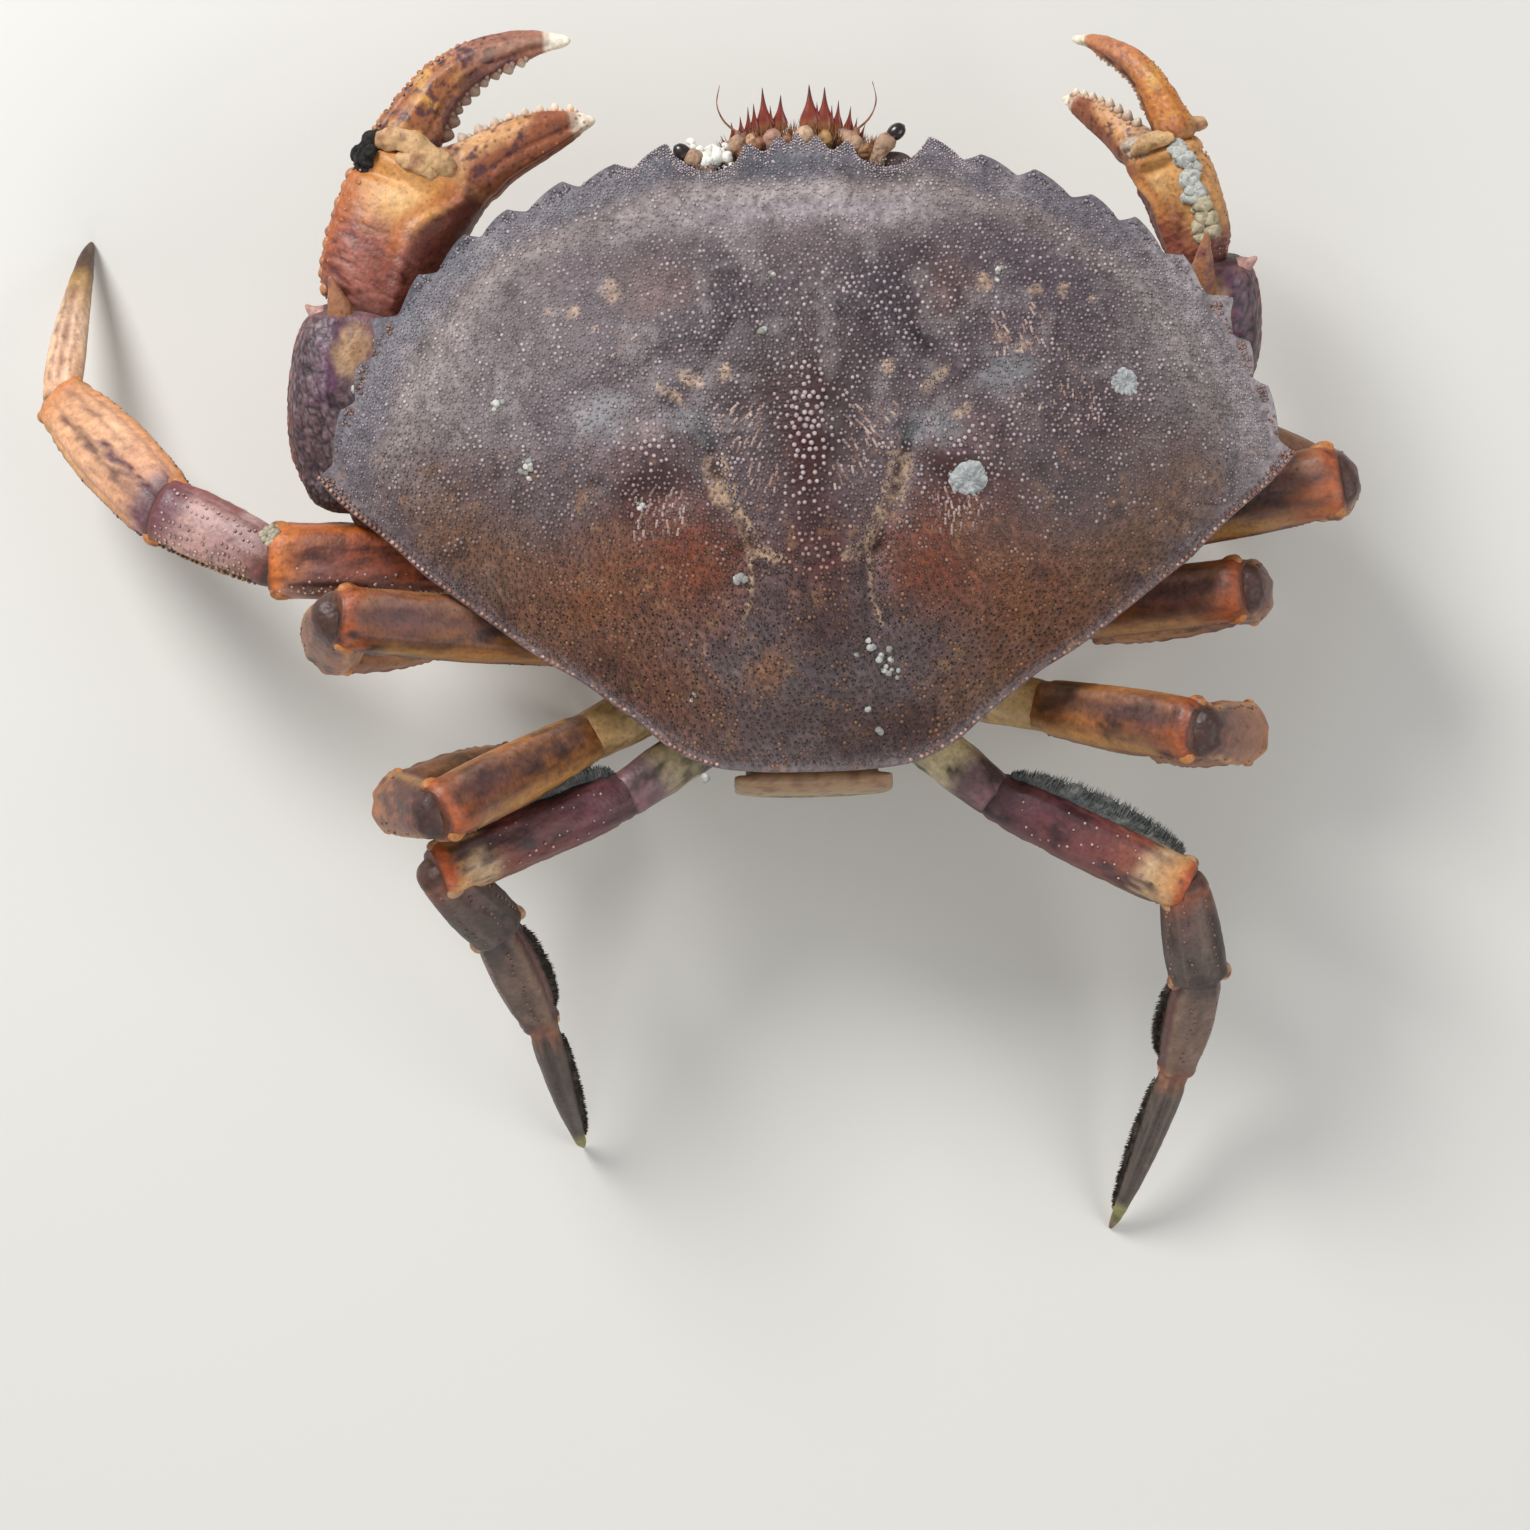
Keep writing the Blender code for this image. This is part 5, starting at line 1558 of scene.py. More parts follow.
# The look of each leg article in each colouring: the left front leg is peach, the rear legs are rust, and
# all others are tan.
SKINS = {
    "peach": {
        "hip": Skin(((0, "c9b184"), (1, "b08a5c")), blotch="4a3a2c", blotch_share=0.6),
        "merus": Skin(((0, "9c4418"), (0.5, "a4501f"), (0.7, "8e3f20"), (0.86, "7a4a40"), (0.95, "b86a32"),
                       (1, "c0641f")),
                      blotch="3e120a", blotch_share=1.0, blotch_size=3.4, lines=EDGES[:1] + (
                          Line(20, 1.6, 0.3, "a48c88", 0.7, 0.05, 0.98),
                          Line(60, 1.6, 0.15, "8a6a66", 0.45, 0.6, 0.93),
                          Line(0, 1.0, 0.3, "b59a80", 0.5, 0.02, 1),
                          Line(150, 2.0, 0.0, "c0661e", 0.75, 0.0, 1.0),
                          Line(45, 0.7, -0.5, "5c3a34", 0.7, 0.1, 0.95))),
        "carpus": Skin(((0, "6c3c34"), (0.3, "a07c78"), (0.75, "b58e88"), (0.95, "7c4c56"), (1, "702e28")),
                       blotch="54303a",
                       blotch_share=0.55, lines=(
                           Line(22, 0.8, -0.5, "5c3a38", 0.7, 0.1, 0.95),
                           Line(-2, 2.8, 0.0, "c0955a", 0.9, 0.1, 0.97),
                           Line(160, 2.2, 0.1, "7a2c22", 0.85, 0.35, 1.0),
                           Line(140, 0.7, -0.4, "6a4448", 0.5, 0.1, 0.95)), wrinkle=0.12),
        "propodus": Skin(((0, "8a5c5c"), (0.1, "b08272"), (0.2, "d29a76"), (0.5, "dda882"), (0.85, "dca277"),
                          (1, "c4783e")),
                         blotch="b98a6a", blotch_share=0.2, lines=EDGES + (
                             Line(166, 1.5, 0.0, "c8823c", 0.75, 0.0, 0.9),
                             Line(14, 1.5, 0.0, "cb9148", 0.65, 0.1, 0.97),
                             Line(148, 1.1, -0.5, "ad7c66", 0.45, 0.05, 0.9),
                             Line(30, 1.1, -0.5, "ad7c66", 0.45, 0.05, 0.9),
                             Line(94, 0.36, -0.4, "4c2838", 1.0, -0.02, 0.55),
                             Line(76, 0.45, -0.15, "4a2c28", 0.9, 0.1, 0.85, 2.6),
                             Line(116, 0.4, -0.1, "5c3830", 0.7, 0.3, 0.95, 3.1),
                             Line(60, 0.35, -0.1, "6c463c", 0.5, 0.1, 0.5, 1.7),
                             *(Line(angle, 0.5, -0.1, "4c2e3c", 0.8, -0.02, 0.09 + 0.03 * (angle % 20 > 9))
                               for angle in range(46, 140, 11))),
                         under="d9bf98", spots=0.05),
        "dactyl": Skin(((0, "dba680"), (0.4, "ecc4a4"), (0.56, "d9b088"), (0.66, "94703f"), (0.78, "553a24"),
                        (1, "2a1a14")),
                       blotch="ae7e5a", blotch_share=0.2, lines=RIDGED[:2] + (
                           Line(90, 0.45, -0.35, "7c5644", 0.85, 0.05, 0.6, 2.2),
                           Line(62, 0.4, -0.2, "6a4a3c", 0.75, 0.05, 0.6, 1.9),
                           Line(118, 0.4, -0.2, "6a4a3c", 0.6, 0.1, 0.5, 2.6),
                           Line(12, 1.0, 0.0, "c88a44", 0.6, 0.0, 0.7),
                           Line(0, 0.6, 0.2, "7a5038", 0.5), Line(180, 0.6, 0.2, "7a5038", 0.5)),
                           spots=0.05)},
    "tan": {
        "hip": Skin(((0, "b9a274"), (1, "a8824e")), blotch="3a2a20", blotch_share=0.7),
        "merus": Skin(((0, "9a5f2e"), (0.45, "a4642f"), (0.8, "6c3c34"), (0.93, "98552a"), (1, "a04e22")),
                      blotch="2a1411",
                      blotch_share=0.95, blotch_size=3.8, lines=(
                          Line(100, 1.6, 0.0, "57403e", 0.8, 0.1, 1.0),
                          Line(125, 0.8, 0.4, "9a7a6a", 0.5, 0.05, 0.97),
                          Line(60, 0.8, 0.35, "4a2c26", 0.6, 0.05, 0.97),
                          Line(30, 1.8, 0.0, "bd8e52", 0.7, 0.0, 0.85),
                          Line(165, 1.8, 0.0, "b5824c", 0.65, 0.0, 0.9),
                          Line(0, 0.8, 0.25, "3a2826", 0.5, 0.1, 0.9))),
        "carpus": Skin(((0, "6a4038"), (0.5, "8a5a40"), (1, "9a623c")), blotch="3a2220", blotch_share=0.7,
                       lines=(
Line(100, 0.8, 0.4), Line(60, 0.8, 0.3), Line(20, 0.8, 0.3, "b98a56", 0.6),
Line(150, 0.9, 0.3, "b98a56", 0.6)),
            wrinkle=0.12),
        "propodus": Skin(((0, "7c4e3c"), (0.4, "a9764c"), (0.8, "b0804f"), (1, "7a4a34")), blotch="402a26",
                         blotch_share=0.7,
                         lines=EDGES + RIDGED),
        "dactyl": Skin(((0, "96683f"), (0.5, "8a6c48"), (0.85, "6a5238"), (1, "2c201a")), blotch="463428",
                       blotch_share=0.6,
                       lines=RIDGED)},
    "rust": {
        "hip": Skin(((0, "a89a7a"), (0.4, "b9a883"), (0.65, "6a5254"), (1, "7a5458")), blotch="2e2824",
                    blotch_share=0.85,
                    blotch_size=3.5),
        "merus": Skin(((0, "4c3036"), (0.25, "603236"), (0.55, "6c3a36"), (0.74, "7e4434"), (0.83, "b89a78"),
                       (0.94, "b88450"),
                       (1, "ad5020")), blotch="2e1519", blotch_share=0.85, blotch_size=3.6, lines=(
                           Line(172, 0.9, 0.5, "57454e", 0.8, 0.0, 0.9),
                           Line(120, 0.7, 0.25, "4a3038", 0.5, 0.1, 0.9),
                           Line(0, 0.9, 0.3, "4c2c2c", 0.6, 0.0, 0.9), Line(-25, 1.6, 0.0, "b07f50", 0.6)),
                           wrinkle=0.12),
        "carpus": Skin(((0, "844a30"), (0.25, "58403a"), (0.7, "50443c"), (1, "483a34")), blotch="2a2220",
                       blotch_share=0.7, lines=(
Line(110, 0.8, 0.4, "6d5a50", 0.6, 0.1, 0.95), Line(60, 0.8, 0.35), Line(10, 0.8, 0.3, "2e2422", 0.6))),
        "propodus": Skin(((0, "463834"), (0.15, "665046"), (0.6, "70584a"), (0.9, "644a3c"), (1, "844a34")),
                         blotch="342826",
                         blotch_share=0.6, lines=(
                             Line(35, 1.0, -0.4, "5c3434", 0.8, 0.0, 0.95), Line(0, 0.8, 0.4, "2a201e", 0.8),
                             Line(180, 0.8, 0.4, "8a6a54", 0.6), Line(60, 0.6, 0.25, "8d7058", 0.5),
                             Line(140, 0.7, 0.25))),
        "dactyl": Skin(((0, "8a5a42"), (0.12, "564840"), (0.55, "53473e"), (0.78, "4c443a"),
                        (0.84, "858048"), (1, "6b5a34")),
                       blotch="342e2a", blotch_share=0.5,
                       lines=RIDGED[:2] + (Line(90, 0.5, -0.3, "372c28", 0.6, 0.0, 0.8),
                                          Line(0, 0.7, 0.2, "241c1a", 0.7, 0.0, 0.8)))}}


@dataclass(frozen=True)
class BeadRow:
    """A row of beads along an article.

    The angle is in degrees round the article. The start, the end and the step say where the beads lie along
    it. Stray is their unevenness in degrees, and out is how far out they sit, where 1 is the surface.
    """
    angle: float
    start: float
    end: float
    step: float
    radius: float
    tints: tuple[str, ...]
    stray: float = 1.5
    out: float = 0.985

    def lay(self, seeds: Seeds, form: Any, length: float, rng: random.Random) -> None:
        """Add the row to some seeds.

        Args:
            seeds: What the beads are added to.
            form: The article or claw piece, whose edge() gives a place and the way out of it.
            length: Its length in millimetres.
            rng: The source of chance.
        """
        for part in np.arange(self.start, self.end, self.step / length):
            spot, out = form.edge(part + rng.uniform(-0.2, 0.2) * self.step / length,
                                  self.angle + rng.gauss(0, self.stray), self.out)
            seeds.add(spot, out, self.radius * rng.uniform(0.75, 1.15), rng.choice(self.tints))


PURPLE = ("6a4048", "573440", "7c5252")
MAUVE = ("b2928e", "9d7a7a", "c2a49c")
CREAM = ("ccb39a", "b99a80")
EARTH = ("8a6450", "6c4a3c")
# The bead rows of each colouring's articles.
BEADS = {
    ("peach", "merus"): (BeadRow(8, 0.1, 0.99, 1.25, 0.42, CREAM), BeadRow(32, 0.1, 0.99, 1.2, 0.4, CREAM),
                         BeadRow(-14, 0.1, 0.99, 1.3, 0.38, CREAM),
                         BeadRow(62, 0.55, 0.97, 1.7, 0.34, MAUVE, 9),
                         BeadRow(40, 0.5, 0.97, 1.6, 0.32, MAUVE, 7)),
    ("peach", "carpus"): tuple(BeadRow(angle, 0.12, 0.95, 1.15, 0.36, MAUVE, 4)
                               for angle in (35, 50, 66, 84, 102, 122))
                         + (BeadRow(14, 0.05, 0.97, 1.1, 0.42, EARTH),
                            BeadRow(-10, 0.1, 0.95, 1.2, 0.35, CREAM)),
    ("peach", "propodus"): (BeadRow(180, 0.02, 0.93, 0.95, 0.42, PURPLE),
                            BeadRow(0, 0.02, 0.93, 0.95, 0.42, PURPLE)),
    ("tan", "merus"): (BeadRow(0, 0.1, 0.97, 1.2, 0.36, EARTH), BeadRow(120, 0.1, 0.97, 1.4, 0.3, EARTH, 3)),
    ("tan", "carpus"): tuple(BeadRow(angle, 0.1, 0.95, 1.2, 0.34, EARTH, 4) for angle in (20, 60, 100, 140)),
    ("tan", "propodus"): (BeadRow(180, 0.05, 0.9, 1.1, 0.34, PURPLE),
                          BeadRow(0, 0.05, 0.9, 1.1, 0.34, PURPLE)),
    ("rust", "merus"): (BeadRow(0, 0.1, 0.95, 1.1, 0.34, MAUVE), BeadRow(60, 0.15, 0.8, 1.7, 0.3, MAUVE, 12),
                        BeadRow(110, 0.15, 0.8, 1.9, 0.3, MAUVE, 12)),
    ("rust", "carpus"): tuple(BeadRow(angle, 0.1, 0.95, 1.2, 0.34, EARTH, 4) for angle in (30, 75, 120)),
    ("rust", "propodus"): (BeadRow(90, 0.1, 0.9, 1.5, 0.28, EARTH, 3),
                           BeadRow(150, 0.1, 0.9, 1.3, 0.3, EARTH))}


@dataclass
class Leg:
    """One walking leg, from the body to its tip on the floor, with its joints and fringes."""
    place: Place
    rng: random.Random
    side: Side
    number: int
    look: str
    root: tuple[float, float, float]
    lengths: tuple[float, ...]
    widths: tuple[float, ...]
    heights: tuple[float, ...]
    compass: tuple[float, ...]
    dips: tuple[float, ...]
    names: tuple[str, ...] = ("hip", "merus", "carpus", "propodus", "dactyl")
    bow: float = 2.2
    tip: float = 0.16
    articles: dict[str, Article] = field(default_factory=dict)

    def lay_out(self) -> None:
        """Work out where each article lies."""
        sign = self.side.value
        spot = np.array((sign * self.root[0], self.root[1], self.root[2]))
        dips = list(self.dips)
        for k, name in enumerate(self.names):
            turn = math.radians(self.compass[k])
            if k == 4:
                dips.append(math.degrees(math.asin(min(0.98, spot[2] / self.lengths[4]))))
            fall = math.radians(dips[k])
            axis = np.array((sign * math.cos(turn) * math.cos(fall), math.sin(turn) * math.cos(fall),
                             -math.sin(fall)))
            across = np.array((-sign * math.sin(turn), math.cos(turn), 0))
            profile = dict(zip(self.names, (HIP, MERUS, CARPUS, PROPODUS, DACTYL)))[name]
            last = name == "dactyl"
            self.articles[name] = Article(
                f"{self.side.word}_leg_{self.number}_{name}_piece", spot, axis, across, self.lengths[k],
                self.widths[k],
                self.heights[k], profile, SKINS[self.look][name], self.bow if last else 0.0,
                self.tip if last else None,
                2.5, 0.0 if name == "hip" else 0.35, 24, 1 if name == "hip" else 2,
                self.number * 40 + k * 7 + (0 if sign > 0 else 311))
            spot = spot + axis * self.lengths[k]

    def fringe(self, article: Article, angle: float, start: float, end: float, width: float, count: int,
               name: str, tints: tuple[str, str]) -> bpy.types.Object:
        """A band of dense hair along an edge, with a ragged outer edge.

        Args:
            article: What it grows on.
            angle: Degrees round the article.
            start, end: Places along it.
            width: How far it stands out, in millimetres.
            count: How many hairs.
            name: The piece's name.
            tints: Its colours.

        Returns:
            The object.
        """
        rows = []
        for part in np.linspace(start, end, 22):
            spot, out = article.edge(part, angle)
            swell = math.sin(math.pi * min(1, max(0, (part - start) / (end - start)))) ** 0.45
            reach = width * (0.1 + 0.9 * swell) * (1 + 0.16 * math.sin(part * 41) + 0.1 * math.sin(part * 97))
            lean = unit(out + article.rise * 0.25)
            thick = 0.18 + 0.55 * swell
            side = unit(np.cross(article.axis, lean))
            rows.append(oval_ring(spot + lean * (reach * 0.36 - 0.4), lean, side, reach * 0.56 + 0.05, thick,
                                  16, 2.0))
        band = tube("band", np.array(rows), 2)
        dapple(band, tints[0], tints[1], 0.9, 3, rough=0.2)
        roots, tips = [], []
        for _ in range(count):
            part = self.rng.uniform(start, end)
            spot, out = article.edge(part, angle + self.rng.uniform(-8, 8))
            swell = math.sin(math.pi * (part - start) / (end - start)) ** 0.45
            lift = article.rise * (0.25 + self.rng.uniform(-0.12, 0.12))
            lean = unit(out + lift + article.axis * self.rng.uniform(-0.1, 0.35))
            reach = width * (0.2 + 0.85 * swell) * self.rng.uniform(0.75, 1.12)
            roots.append(spot + lean * reach * self.rng.uniform(0.1, 0.5))
            tips.append(spot + lean * reach)
        tufts = hairs("tufts", np.array(roots), np.array(tips), 0.14)
        piece = join([band, tufts], name)
        points = points_of(piece)
        paint(piece, tone(flood(points, tints[0]), tints[1], cloud(points, 1.4, -0.5, 0.8, 9)))
        return piece

    def build(self) -> None:
        """Build the leg's articles and what grows on them."""
        self.lay_out()
        for name, article in self.articles.items():
            node = f"{self.side.word}_leg_{self.number}_{name}"
            slot = "leg_tip" if name == "dactyl" else "leg"
            piece = article.build()
            self.flatten_tip(piece)
            self.place.settle(piece, LEG, slot, (node,))
        self.build_beads()
        self.build_condyles()
        if self.number == 4:
            merus = self.fringe(self.articles["merus"], 170, 0.03, 0.93, 4.2, 900,
                                f"{self.side.word}_leg_4_merus_fringe", ("5c605e", "7d7f7b"))
            self.place.settle(merus, FELT, "leg")
            for name, width in (("propodus", 1.9), ("dactyl", 1.5)):
                band = self.fringe(self.articles[name], 0, 0.08, 0.86, width, 420,
                                   f"{self.side.word}_leg_4_{name}_fringe", ("2c2623", "4a423a"))
                self.place.settle(band, FELT, "leg")

    def build_condyles(self) -> None:
        """Model the paired lobes that hinge each knee, in paler horn dappled with dark brown."""
        lobes = []
        for name in ("merus", "carpus", "propodus"):
            article = self.articles[name]
            size = article.width * article.profile[-1][1] / 13
            for turn in (12, 168):
                spot, out = article.edge(0.97, turn, 0.84)
                way = article.axis * 2.6 * size
                lobe = sweep((spot - way, spot + way * 0.2 + out * 0.3, spot + way + out * 0.1),
                             [size * wide for wide in (0.5, 1.5, 1.9, 1.8, 1.0)], 0.7, 12, 1, 10)
                lobes.append(dapple(lobe, "b8763e" if self.look != "rust" else "b58a64", "5a2c22", 1.6,
                                    int(turn), 0.8, 0.1, 0.2))
        self.place.settle(join(lobes, f"{self.side.word}_leg_{self.number}_condyles"), LEG, "leg")

    def build_beads(self) -> None:
        """Set the rows of beads on the leg's ridges, and the barnacle on the left front knee."""
        seeds = Seeds()
        for name, article in self.articles.items():
            for row in BEADS.get((self.look, name), ()):
                row.lay(seeds, article, article.length, self.rng)
        # The dark colour given to build() is the painted shade at each bead's foot.
        self.place.settle(seeds.build(f"{self.side.word}_leg_{self.number}_beads", 6, 4, 0.9, "5a4a4a"), LEG,
                          "leg")
        if self.look == "peach":
            spot, out = self.articles["carpus"].edge(0.03, 128)
            lumps = Seeds()
            for k in range(16):
                turn = 2.4 * k
                shift = np.array((math.cos(turn), math.sin(turn), 0)) * 0.42 * math.sqrt(k)
                lumps.add(spot + shift + out * 0.3, out + shift * 0.4, 0.75,
                          self.rng.choice(("a39c86", "b5ae98", "8a8474")))
            self.place.settle(dapple(lumps.build("knee_barnacle", 8, 6, 0.9), "b0a890", "7e7868", 1.0, 5,
                                     0.8, 0.15), LIME, "leg")

    @staticmethod
    def flatten_tip(piece: bpy.types.Object) -> None:
        """Keep every point of a piece on or over the floor.

        Args:
            piece: A piece of the leg.
        """
        points = points_of(piece)
        points[:, 2] = np.maximum(points[:, 2], 0.0)
        set_points(piece, points)


def walking_legs(place: Place, rng: random.Random) -> list[Leg]:
    """The eight walking legs in the crab's stance.

    Args:
        place: Where the crab's frame lies.
        rng: The source of chance.

    Returns:
        The legs, front to rear, left then right.
    """
    lengths = {1: (17.0, 51.5, 24.5, 38.5, 40.0), 2: (15.0, 48.0, 23.0, 33.5, 33.0),
               3: (17.0, 40.0, 22.0, 34.0, 31.0), 4: (15.5, 37.5, 18.5, 28.0, 41.0)}
    widths = {1: (12.0, 13.4, 12.8, 14.6, 7.4), 2: (11.5, 11.6, 11.6, 11.5, 6.6),
              3: (11.0, 11.2, 11.0, 10.6, 6.4), 4: (10.0, 10.2, 11.0, 9.2, 6.0)}
    heights = {1: (11.0, 10.0, 10.0, 8.0, 5.6), 2: (11.0, 10.6, 10.0, 8.0, 5.4),
               3: (10.5, 10.2, 9.6, 7.8, 5.2), 4: (9.5, 9.6, 9.4, 7.4, 5.0)}
    roots = {1: (27.0, 14.0, 44.0), 2: (26.0, 26.5, 44.0), 3: (25.0, 39.5, 44.0), 4: (21.0, 49.5, 44.0)}
    stance = {
        (Side.LEFT, 1): ((4, -1, -26, -45, -93), (0, -7, 20, 31), "peach"),
        (Side.RIGHT, 1): ((-3, -9, -18, -149, -155), (0, -13, 84, 37), "tan"),
        (Side.LEFT, 2): ((11, -5, 40, -170, -167), (-4, -32, 76, 58), "tan"),
        (Side.RIGHT, 2): ((3, -4, -5, 172, 176), (52, -30, 80, 40), "tan"),
        (Side.LEFT, 3): ((27, 27, -12, -160, -152), (-8, -46, 66, 56), "tan"),
        (Side.RIGHT, 3): ((14, 13, 2, 174, -171), (-5, -52, 62, 72), "tan"),
        (Side.LEFT, 4): ((33, 21, 129, 108, 101), (-14, -23, 43, 44), "rust"),
        (Side.RIGHT, 4): ((41, 27, 79, 95, 108), (-9, -5, 25, 47), "rust")}
    return [Leg(place, rng, side, number, look, roots[number], lengths[number], widths[number],
                heights[number], compass, dips)
            for (side, number), (compass, dips, look) in stance.items()]


# ---------------------------------------------------------------- claws

def scales(points: np.ndarray, size: float, seed: int, soft: float = 0.4) -> np.ndarray:
    """How deep inside a rounded cell each point lies: 0 in the cracks between cells and 1 in their middles.

    Args:
        points: Rows of coordinates in millimetres.
        size: The cells' width.
        seed: Picks another pattern.
        soft: How much of a cell the slope from its crack takes.

    Returns:
        A value from 0 to 1 for each row.
    """
    cell = points / size + seed * 3.7
    base = np.floor(cell).astype(np.int64)
    first, second = np.full(len(points), 9.0), np.full(len(points), 9.0)
    for offset in itertools.product((-1, 0, 1), repeat=3):
        node = base + offset
        mixed = node @ np.array((73856093, 19349663, 83492791), np.int64) + seed
        spot = []
        for k in range(3):
            value = (mixed ^ (mixed >> 13)) * (1274126177 + 7 * k)
            spot.append(((value ^ (value >> 15)) & 65535) / 65535)
        away = np.linalg.norm(cell - node - np.stack(spot, axis=1), axis=1)
        second = np.minimum(second, np.maximum(first, away))
        first = np.minimum(first, away)
    return ease(second - first, 0.02, soft)


# The looks of the claw limbs' articles.
ARM_SKINS = {
    "hip": Skin(((0, "bca77e"), (1, "8a6a52")), blotch="3a2c26", blotch_share=0.7),
    "merus": Skin(((0, "a87850"), (0.5, "6b4440"), (1, "5a3c40")), blotch="3a2426", blotch_share=0.6),
    "carpus": Skin(((0, "4e3638"), (0.4, "64494c"), (0.8, "604a52"), (1, "744e50")), under="b98a5c",
                   under_share=0.4,
                   blotch="46343a", blotch_share=0.5, blotch_size=4.0, lines=(
                       Line(86, 1.6, 0.0, "bd9870", 0.9, 0.64, 0.93),
                       Line(97, 1.4, 0.0, "b08a62", 0.8, 0.6, 0.94),
                       Line(69, 1.0, 0.4, "5c3450", 0.95, 0.45, 1.0),
                       Line(114, 1.4, 0.0, "6c3c52", 0.8, 0.4, 1.0),
                       Line(92, 0.5, 0.0, "8a5a34", 0.6, 0.6, 0.9),
                       Line(10, 1.6, 0.4, "8c4434", 0.8, 0.0, 0.95),
                       Line(-8, 1.2, 0.3, "a8603a", 0.7, 0.3, 0.9)), wrinkle=0.05)}


@dataclass
class ClawPiece:
    """The palm with its fixed finger, or the moving finger: sections square to a curved middle line."""
    name: str
    origin: np.ndarray
    along: np.ndarray
    across: np.ndarray
    sections: tuple[tuple[float, float, float, float], ...]
    size: float = 1.0
    slim: float = 1.0
    power: float = 2.3
    sides: int = 28
    stations: int = 34

    def __post_init__(self) -> None:
        """Square the axes and lay out the middle line."""
        self.along = unit(self.along)
        self.across = unit(self.across - self.along * (self.across @ self.along))
        self.through = np.cross(self.along, self.across)
        self.table = smooth_path(self.sections, self.stations)
        flat = self.table[:, :2]
        heading = np.gradient(flat, axis=0)
        heading /= np.linalg.norm(heading, axis=1)[:, None]
        heading = mix(heading * 0 + (1, 0), heading, ease(flat[:, 0], 28, 38))
        self.heading = heading / np.linalg.norm(heading, axis=1)[:, None]

    def to_crab(self, local: np.ndarray) -> np.ndarray:
        """Turn claw coordinates (along, across, through) to the crab's frame."""
        return self.origin + self.size * local @ np.stack((self.along, self.across, self.through))

    def rings(self) -> np.ndarray:
        """The rings that the piece is swept through.

        Returns:
            One ring of places for each station.
        """
        rows = []
        for (along, across, half, thick), heading in zip(self.table, self.heading):
            side = np.array((-heading[1], heading[0], 0))
            ring = oval_ring(np.array((along, across, 0)), side, np.array((0, 0, 1)), half * self.slim,
                             thick * self.slim,
                             self.sides, self.power)
            rows.append(self.to_crab(ring))
        return np.array(rows)

    def measure(self, points: np.ndarray) -> tuple[np.ndarray, np.ndarray, np.ndarray, np.ndarray]:
        """Where points lie on the piece.

        Args:
            points: Rows of coordinates.

        Returns:
            Claw coordinates, place along the middle line from 0 to 1, angle round it, and reach from it.
        """
        local = (points - self.origin) @ np.stack((self.along, self.across, self.through)).T / self.size
        flat = self.table[:, :2]
        gaps = np.linalg.norm(local[:, None, :2] - flat[None], axis=2)
        nearest = np.argmin(gaps, axis=1)
        heading = self.heading[nearest]
        offset = local[:, :2] - flat[nearest]
        slip = (offset * heading).sum(axis=1)
        step = np.linalg.norm(flat[1] - flat[0])
        part = np.clip((nearest + np.clip(slip / max(step, 1e-6), -0.5, 0.5)) / (self.stations - 1), 0, 1)
        over = offset[:, 1] * heading[:, 0] - offset[:, 0] * heading[:, 1]
        half, thick = self.table[nearest, 2], self.table[nearest, 3]
        angle = np.degrees(np.arctan2(local[:, 2] / np.maximum(thick, 0.3), over / np.maximum(half, 0.3)))
        return local, part, angle, np.hypot(over, local[:, 2])

    def edge(self, part: float, angle: float, out: float = 1.0) -> tuple[np.ndarray, np.ndarray]:
        """A place on the surface and the way out of it, both in the crab's frame.

        Args:
            part: How far along the piece, from 0 to 1.
            angle: The turn round it, in degrees.
            out: How far out, where 1 is on the surface.

        Returns:
            The place, and the way out of it.
        """
        k = part * (self.stations - 1)
        low = min(int(k), self.stations - 2)
        share = k - low
        along, across, half, thick = self.table[low] * (1 - share) + self.table[low + 1] * share
        heading = unit(self.heading[low] * (1 - share) + self.heading[low + 1] * share)
        side = np.array((-heading[1], heading[0], 0))
        cos, sin = math.cos(math.radians(angle)), math.sin(math.radians(angle))
        half, thick = half * self.slim, thick * self.slim
        over = math.copysign(abs(cos) ** (2 / self.power), cos) * half
        up = math.copysign(abs(sin) ** (2 / self.power), sin) * thick
        local = np.array((along, across, 0)) + (side * over + np.array((0, 0, 1.0)) * up) * out
        way = side * over / half + np.array((0, 0, 1.0)) * up / thick
        return self.to_crab(local), unit(way @ np.stack((self.along, self.across, self.through)))


# How thick the claws' carpus is along its length, as for the legs' articles.
CLAW_CARPUS = ((0.0, 0.66, 0.8), (0.2, 0.9, 0.92), (0.5, 1.0, 1.0), (0.8, 0.97, 0.97), (0.94, 0.86, 0.88),
               (1.0, 0.74, 0.76))
# Sections of the palm with its fixed finger, and of the moving finger: place along and across the claw, half
# width and half thickness, in millimetres.
PALM = ((-2.6, 0.2, 2.6, 2.2), (-1.6, 0.3, 5.4, 4.2), (0.0, 0.4, 7.6, 5.3), (4.0, 1.3, 9.9, 6.2),
        (10.0, 1.7, 11.0, 6.8),
        (18.0, 2.0, 11.8, 7.0), (25.0, 1.4, 12.0, 6.6), (28.2, -0.4, 11.0, 6.1), (30.8, -5.2, 7.1, 5.5),
        (34.5, -8.2, 5.3, 4.6),
        (38.5, -11.0, 4.8, 3.9), (42.6, -14.7, 4.0, 3.2), (46.0, -18.4, 2.6, 2.3), (48.0, -21.2, 1.3, 1.2),
        (48.6, -22.4, 0.4, 0.4))
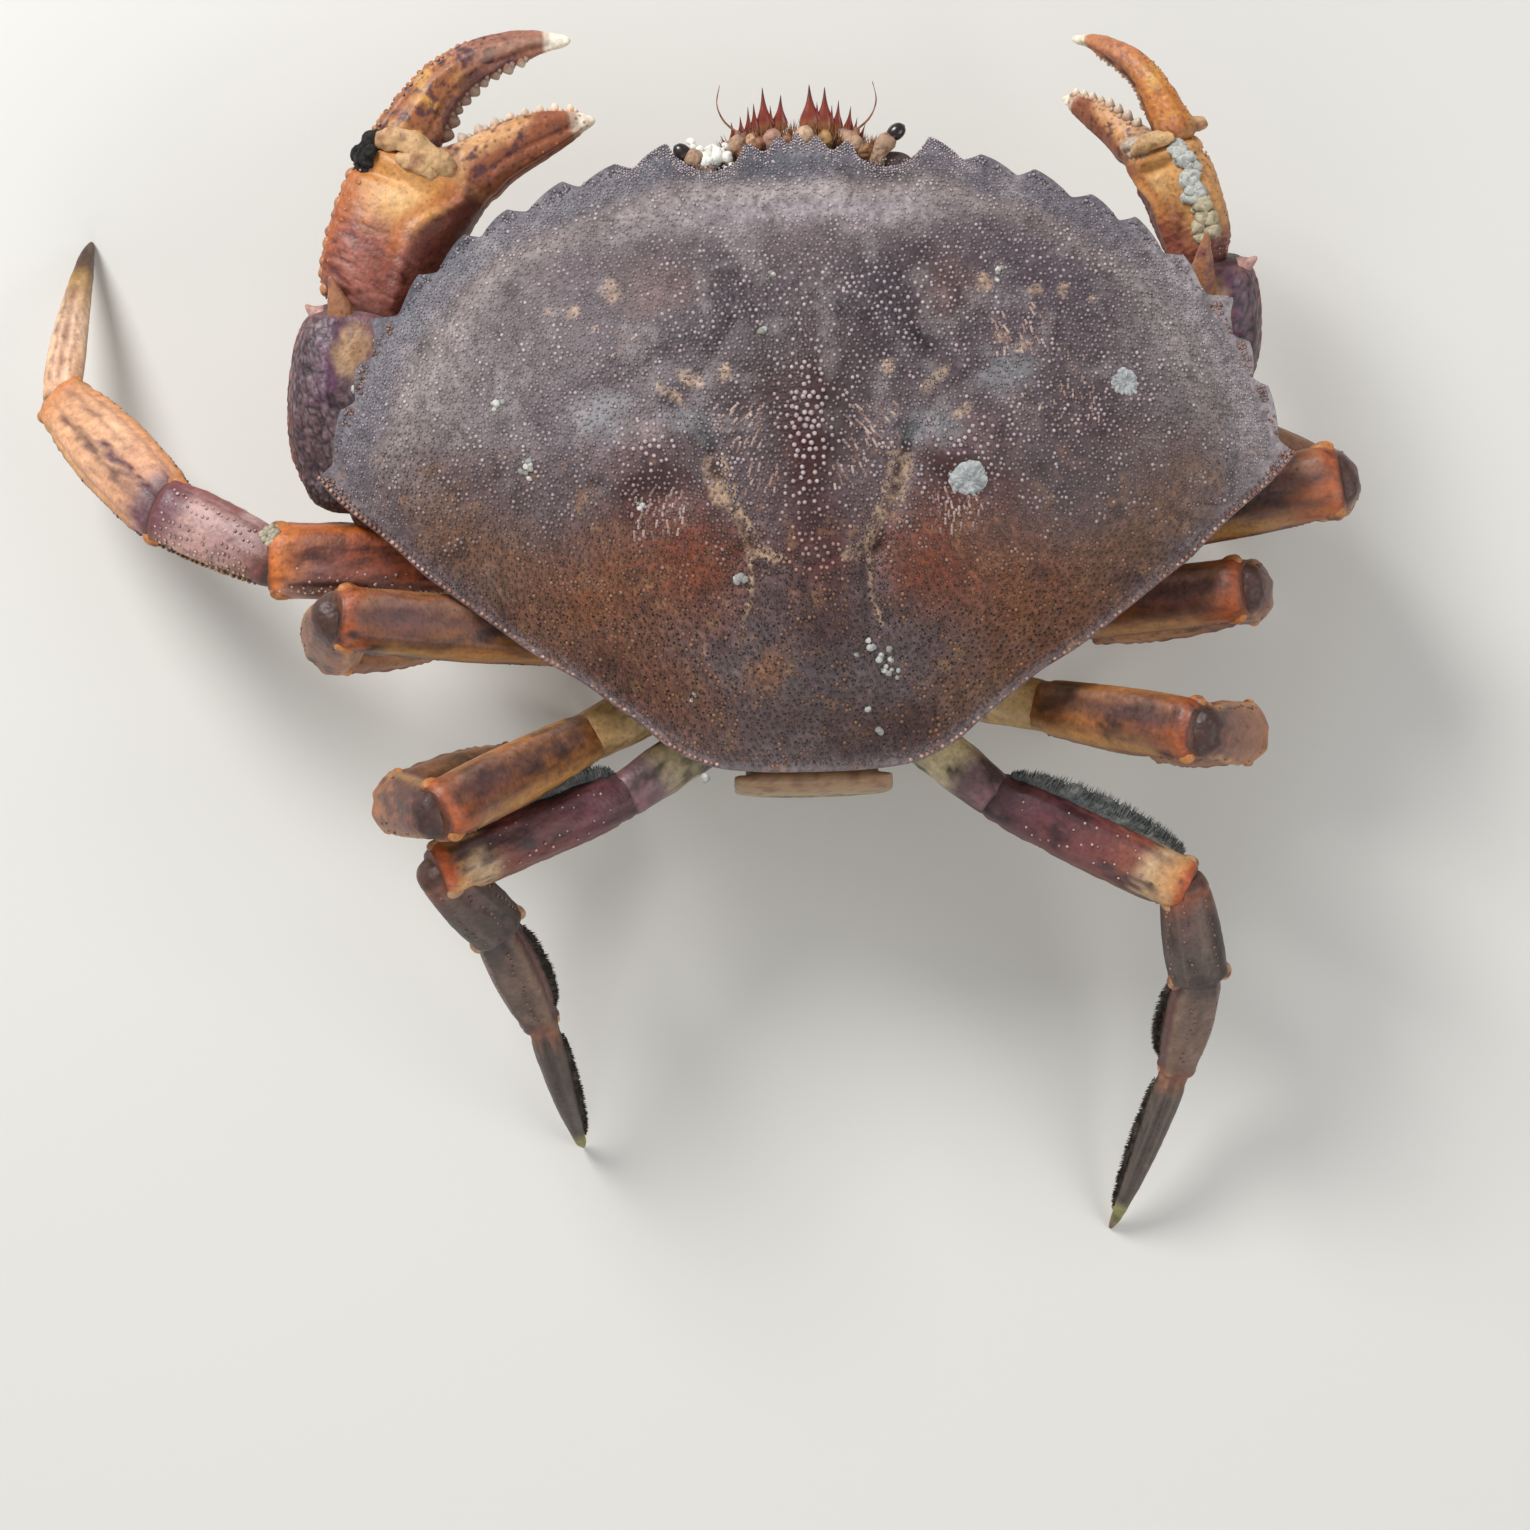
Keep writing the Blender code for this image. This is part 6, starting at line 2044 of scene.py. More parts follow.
FINGER = ((27.2, 7.2, 3.0, 2.8), (28.4, 7.1, 5.0, 4.3), (30.5, 6.8, 6.2, 4.9), (36.0, 6.2, 5.5, 4.3),
          (42.0, 5.2, 4.7, 3.8),
          (47.5, 2.7, 4.0, 3.3), (52.6, -1.6, 3.4, 2.7), (56.6, -6.6, 2.4, 2.0), (59.0, -11.0, 1.2, 1.1),
          (59.8, -12.6, 0.4, 0.4))
# The length of each piece's middle line, in millimetres.
PALM_LENGTH, FINGER_LENGTH = 50, 48


@dataclass
class ClawLimb:
    """One claw limb: hip, merus, carpus, palm with its fixed finger, and the moving finger."""
    place: Place
    rng: random.Random
    side: Side
    lengths: tuple[float, float, float]
    compass: tuple[float, float, float]
    dips: tuple[float, float, float]
    widths: tuple[float, float, float]
    heights: tuple[float, float, float]
    along: tuple[float, float, float]
    across: tuple[float, float, float]
    size: float
    spine: tuple[tuple[float, float, float], ...]
    root: tuple[float, float, float] = (25.0, -1.0, 45.0)

    def arm(self) -> np.ndarray:
        """Build hip, merus and carpus.

        Returns:
            The joint where the palm starts.
        """
        sign = self.side.value
        spot = np.array((sign * self.root[0], self.root[1], self.root[2]))
        for k, (name, profile) in enumerate((("hip", HIP), ("merus", MERUS), ("carpus", CLAW_CARPUS))):
            turn, fall = math.radians(self.compass[k]), math.radians(self.dips[k])
            axis = np.array((sign * math.cos(turn) * math.cos(fall), math.sin(turn) * math.cos(fall),
                             -math.sin(fall)))
            across = np.array((-sign * math.sin(turn), math.cos(turn), 0))
            wide = name == "carpus"
            fine = 3 if wide and self.side is Side.LEFT else 2
            article = Article(f"{self.side.word}_claw_{name}_piece", spot + across * (1.1 if wide else 0),
                              axis, across, self.lengths[k], self.widths[k] * (1.16 if wide else 1),
                              self.heights[k], profile, ARM_SKINS[name], power=2.5,
                              levels=1 if name == "hip" else fine, seed=900 + k * 11 + sign)
            piece = article.build()
            if name == "carpus":
                self.scale_over(piece, article)
            self.place.settle(piece, CLAW, "arm", (f"{self.side.word}_claw_{name}",))
            spot = spot + axis * self.lengths[k]
        return spot

    def scale_over(self, piece: bpy.types.Object, article: Article) -> None:
        """Cover the carpus with low scales, and give it its spines and the lime in its inner corner.

        Args:
            piece: The carpus.
            article: Its sizes and directions.
        """
        points, outs = points_of(piece), normals_of(piece)
        local, along, angle, _ = article.measure(points)
        inner = ease(angle, 68, 76) * (1 - ease(angle, 106, 118)) * ease(along, 0.52, 0.6)
        rough = ease(np.cos(np.radians(angle - 40)), -0.3, 0.2) * (1 - ease(along, 0.93, 1.0)) * (1 - inner)
        cells, fine = scales(local * (0.85, 1.1, 1), 1.75, 5, 0.22), scales(local, 0.8, 6)
        lift = (cells - 0.5) * 0.15 * rough + (fine - 0.5) * 0.08 * rough
        lift += 0.8 * np.exp(-((angle - 50) / 16) ** 2) * ease(along, 0.1, 0.4) * (1 - ease(along, 0.9, 1.0))
        layer = np.zeros(len(points) * 4)
        piece.data.attributes["tint"].data.foreach_get("color", layer)
        colour = tone(layer.reshape(-1, 4)[:, :3], "20141a", (1 - cells) * rough * 0.9)
        colour = tone(colour, "94808a", cells * rough * cloud(local, 0.7, 0.0, 0.8, 7) * 0.5)
        set_points(piece, points + outs * lift[:, None])
        paint(piece, colour, 0.2)
        root, tip = (np.array(spot) for spot in self.spine)
        extras = [dapple(sweep((root, (root * 0.5 + tip * 0.5) + (0, 0, 0.5), tip), (3.3, 2.6, 1.5, 0.3)),
                         "a06c4c", "74464e", 2.2, 5)]
        for part, turn, reach, radius in ((0.97, 28, 3.4, 1.9), (0.7, 12, 1.6, 1.3), (0.45, 8, 1.4, 1.2),
                                          (0.99, 150, 3.0, 1.7)):
            base, out = article.edge(part, turn, 0.85)
            way = unit(out * 0.8 + article.axis * 0.6)
            extras.append(dapple(sweep((base - out, base + way * reach * 0.5, base + way * reach),
                                       (radius, radius, radius * 0.5, 0.25)),
                                 "b78c80", "7a4e58", 1.6, 6))
        join([piece] + extras, piece.name)
        lime = Seeds()
        for part, turn, count, radius in ((0.53, 100, 7, 1.5), (0.68, 112, 6, 0.9),
                                          (0.82, 112, 7, 0.9), (0.9, 106, 4, 0.7)):
            for _ in range(count if self.side is Side.LEFT else 0):
                spot, out = article.edge(part + self.rng.gauss(0, 0.03), turn + self.rng.gauss(0, 6), 0.98)
                lime.add(spot, out + [self.rng.uniform(-0.5, 0.5) for _ in range(3)],
                         radius * self.rng.uniform(0.5, 1.1), "b9b8a8")
        if lime.rows:
            crust = dapple(lime.build("carpus_lime", 9, 6, 0.9), "c2c0b2", "7e7c70", 1.2, 3, 0.8, 0.2)
            self.place.settle(crust, LIME, "arm")

    def paint_palm(self, piece: bpy.types.Object, form: ClawPiece) -> None:
        """Wrinkle the palm, raise its keel and colour it.

        Args:
            piece: The palm with its fixed finger.
            form: Its sizes and directions.
        """
        points, outs = points_of(piece), normals_of(piece)
        local, part, angle, reach = form.measure(points)
        a, c, t = local.T
        hand = 1 - ease(a, 26, 31)
        creased = wander(local * (2.0, 0.5, 0.5), 1.3, 61) + 0.7 * wander(local * (2.2, 0.6, 0.6), 0.75, 62)
        lift = 0.1 * creased * hand + 0.05 * wander(local, 0.9, 63) + 0.14 * wander(local, 4.0, 64)
        keels = (Line(-152, 0.9, 0.4, start=0.12, end=0.95), Line(32, 0.9, 0.3, start=0.15, end=0.55),
                 Line(172, 0.8, -0.3, start=0.6, end=0.97), Line(115, 0.7, -0.5, start=0.64, end=0.95),
                 Line(70, 0.8, 0.35, start=0.62, end=0.95), Line(150, 0.8, 0.3, start=0.62, end=0.95))
        for line in keels:
            lift += line.height * line.share(part, angle, reach, PALM_LENGTH)
        keel = -4.0 + 0.12 * a - ease(a, 16, 27) * 6.5 - ease(a, 29, 44) * 8
        drift = wander(local, 5.0, 65) * 2.2 + wander(local, 1.8, 66) * 1.2
        lift += 0.55 * np.exp(-((c - keel) / 0.9) ** 2) * hand * ease(a, 1, 5)
        lift += 0.9 * np.exp(-((a - 26.6) / 1.6) ** 2) * ease(np.abs(t), 2, 6) * ease(c, -7, 0)
        lift -= 0.7 * np.exp(-((a - 23.6) / 1.1) ** 2) * ease(c, -5, 3)
        set_points(piece, points + outs * lift[:, None])
        colour = tone(flood(points, "864636"), "a8695a", ease(creased, -0.2, 1.0) * hand * 0.7)
        colour = tone(colour, "4e1d16", ease(-creased, 0.0, 0.9) * hand * 0.8)
        colour = tone(colour, "c5853e", ease(a + drift, 12, 22) * ease(c + drift * 0.6, -9, -2) * 0.9)
        # Painted highlight: a soft pale golden spot on top of the palm.
        colour = tone(colour, "e0b67e", np.exp(-(((a - 21) / 4.0) ** 2 + ((c - 2.5) / 4.5) ** 2)) * 0.75)
        colour = tone(colour, "a8551e", ease(c + drift, 7, 11) * ease(a, 2, 8) * 0.75)
        colour = tone(colour, "b8672a", np.exp(-((c - keel - 2.4) / 1.2) ** 2) * ease(a, 8, 14) * hand * 0.6)
        low = ease(keel - c + drift * 0.3, 0.0, 1.8)
        colour = tone(colour, "5a241a", low * hand * 0.95)
        colour = tone(colour, "7a3a22", low * hand * ease(creased, 0.3, 1.2) * 0.5)
        colour = tone(colour, "40201f", (1 - ease(a + drift * 0.5, -1, 5)) * 0.75)
        finger = ease(a + drift * 0.3, 26, 30)
        colour = tone(colour, "cc9764", finger * 0.9)
        colour = tone(colour, "e0bb94", finger * ease(c - keel, 3, 8) * 0.75)
        colour = tone(colour, "7c3418", finger * ease(keel + 0.6 - c + drift * 0.3, -1.5, 1.0) * 0.85)
        colour = tone(colour, "4c222b",
                      finger * cloud(local, 1.5, 0.2, 0.7, 67) * 0.9 * (1 - ease(part, 0.86, 0.92)))
        colour = tone(colour, "5a2a22",
                      finger * np.exp(-(((a - 31) / 3) ** 2 + ((c + 1.5) / 2.6) ** 2)) * 0.8)
        if self.side is Side.RIGHT:
            colour = tone(colour, "c9955a", (1 - low) * ease(c + 2 * drift, 0, 8) * ease(a, 3, 9) * 0.8)
        colour = tone(colour, "efe0ca", ease(part + 0.01 * drift, 0.9, 0.96))
        paint(piece, colour * (1 + 0.16 * wander(local, 0.9, 69))[:, None], 0.25 * finger + 0.15)

    def paint_finger(self, piece: bpy.types.Object, form: ClawPiece) -> None:
        """Groove the moving finger and colour it.

        Args:
            piece: The moving finger.
            form: Its sizes and directions.
        """
        points, outs = points_of(piece), normals_of(piece)
        local, part, angle, reach = form.measure(points)
        lift = 0.07 * wander(local, 0.8, 71) + 0.14 * wander(local, 2.6, 72)
        for line in (Line(128, 0.8, -0.6, start=0.12, end=0.92), Line(-128, 0.8, -0.6, start=0.12, end=0.92),
                     Line(82, 0.8, 0.35, start=0.1, end=0.9), Line(45, 0.7, -0.4, start=0.1, end=0.85),
                     Line(-82, 0.8, 0.35, start=0.1, end=0.9)):
            lift += line.height * line.share(part, angle, reach, FINGER_LENGTH)
        set_points(piece, points + outs * lift[:, None])
        drift = wander(local, 3.4, 73) + 0.6 * wander(local, 1.4, 74)
        left = self.side is Side.LEFT
        colour = tone(flood(points, "985a30" if left else "bd7434"), "cd9648",
                      ease(drift, -0.1, 0.9) * (1 - ease(part, 0.4, 0.6)) * 0.85)
        colour = tone(colour, "966250" if left else "b8744a", ease(part, 0.42, 0.62) * 0.9)
        upper = ease(np.abs(np.sin(np.radians(angle))), 0.1, 0.6) * (1 - ease(part, 0.66, 0.8))
        patches = np.maximum(cloud(local, 1.7, 0.15, 0.55, 76), cloud(local, 0.8, 0.35, 0.8, 79))
        colour = tone(colour, "4a2028", patches * upper * (0.9 if left else 0.3))
        colour = tone(colour, "4c1c26", (1 - ease(part + 0.03 * drift, 0.1, 0.22)) * (0.85 if left else 0.4))
        inner = ease(-np.cos(np.radians(angle)) + 0.2 * drift, 0.45, 0.85) * (1 - ease(part, 0.7, 0.85))
        colour = tone(colour, "42191c", inner * 0.85)
        colour = tone(colour, "d9b49a", np.exp(-((angle - 95) / 14) ** 2) * ease(part, 0.5, 0.7) * 0.4)
        colour = tone(colour, "f0e4d0", ease(part + 0.012 * drift, 0.85, 0.91))
        paint(piece, colour * (1 + 0.14 * wander(local, 0.9, 75))[:, None], 0.3 * (1 - ease(part, 0.7, 0.85)))

    def build_teeth(self, palm: ClawPiece, finger: ClawPiece) -> None:
        """Set the teeth of both fingers, and the knobs on the palm's outer edge.

        Args:
            palm: The palm's sizes and directions.
            finger: The moving finger's sizes and directions.
        """
        for name, form, angle, start, end, count in (("finger", finger, 180, 0.22, 0.8, 9),
                                                     ("palm", palm, 0, 0.66, 0.95, 8)):
            teeth = Seeds()
            for k in range(count):
                share = (k + 0.5) / count
                part = start + (end - start) * share
                big = (1.55 - 0.5 * share) * self.rng.uniform(0.85, 1.15) * self.size
                spot, out = form.edge(part, angle, 0.9)
                dull = name == "finger" and self.side is Side.LEFT
                pale = 0.15 + 0.5 * share ** 2 if dull else 0.6 + 0.4 * share
                tint = linear("5a2c26") + (linear("ecdcc4") - linear("5a2c26")) * pale
                teeth.add(spot, out + form.along * 0.25, big * (1.15 if dull else 1), tint)
                for turn in (-16, 15):
                    spot, out = form.edge(part + 0.4 * (end - start) / count, angle + turn, 0.93)
                    teeth.add(spot, out, big * 0.5, tint * 0.85)
            # The dark colour given to build() is the painted shade at each tooth's foot.
            built = teeth.build(f"{self.side.word}_{name}_teeth", 12, 9, 1.1 if dull else 1.5, "7a5444",
                                sharp=0.4)
            self.place.settle(built, CLAW, "claw")
        knobs = Seeds()
        warm = ("b8744c", "c98d64", "9a5a44")
        crest = 1.3 if self.side is Side.LEFT else 0.5
        for form, row in ((palm, BeadRow(17, 0.12, 0.56, 1.9, crest, warm, 2, 0.93)),
                          (palm, BeadRow(-8, 0.13, 0.55, 2.0, crest * 0.9, warm, 2, 0.93)),
                          (palm, BeadRow(38, 0.2, 0.5, 1.7, 0.34, warm, 5)),
                          (palm, BeadRow(150, 0.68, 0.9, 1.2, 0.3, warm, 4)),
                          (finger, BeadRow(6, 0.06, 0.6, 1.3, crest * 0.42, warm, 5)),
                          (finger, BeadRow(28, 0.06, 0.5, 1.2, crest * 0.3, warm, 8)),
                          (palm, BeadRow(8, 0.1, 0.6, 0.4, 0.26, warm, 26))):
            row.lay(knobs, form, PALM_LENGTH, self.rng)
        built = knobs.build(f"{self.side.word}_claw_knobs", 10, 7, 0.9)
        self.place.settle(dapple(built, "b67a50", "5a2e26", 1.5, 8, 0.8, 0.08), CLAW, "claw")

    def build_hinge(self, palm: ClawPiece) -> None:
        """Model the tan lobes that hold the moving finger, and the silt caught behind them.

        Args:
            palm: The palm's sizes and directions.
        """
        lobes = []
        for path, radii in (
                (((28.6, 11.0, 4.2), (30.2, 8.0, 6.0), (30.6, 4.0, 6.6), (29.8, 0.2, 6.4), (29.4, -4.2, 5.4)),
                 (1.2, 2.4, 2.0, 2.7, 2.1, 2.6, 1.4)),
                (((27.2, 6.0, 6.6), (27.6, 2.4, 7.0), (27.0, -2.0, 6.6)), (0.9, 1.7, 1.6, 0.8)),
                (((28.6, 10.4, -4.4), (30.0, 5.0, -6.2), (29.4, -2.0, -6.0)), (1.0, 2.2, 2.0, 1.0))):
            lobe = sweep([palm.to_crab(np.array(spot)) for spot in path],
                         [radius * self.size for radius in radii], 0.8)
            lobes.append(dapple(lobe, "c39c6e", "8a5a40", 2.0, 83, 0.75, 0.3, 0.3))
        self.place.settle(join(lobes, f"{self.side.word}_finger_hinge"), SKIN, "claw")
        if self.side is Side.LEFT:
            silt = Seeds()
            for _ in range(60):
                spot = palm.to_crab(np.array((self.rng.gauss(26.8, 1.4), self.rng.gauss(11.2, 0.7),
                                              self.rng.gauss(2.4, 1.4))))
                silt.add(spot, (self.rng.uniform(-1, 1), self.rng.uniform(-1, 1), 1),
                         self.rng.uniform(0.9, 1.9), "302e2c")
            heap = dapple(silt.build("claw_silt", 14, 10, 0.9), "1e1e1e", "3e3c38", 0.9, 3, 0.8, 0.3)
            self.place.settle(heap, FELT, "claw")

    def build_crust(self, palm: ClawPiece) -> None:
        """Grow the lime crust and the clear lump on the right palm's inner face.

        Args:
            palm: The palm's sizes and directions.
        """
        for name, start, end, turn, count, first, second in (
                ("palm_crust", 0.3, 0.5, -38, 46, "b9b9b2", "62635c"),
                ("palm_crust_foot", 0.18, 0.3, -36, 26, "b9ad90", "736a54"),
                ("palm_lump", 0.53, 0.62, -75, 26, "c0b0a0", "6e5a4a")):
            lumps = Seeds()
            for _ in range(count):
                spot, out = palm.edge(self.rng.uniform(start, end), turn + self.rng.gauss(0, 8), 1.0)
                lumps.add(spot, out + [self.rng.uniform(-0.5, 0.5) for _ in range(3)],
                          self.rng.uniform(0.6, 1.6), first)
            crust = dapple(lumps.build(name, 14, 11, 0.8), first, second, 0.9, 9, 0.7, 0.4)
            self.place.settle(crust, LIME, "claw")

    def build(self) -> None:
        """Build the whole limb."""
        wrist, word = self.arm(), self.side.word
        slim = 1.0 if self.side is Side.LEFT else 0.84
        palm, finger = (
            ClawPiece(f"{word}_{name}", wrist, np.array(self.along), np.array(self.across), sections,
                      self.size, slim, stations=count)
            for name, sections, count in (("palm", PALM, 40), ("finger", FINGER, 34)))
        for name, form, colour_it in (("palm", palm, self.paint_palm), ("finger", finger, self.paint_finger)):
            piece = tube(f"{word}_claw_{name}_piece", form.rings(), 2)
            colour_it(piece, form)
            self.place.settle(piece, CLAW, "claw", (f"{word}_claw_{name}",))
        self.build_teeth(palm, finger)
        self.build_hinge(palm)
        if self.side is Side.RIGHT:
            self.build_crust(palm)


def claw_limbs(place: Place, rng: random.Random) -> list[ClawLimb]:
    """The left and the right claw limb, held out in front; the right is the smaller.

    Args:
        place: Where the crab's frame lies.
        rng: The source of chance.

    Returns:
        The limbs.
    """
    return [ClawLimb(place, rng, Side.LEFT, (18.5, 40.0, 30.0), (-22, 14, -97), (-4, -8, -2),
                     (14.0, 16.5, 20.0), (13.0, 13.4, 14.6),
                     (-0.433, -0.902, 0.0), (0.902, -0.433, 0.0), 1.0,
                     ((80.4, -26.0, 55.5), (82.4, -34.6, 61.2))),
            ClawLimb(place, rng, Side.RIGHT, (16.0, 35.0, 23.0), (-27, -8, -93), (-4, 10, -20),
                     (12.6, 14.4, 15.6), (12.0, 12.6, 13.0),
                     (0.345, -0.935, 0.075), (-0.565, -0.145, 0.81), 0.78,
                     ((-71.0, -28.6, 50.5), (-71.6, -38.6, 58.8)))]


# ---------------------------------------------------------------- head and underside

@dataclass
class Head:
    """Eyes in their sockets, feelers, and the outer jaws with their bristles."""
    place: Place
    rng: random.Random
    rim: float = 64.0
    # Bristles seen from above: tip x, tip y, base x, base y, half width, each in millimetres.
    bristles: tuple = (
        (5.9, -65.4, 5.6, -58.4, 1.05), (2.7, -64.0, 3.0, -59.2, 0.95), (-2.3, -65.7, -2.4, -59.0, 1.3),
        (-5.0, -65.2, -4.8, -58.6, 1.15), (-7.4, -62.8, -7.0, -58.6, 0.7), (-9.5, -61.7, -8.9, -58.2, 0.65),
        (-10.6, -59.7, -9.8, -57.2, 0.5), (-12.0, -58.6, -10.8, -56.6, 0.45), (7.5, -62.6, 7.3, -57.9, 0.75),
        (8.5, -62.1, 8.4, -57.8, 0.6), (9.9, -60.4, 9.6, -57.4, 0.7), (11.5, -59.4, 10.9, -56.8, 0.7),
        (13.4, -57.1, 12.0, -55.4, 0.5), (3.8, -59.2, 4.1, -56.9, 0.6), (-1.5, -58.2, -1.0, -56.8, 0.45),
        (4.6, -62.2, 4.4, -58.6, 0.6), (-3.6, -62.6, -3.6, -58.8, 0.6), (-6.2, -62.0, -6.0, -58.4, 0.55))

    def build_bristles(self) -> None:
        """Model the chestnut bristles, each a flat blade with a broad foot and a drawn-out tip."""
        for side in Side:
            blades = []
            for tip_x, tip_y, base_x, base_y, half in self.bristles:
                if (base_x > 0) != (side is Side.LEFT):
                    continue
                root = np.array((base_x, base_y + 1.0, self.rim - 4.4))
                tip = np.array((tip_x, tip_y, self.rim - 2.0))
                middle = (root + tip) / 2 + (0, 0, 0.6)
                widths = [half * wide for wide in (1.1, 1.75, 1.6, 1.1, 0.62, 0.36, 0.18, 0.05)]
                blade = sweep((root, middle, tip), widths, 0.6, 8, 2, 10)
                spots = points_of(blade)
                height = (root[1] - spots[:, 1]) / (root[1] - tip_y)
                colour = tone(tone(flood(spots, "b87a4e"), "7c3020", ease(height, 0.02, 0.3)), "3c140f",
                              ease(height, 0.5, 1.0))
                paint(blade, colour)
                blades.append(blade)
            self.place.settle(join(blades, f"{side.word}_mouth_bristles"), HORN, "mouth")

    def build_jaws(self) -> None:
        """Model the outer jaws from under the body to the front edge, with the lobes and hair on them."""
        sections = ((-25.6, 29.6, 4.2, 2.4, 1.2), (-27.5, 29.0, 4.8, 3.7, 2.0), (-31.0, 27.6, 5.6, 4.8, 2.6),
                    (-38.5, 22.6, 6.4, 5.7, 2.9),
                    (-42.0, 19.2, 6.5, 5.6, 2.5), (-46.0, 15.2, 6.6, 6.0, 2.9), (-51.4, 10.6, 6.6, 6.0, 2.9),
                    (-56.2, 7.2, 6.4, 5.6, 2.5), (-58.6, 6.0, 6.2, 3.8, 1.5))
        lobes = {Side.LEFT: ((12.6, -53.4, 8.8, -57.6, 1.4, "b48f70", "4c2c46"),
                             (7.0, -54.6, 6.2, -56.6, 1.5, "9a6a4c", "6a3e30"),
                             (4.8, -54.6, 3.8, -58.2, 1.8, "ac8270", "7a4a44"),
                             (1.6, -54.6, 2.2, -57.2, 1.1, "9a6a50", "5c342c"),
                             (14.4, -52.4, 13.6, -54.6, 1.2, "94684a", "4c2c28"),
                             (8.8, -55.0, 7.4, -57.6, 0.9, "c29a74", "6a3e48")),
                 Side.RIGHT: ((-1.0, -54.8, -1.6, -58.6, 1.8, "c6a88a", "94705a"),
                              (-4.6, -54.8, -5.0, -57.8, 1.4, "b08a54", "6c4a2c"),
                              (-12.4, -53.0, -7.2, -57.8, 1.5, "b49074", "4e2c46"),
                              (-12.0, -53.0, -11.0, -55.4, 1.3, "a87c58", "54302c"),
                              (-3.0, -55.0, -3.2, -57.0, 0.9, "9a6048", "54302a"),
                              (-10.0, -55.6, -9.6, -57.2, 0.9, "c8a07a", "7c4c44"))}
        for side in Side:
            table = smooth_path(sections, 20)
            middles = np.column_stack((side.value * table[:, 2], table[:, 0], self.rim - table[:, 1]))
            rows = [oval_ring(middle, np.array((1.0, 0, 0)), unit(np.cross(way, (1, 0, 0))), line[3],
                              line[4], 20, 2.5)
                    for middle, way, line in zip(middles, np.gradient(middles, axis=0), table)]
            plate = tube("plate", np.array(rows), 2)
            points = points_of(plate)
            over = np.abs(points[:, 0])
            lift = 0.14 * wander(points, 1.8, 5) + 0.08 * wander(points, 0.7, 6)
            lift -= 0.6 * np.exp(-((over - 4.0) / 0.6) ** 2)
            joint = 0.6 * np.exp(-((points[:, 1] + 41.5 + 0.2 * over) / 0.7) ** 2)
            lift -= joint + 0.5 * np.exp(-((over - 9.4) / 0.6) ** 2)
            set_points(plate, points + normals_of(plate) * lift[:, None])
            colour = tone(flood(points, "bb9468"), "7e5242", cloud(points, 3.0, 0.0, 0.8, 7) * 0.7)
            colour = tone(colour, "6c4652", np.exp(-((over - 6.5) / 1.6) ** 2) * 0.5)
            # Darker along the sunken line where the plate's two parts meet.
            joint_darkening = np.exp(-((points[:, 1] + 41.5 + 0.2 * over) / 0.8) ** 2) * 0.7
            paint(plate, tone(colour, "4c3428", joint_darkening), 0.3)
            parts = [plate]
            for x, y, tip_x, tip_y, radius, first, second in lobes[side]:
                lobe = sweep(((x, y + 1.0, self.rim - 4.2),
                              ((x + tip_x) / 2, (y + tip_y) / 2, self.rim - 2.0),
                              (tip_x, tip_y, self.rim - 2.6)),
                             [radius * wide for wide in (0.7, 1.1, 1.0, 1.15, 1.0, 0.75, 0.25)], 0.75)
                dapple(lobe, first, second, radius * 0.9, int(x * 7) % 50, 0.6, 0.16, 0.3)
                spots = points_of(lobe)
                near = ease((y - spots[:, 1]) / (y - tip_y), 0.72, 1.1)
                layer = np.zeros(len(spots) * 4)
                lobe.data.attributes["tint"].data.foreach_get("color", layer)
                paint(lobe, tone(layer.reshape(-1, 4)[:, :3], second, near * 0.85), 0.2)
                parts.append(lobe)
            self.place.settle(join(parts, f"{side.word}_mouth_plate_piece"), SKIN, "mouth",
                              (f"{side.word}_mouth_plate",))
        roots = np.array([(x, -57.2 + 0.016 * x * x + self.rng.uniform(-0.9, 1.6),
                           self.rim - self.rng.uniform(1.6, 4.6))
                          for x in (self.rng.uniform(-13.5, 13.5) for _ in range(900))])
        shift = np.array([(self.rng.uniform(-0.6, 0.6), -self.rng.uniform(0.7, 2.3),
                           self.rng.uniform(-0.4, 1.0)) for _ in roots])
        fuzz = hairs("mouth_hair", roots, roots * (1.03, 1, 1) + shift, 0.09)
        paint(fuzz, linear("8a5636"))
        self.place.settle(fuzz, HORN, "mouth")

    def build_eyes(self) -> None:
        """Model the stalked eyes: a brown stalk, its socket floor, and the dark cornea on it."""
        for side, path, ball in (
                (Side.LEFT, ((15.0, -49.8, 0.3), (17.0, -51.8, 1.0), (19.4, -53.4, 1.0)),
                 (20.0, -53.7, 1.1)),
                (Side.RIGHT, ((-13.4, -50.4, 0.3), (-14.6, -53.6, 1.1), (-16.4, -55.6, 1.4)),
                 (-17.1, -56.2, 1.5))):
            line = [(x, y, self.rim + z) for x, y, z in path]
            stalk = sweep(line, (1.2, 1.5, 1.3, 1.5, 1.8, 1.75, 1.2), 0.9)
            dapple(stalk, "a4836a", "43282e", 1.3, 4, 0.95, 0.14, 0.4)
            middle = np.array((side.value * 16.4, -51.4, 0))
            rings = [oval_ring(middle + (0, 0, self.rim + z), np.array((1.0, 0, 0)), np.array((0, 1.0, 0)),
                               4.2 * s, 2.2 * s, 16, 2.0)
                     for z, s in ((-2.2, 0.7), (0.2, 1.0), (0.55, 0.3))]
            pan = tube("pan", np.array(rings), 1)
            paint(pan, linear("54403a"), 0.4)
            self.place.settle(join([stalk, pan], f"{side.word}_eye_stalk"), SKIN, "eye",
                              (f"{side.word}_eye",))
            middle = np.array((ball[0], ball[1], self.rim + ball[2]))
            way = unit((side.value * 0.8, -0.6, 0.15))
            radii = [1.45 * math.sqrt(max(0.004, 1 - (k / 5 - 1) ** 2)) for k in range(11)]
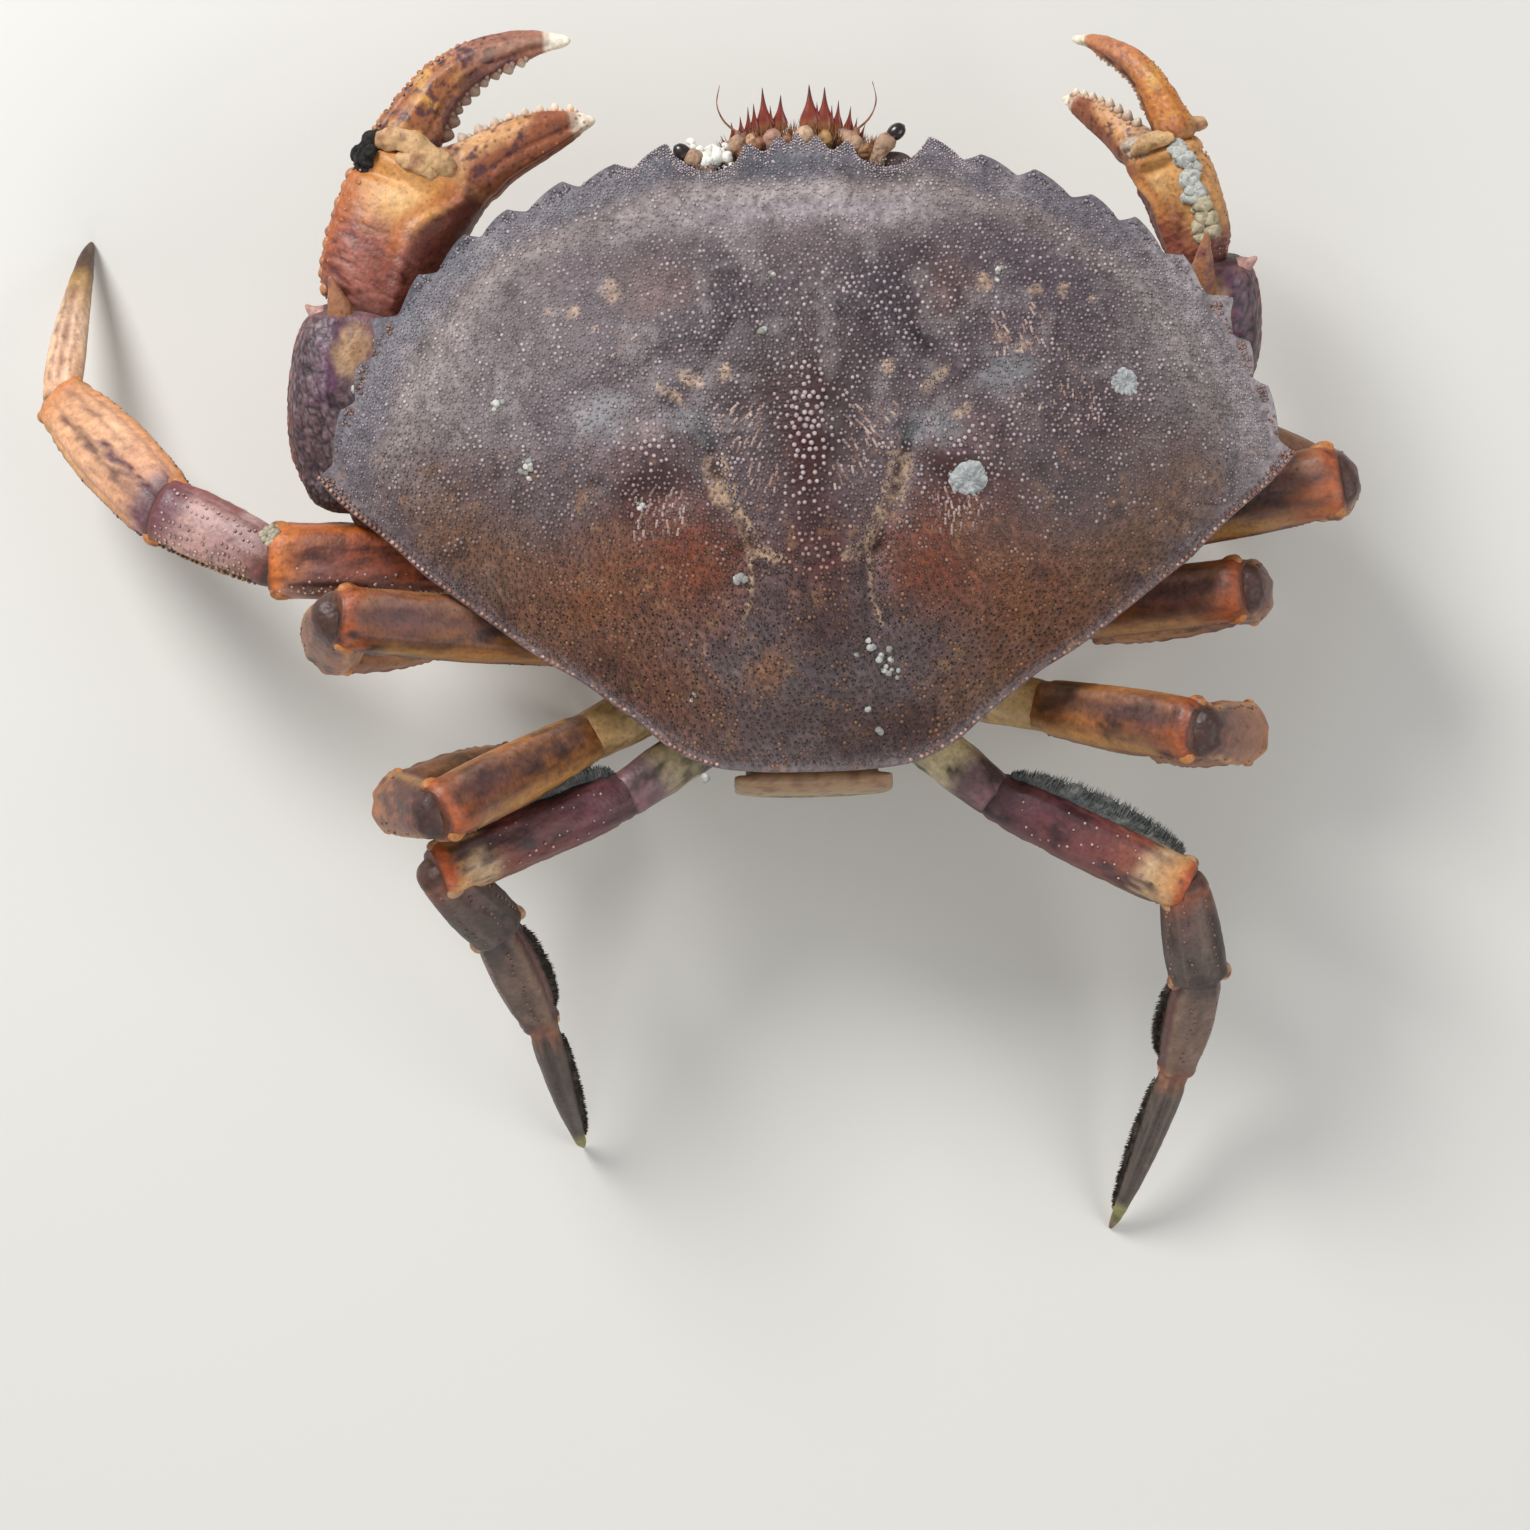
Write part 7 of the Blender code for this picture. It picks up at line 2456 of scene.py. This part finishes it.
            cornea = sweep([middle + way * reach for reach in (-1.9, 0.0, 1.9)], radii, 0.9, 16, 2, 20)
            self.place.settle(dapple(cornea, "1c1110", "54372c", 1.0, 3, 0.6, 0.0, 0.0), CORNEA, "eye")

    def build_feelers(self) -> None:
        """Model the feelers: a stout base beside the jaws and a short ringed lash."""
        for side in Side:
            lines = ([(side.value * x, y, self.rim + z) for x, y, z in path] for path in (
                ((9.4, -52.6, -2.6), (10.0, -55.6, -2.2), (10.5, -58.0, -2.3)),
                ((10.5, -57.6, -2.2), (12.8, -59.6, -1.6), (13.9, -62.4, -1.0), (13.3, -65.6, -0.5))))
            parts = [dapple(sweep(line, radii, levels=1, count=20), "8a5c40", "4c2c22", 1.2, 6, 0.7, 0.03)
                     for line, radii in zip(lines, ((1.2, 1.3, 0.9, 0.5), np.linspace(0.24, 0.05, 20)))]
            self.place.settle(join(parts, f"{side.word}_feeler"), SKIN, "feeler", (f"{side.word}_antenna",))

    def build(self) -> None:
        """Build the whole head."""
        self.build_jaws()
        self.build_bristles()
        self.build_eyes()
        self.build_feelers()


@dataclass
class Underside:
    """The body below the shell and the tail flap folded under it, shaped from copies of their solids."""
    place: Place

    def copy_of(self, node: str, name: str) -> bpy.types.Object:
        """A smooth copy of a solid in millimetres in the crab's frame, with small even faces.

        Args:
            node: The solid.
            name: The copy's name.

        Returns:
            The copy.
        """
        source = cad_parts[node]
        piece = bpy.data.objects.new(name, source.data.copy())
        bpy.context.scene.collection.objects.link(piece)
        piece.data.transform(Matrix.Scale(1 / MM, 4) @ Matrix.Translation((-self.place.x, -self.place.y, 0)))
        choose(piece)
        bpy.ops.object.mode_set(mode="EDIT")
        bpy.ops.mesh.select_all(action="SELECT")
        bpy.ops.mesh.remove_doubles(threshold=0.002)
        bpy.ops.mesh.tris_convert_to_quads(face_threshold=math.radians(50), shape_threshold=math.radians(60))
        bpy.ops.object.mode_set(mode="OBJECT")
        modify(piece, "REMESH", mode="VOXEL", voxel_size=1.0)
        modify(piece, "SMOOTH", factor=0.6, iterations=9)
        return piece

    def build(self) -> None:
        """Build the body and the tail flap."""
        body = self.copy_of("underbody", "underbody_piece")
        points, outs = points_of(body), normals_of(body)
        lift = 0.25 * wander(points, 6.0, 1) + 0.1 * wander(points, 2.0, 2)
        low = ease(44 - points[:, 2], 0, 4)
        for y in (2.0, 14.0, 26.5, 38.0):
            lean = points[:, 1] - y - 0.12 * np.abs(points[:, 0])
            lift -= 0.9 * np.exp(-(lean / 0.8) ** 2) * low
        flank = ease(points[:, 2], 50, 56) * (1 - low)
        lift -= 0.6 * np.exp(-((np.abs(points[:, 0]) - 52 + 0.3 * points[:, 1]) / 1.2) ** 2) * flank
        set_points(body, points + outs * lift[:, None])
        colour = tone(flood(points, "c2ac84"), "8a6f58", cloud(points, 7.0, 0.0, 0.8, 3) * 0.6)
        colour = mix(colour, linear("6e665e"), ease(points[:, 2], 57, 62) * 0.75)
        colour = mix(colour, linear("4a3c34"), ease(wander(points, 3.0, 4), 0.25, 0.9) * 0.5)
        paint(body, colour, 0.3)
        self.place.settle(body, BELLY, "underside", ("underbody",))
        flap = self.copy_of("abdomen", "abdomen_piece")
        points, outs = points_of(flap), normals_of(flap)
        path = np.array(((0, 55.6, 62.4), (0, 58.6, 54.0), (0, 54.4, 42.0), (0, 41.0, 33.8), (0, 18.0, 33.1),
                         (0, -3.0, 33.8)))
        fine = smooth_path(path, 200)
        nearest = np.argmin(np.linalg.norm(points[:, None, 1:] - fine[None, :, 1:], axis=2), axis=1) / 199
        groove = np.zeros(len(points))
        for at in (0.1, 0.24, 0.38, 0.52, 0.68, 0.84):
            groove += np.exp(-((nearest - at) / 0.007) ** 2)
        set_points(flap, points + outs * (-0.5 * groove + 0.1 * wander(points, 2.5, 5))[:, None])
        colour = tone(flood(points, "a8916c"), "4a362b",
                      np.maximum(cloud(points, 2.4, -0.1, 0.6, 6), cloud(points, 0.9, 0.1, 0.8, 8)) * 0.8)
        colour = mix(colour, linear("5c4436"), np.clip(groove, 0, 1) * 0.7)
        paint(flap, mix(colour, linear("8a5a3c"), ease(points[:, 2], 55, 62) * 0.6), 0.3)
        self.place.settle(flap, BELLY, "underside", ("abdomen",))


# ---------------------------------------------------------------- floor, light and camera

@dataclass(frozen=True)
class Studio:
    """A pale floor, soft light and the camera above the crab."""
    camera_spot: tuple[float, float, float] = (8.5, 53.0, 584.0)
    roll_degrees: float = -1.5
    frame_pixels: int = 1530
    pixel_mm: float = 0.174
    focus_distance: float = 520.0
    sensor: float = 36.0

    def build(self, place: Place) -> None:
        """Set the floor, the lights and the camera.

        Args:
            place: Where the crab's frame lies.
        """
        deselect()
        bpy.ops.mesh.primitive_plane_add(size=6.0, location=(0, 0, -0.0002))
        floor = bpy.context.object
        floor.name = "studio_floor"
        floor.data.materials.append(self.floor_material())
        world = bpy.data.worlds.new("studio")
        bpy.context.scene.world = world
        world.use_nodes = True
        world.node_tree.nodes["Background"].inputs["Color"].default_value = (0.96, 0.98, 1.0, 1.0)
        world.node_tree.nodes["Background"].inputs["Strength"].default_value = 0.4
        for name, spot, size, power in (("key_light", (0.42, -0.6, 0.68), 0.4, 8.8),
                                        ("fill_light", (-0.6, 0.2, 0.6), 0.5, 1.7),
                                        ("rear_light", (0.1, 0.75, 0.45), 0.5, 1.5)):
            bpy.ops.object.light_add(type="AREA", location=spot)
            lamp = bpy.context.object
            lamp.name = name
            lamp.data.shape, lamp.data.size, lamp.data.energy = "DISK", size, power
            lamp.rotation_euler = (-Vector(spot)).to_track_quat("-Z", "Y").to_euler()
        x, y, z = self.camera_spot
        bpy.ops.object.camera_add(location=(place.x + x * MM, place.y + y * MM, z * MM),
                                  rotation=(0, 0, math.pi + math.radians(self.roll_degrees)))
        camera = bpy.context.object
        camera.name = "camera"
        camera.data.sensor_width = self.sensor
        camera.data.lens = self.sensor * self.focus_distance / (self.frame_pixels * self.pixel_mm)
        camera.data.clip_start = 0.01
        bpy.context.scene.camera = camera
        bpy.context.scene.view_settings.view_transform = "Standard"

    @staticmethod
    def floor_material() -> bpy.types.Material:
        """A matt pale board.

        Returns:
            The material.
        """
        material = bpy.data.materials.new("pale_board")
        material.use_nodes = True
        shader = material.node_tree.nodes["Principled BSDF"]
        shader.inputs["Base Color"].default_value = (*linear("d9d7d2"), 1.0)
        shader.inputs["Roughness"].default_value = 0.8
        return material


def main() -> None:
    """Build the crab piece by piece, then its studio."""
    logging.basicConfig(level=logging.INFO, format="%(message)s")
    place = Place.from_shell(56.7)
    Shell(place, random.Random(11)).build()
    for leg in walking_legs(place, random.Random(23)):
        leg.build()
    for claw in claw_limbs(place, random.Random(31)):
        claw.build()
    Head(place, random.Random(41)).build()
    Underside(place).build()
    Studio().build(place)
    LOG.info("%d pieces", len(place.built))


if __name__ == "__main__":
    main()
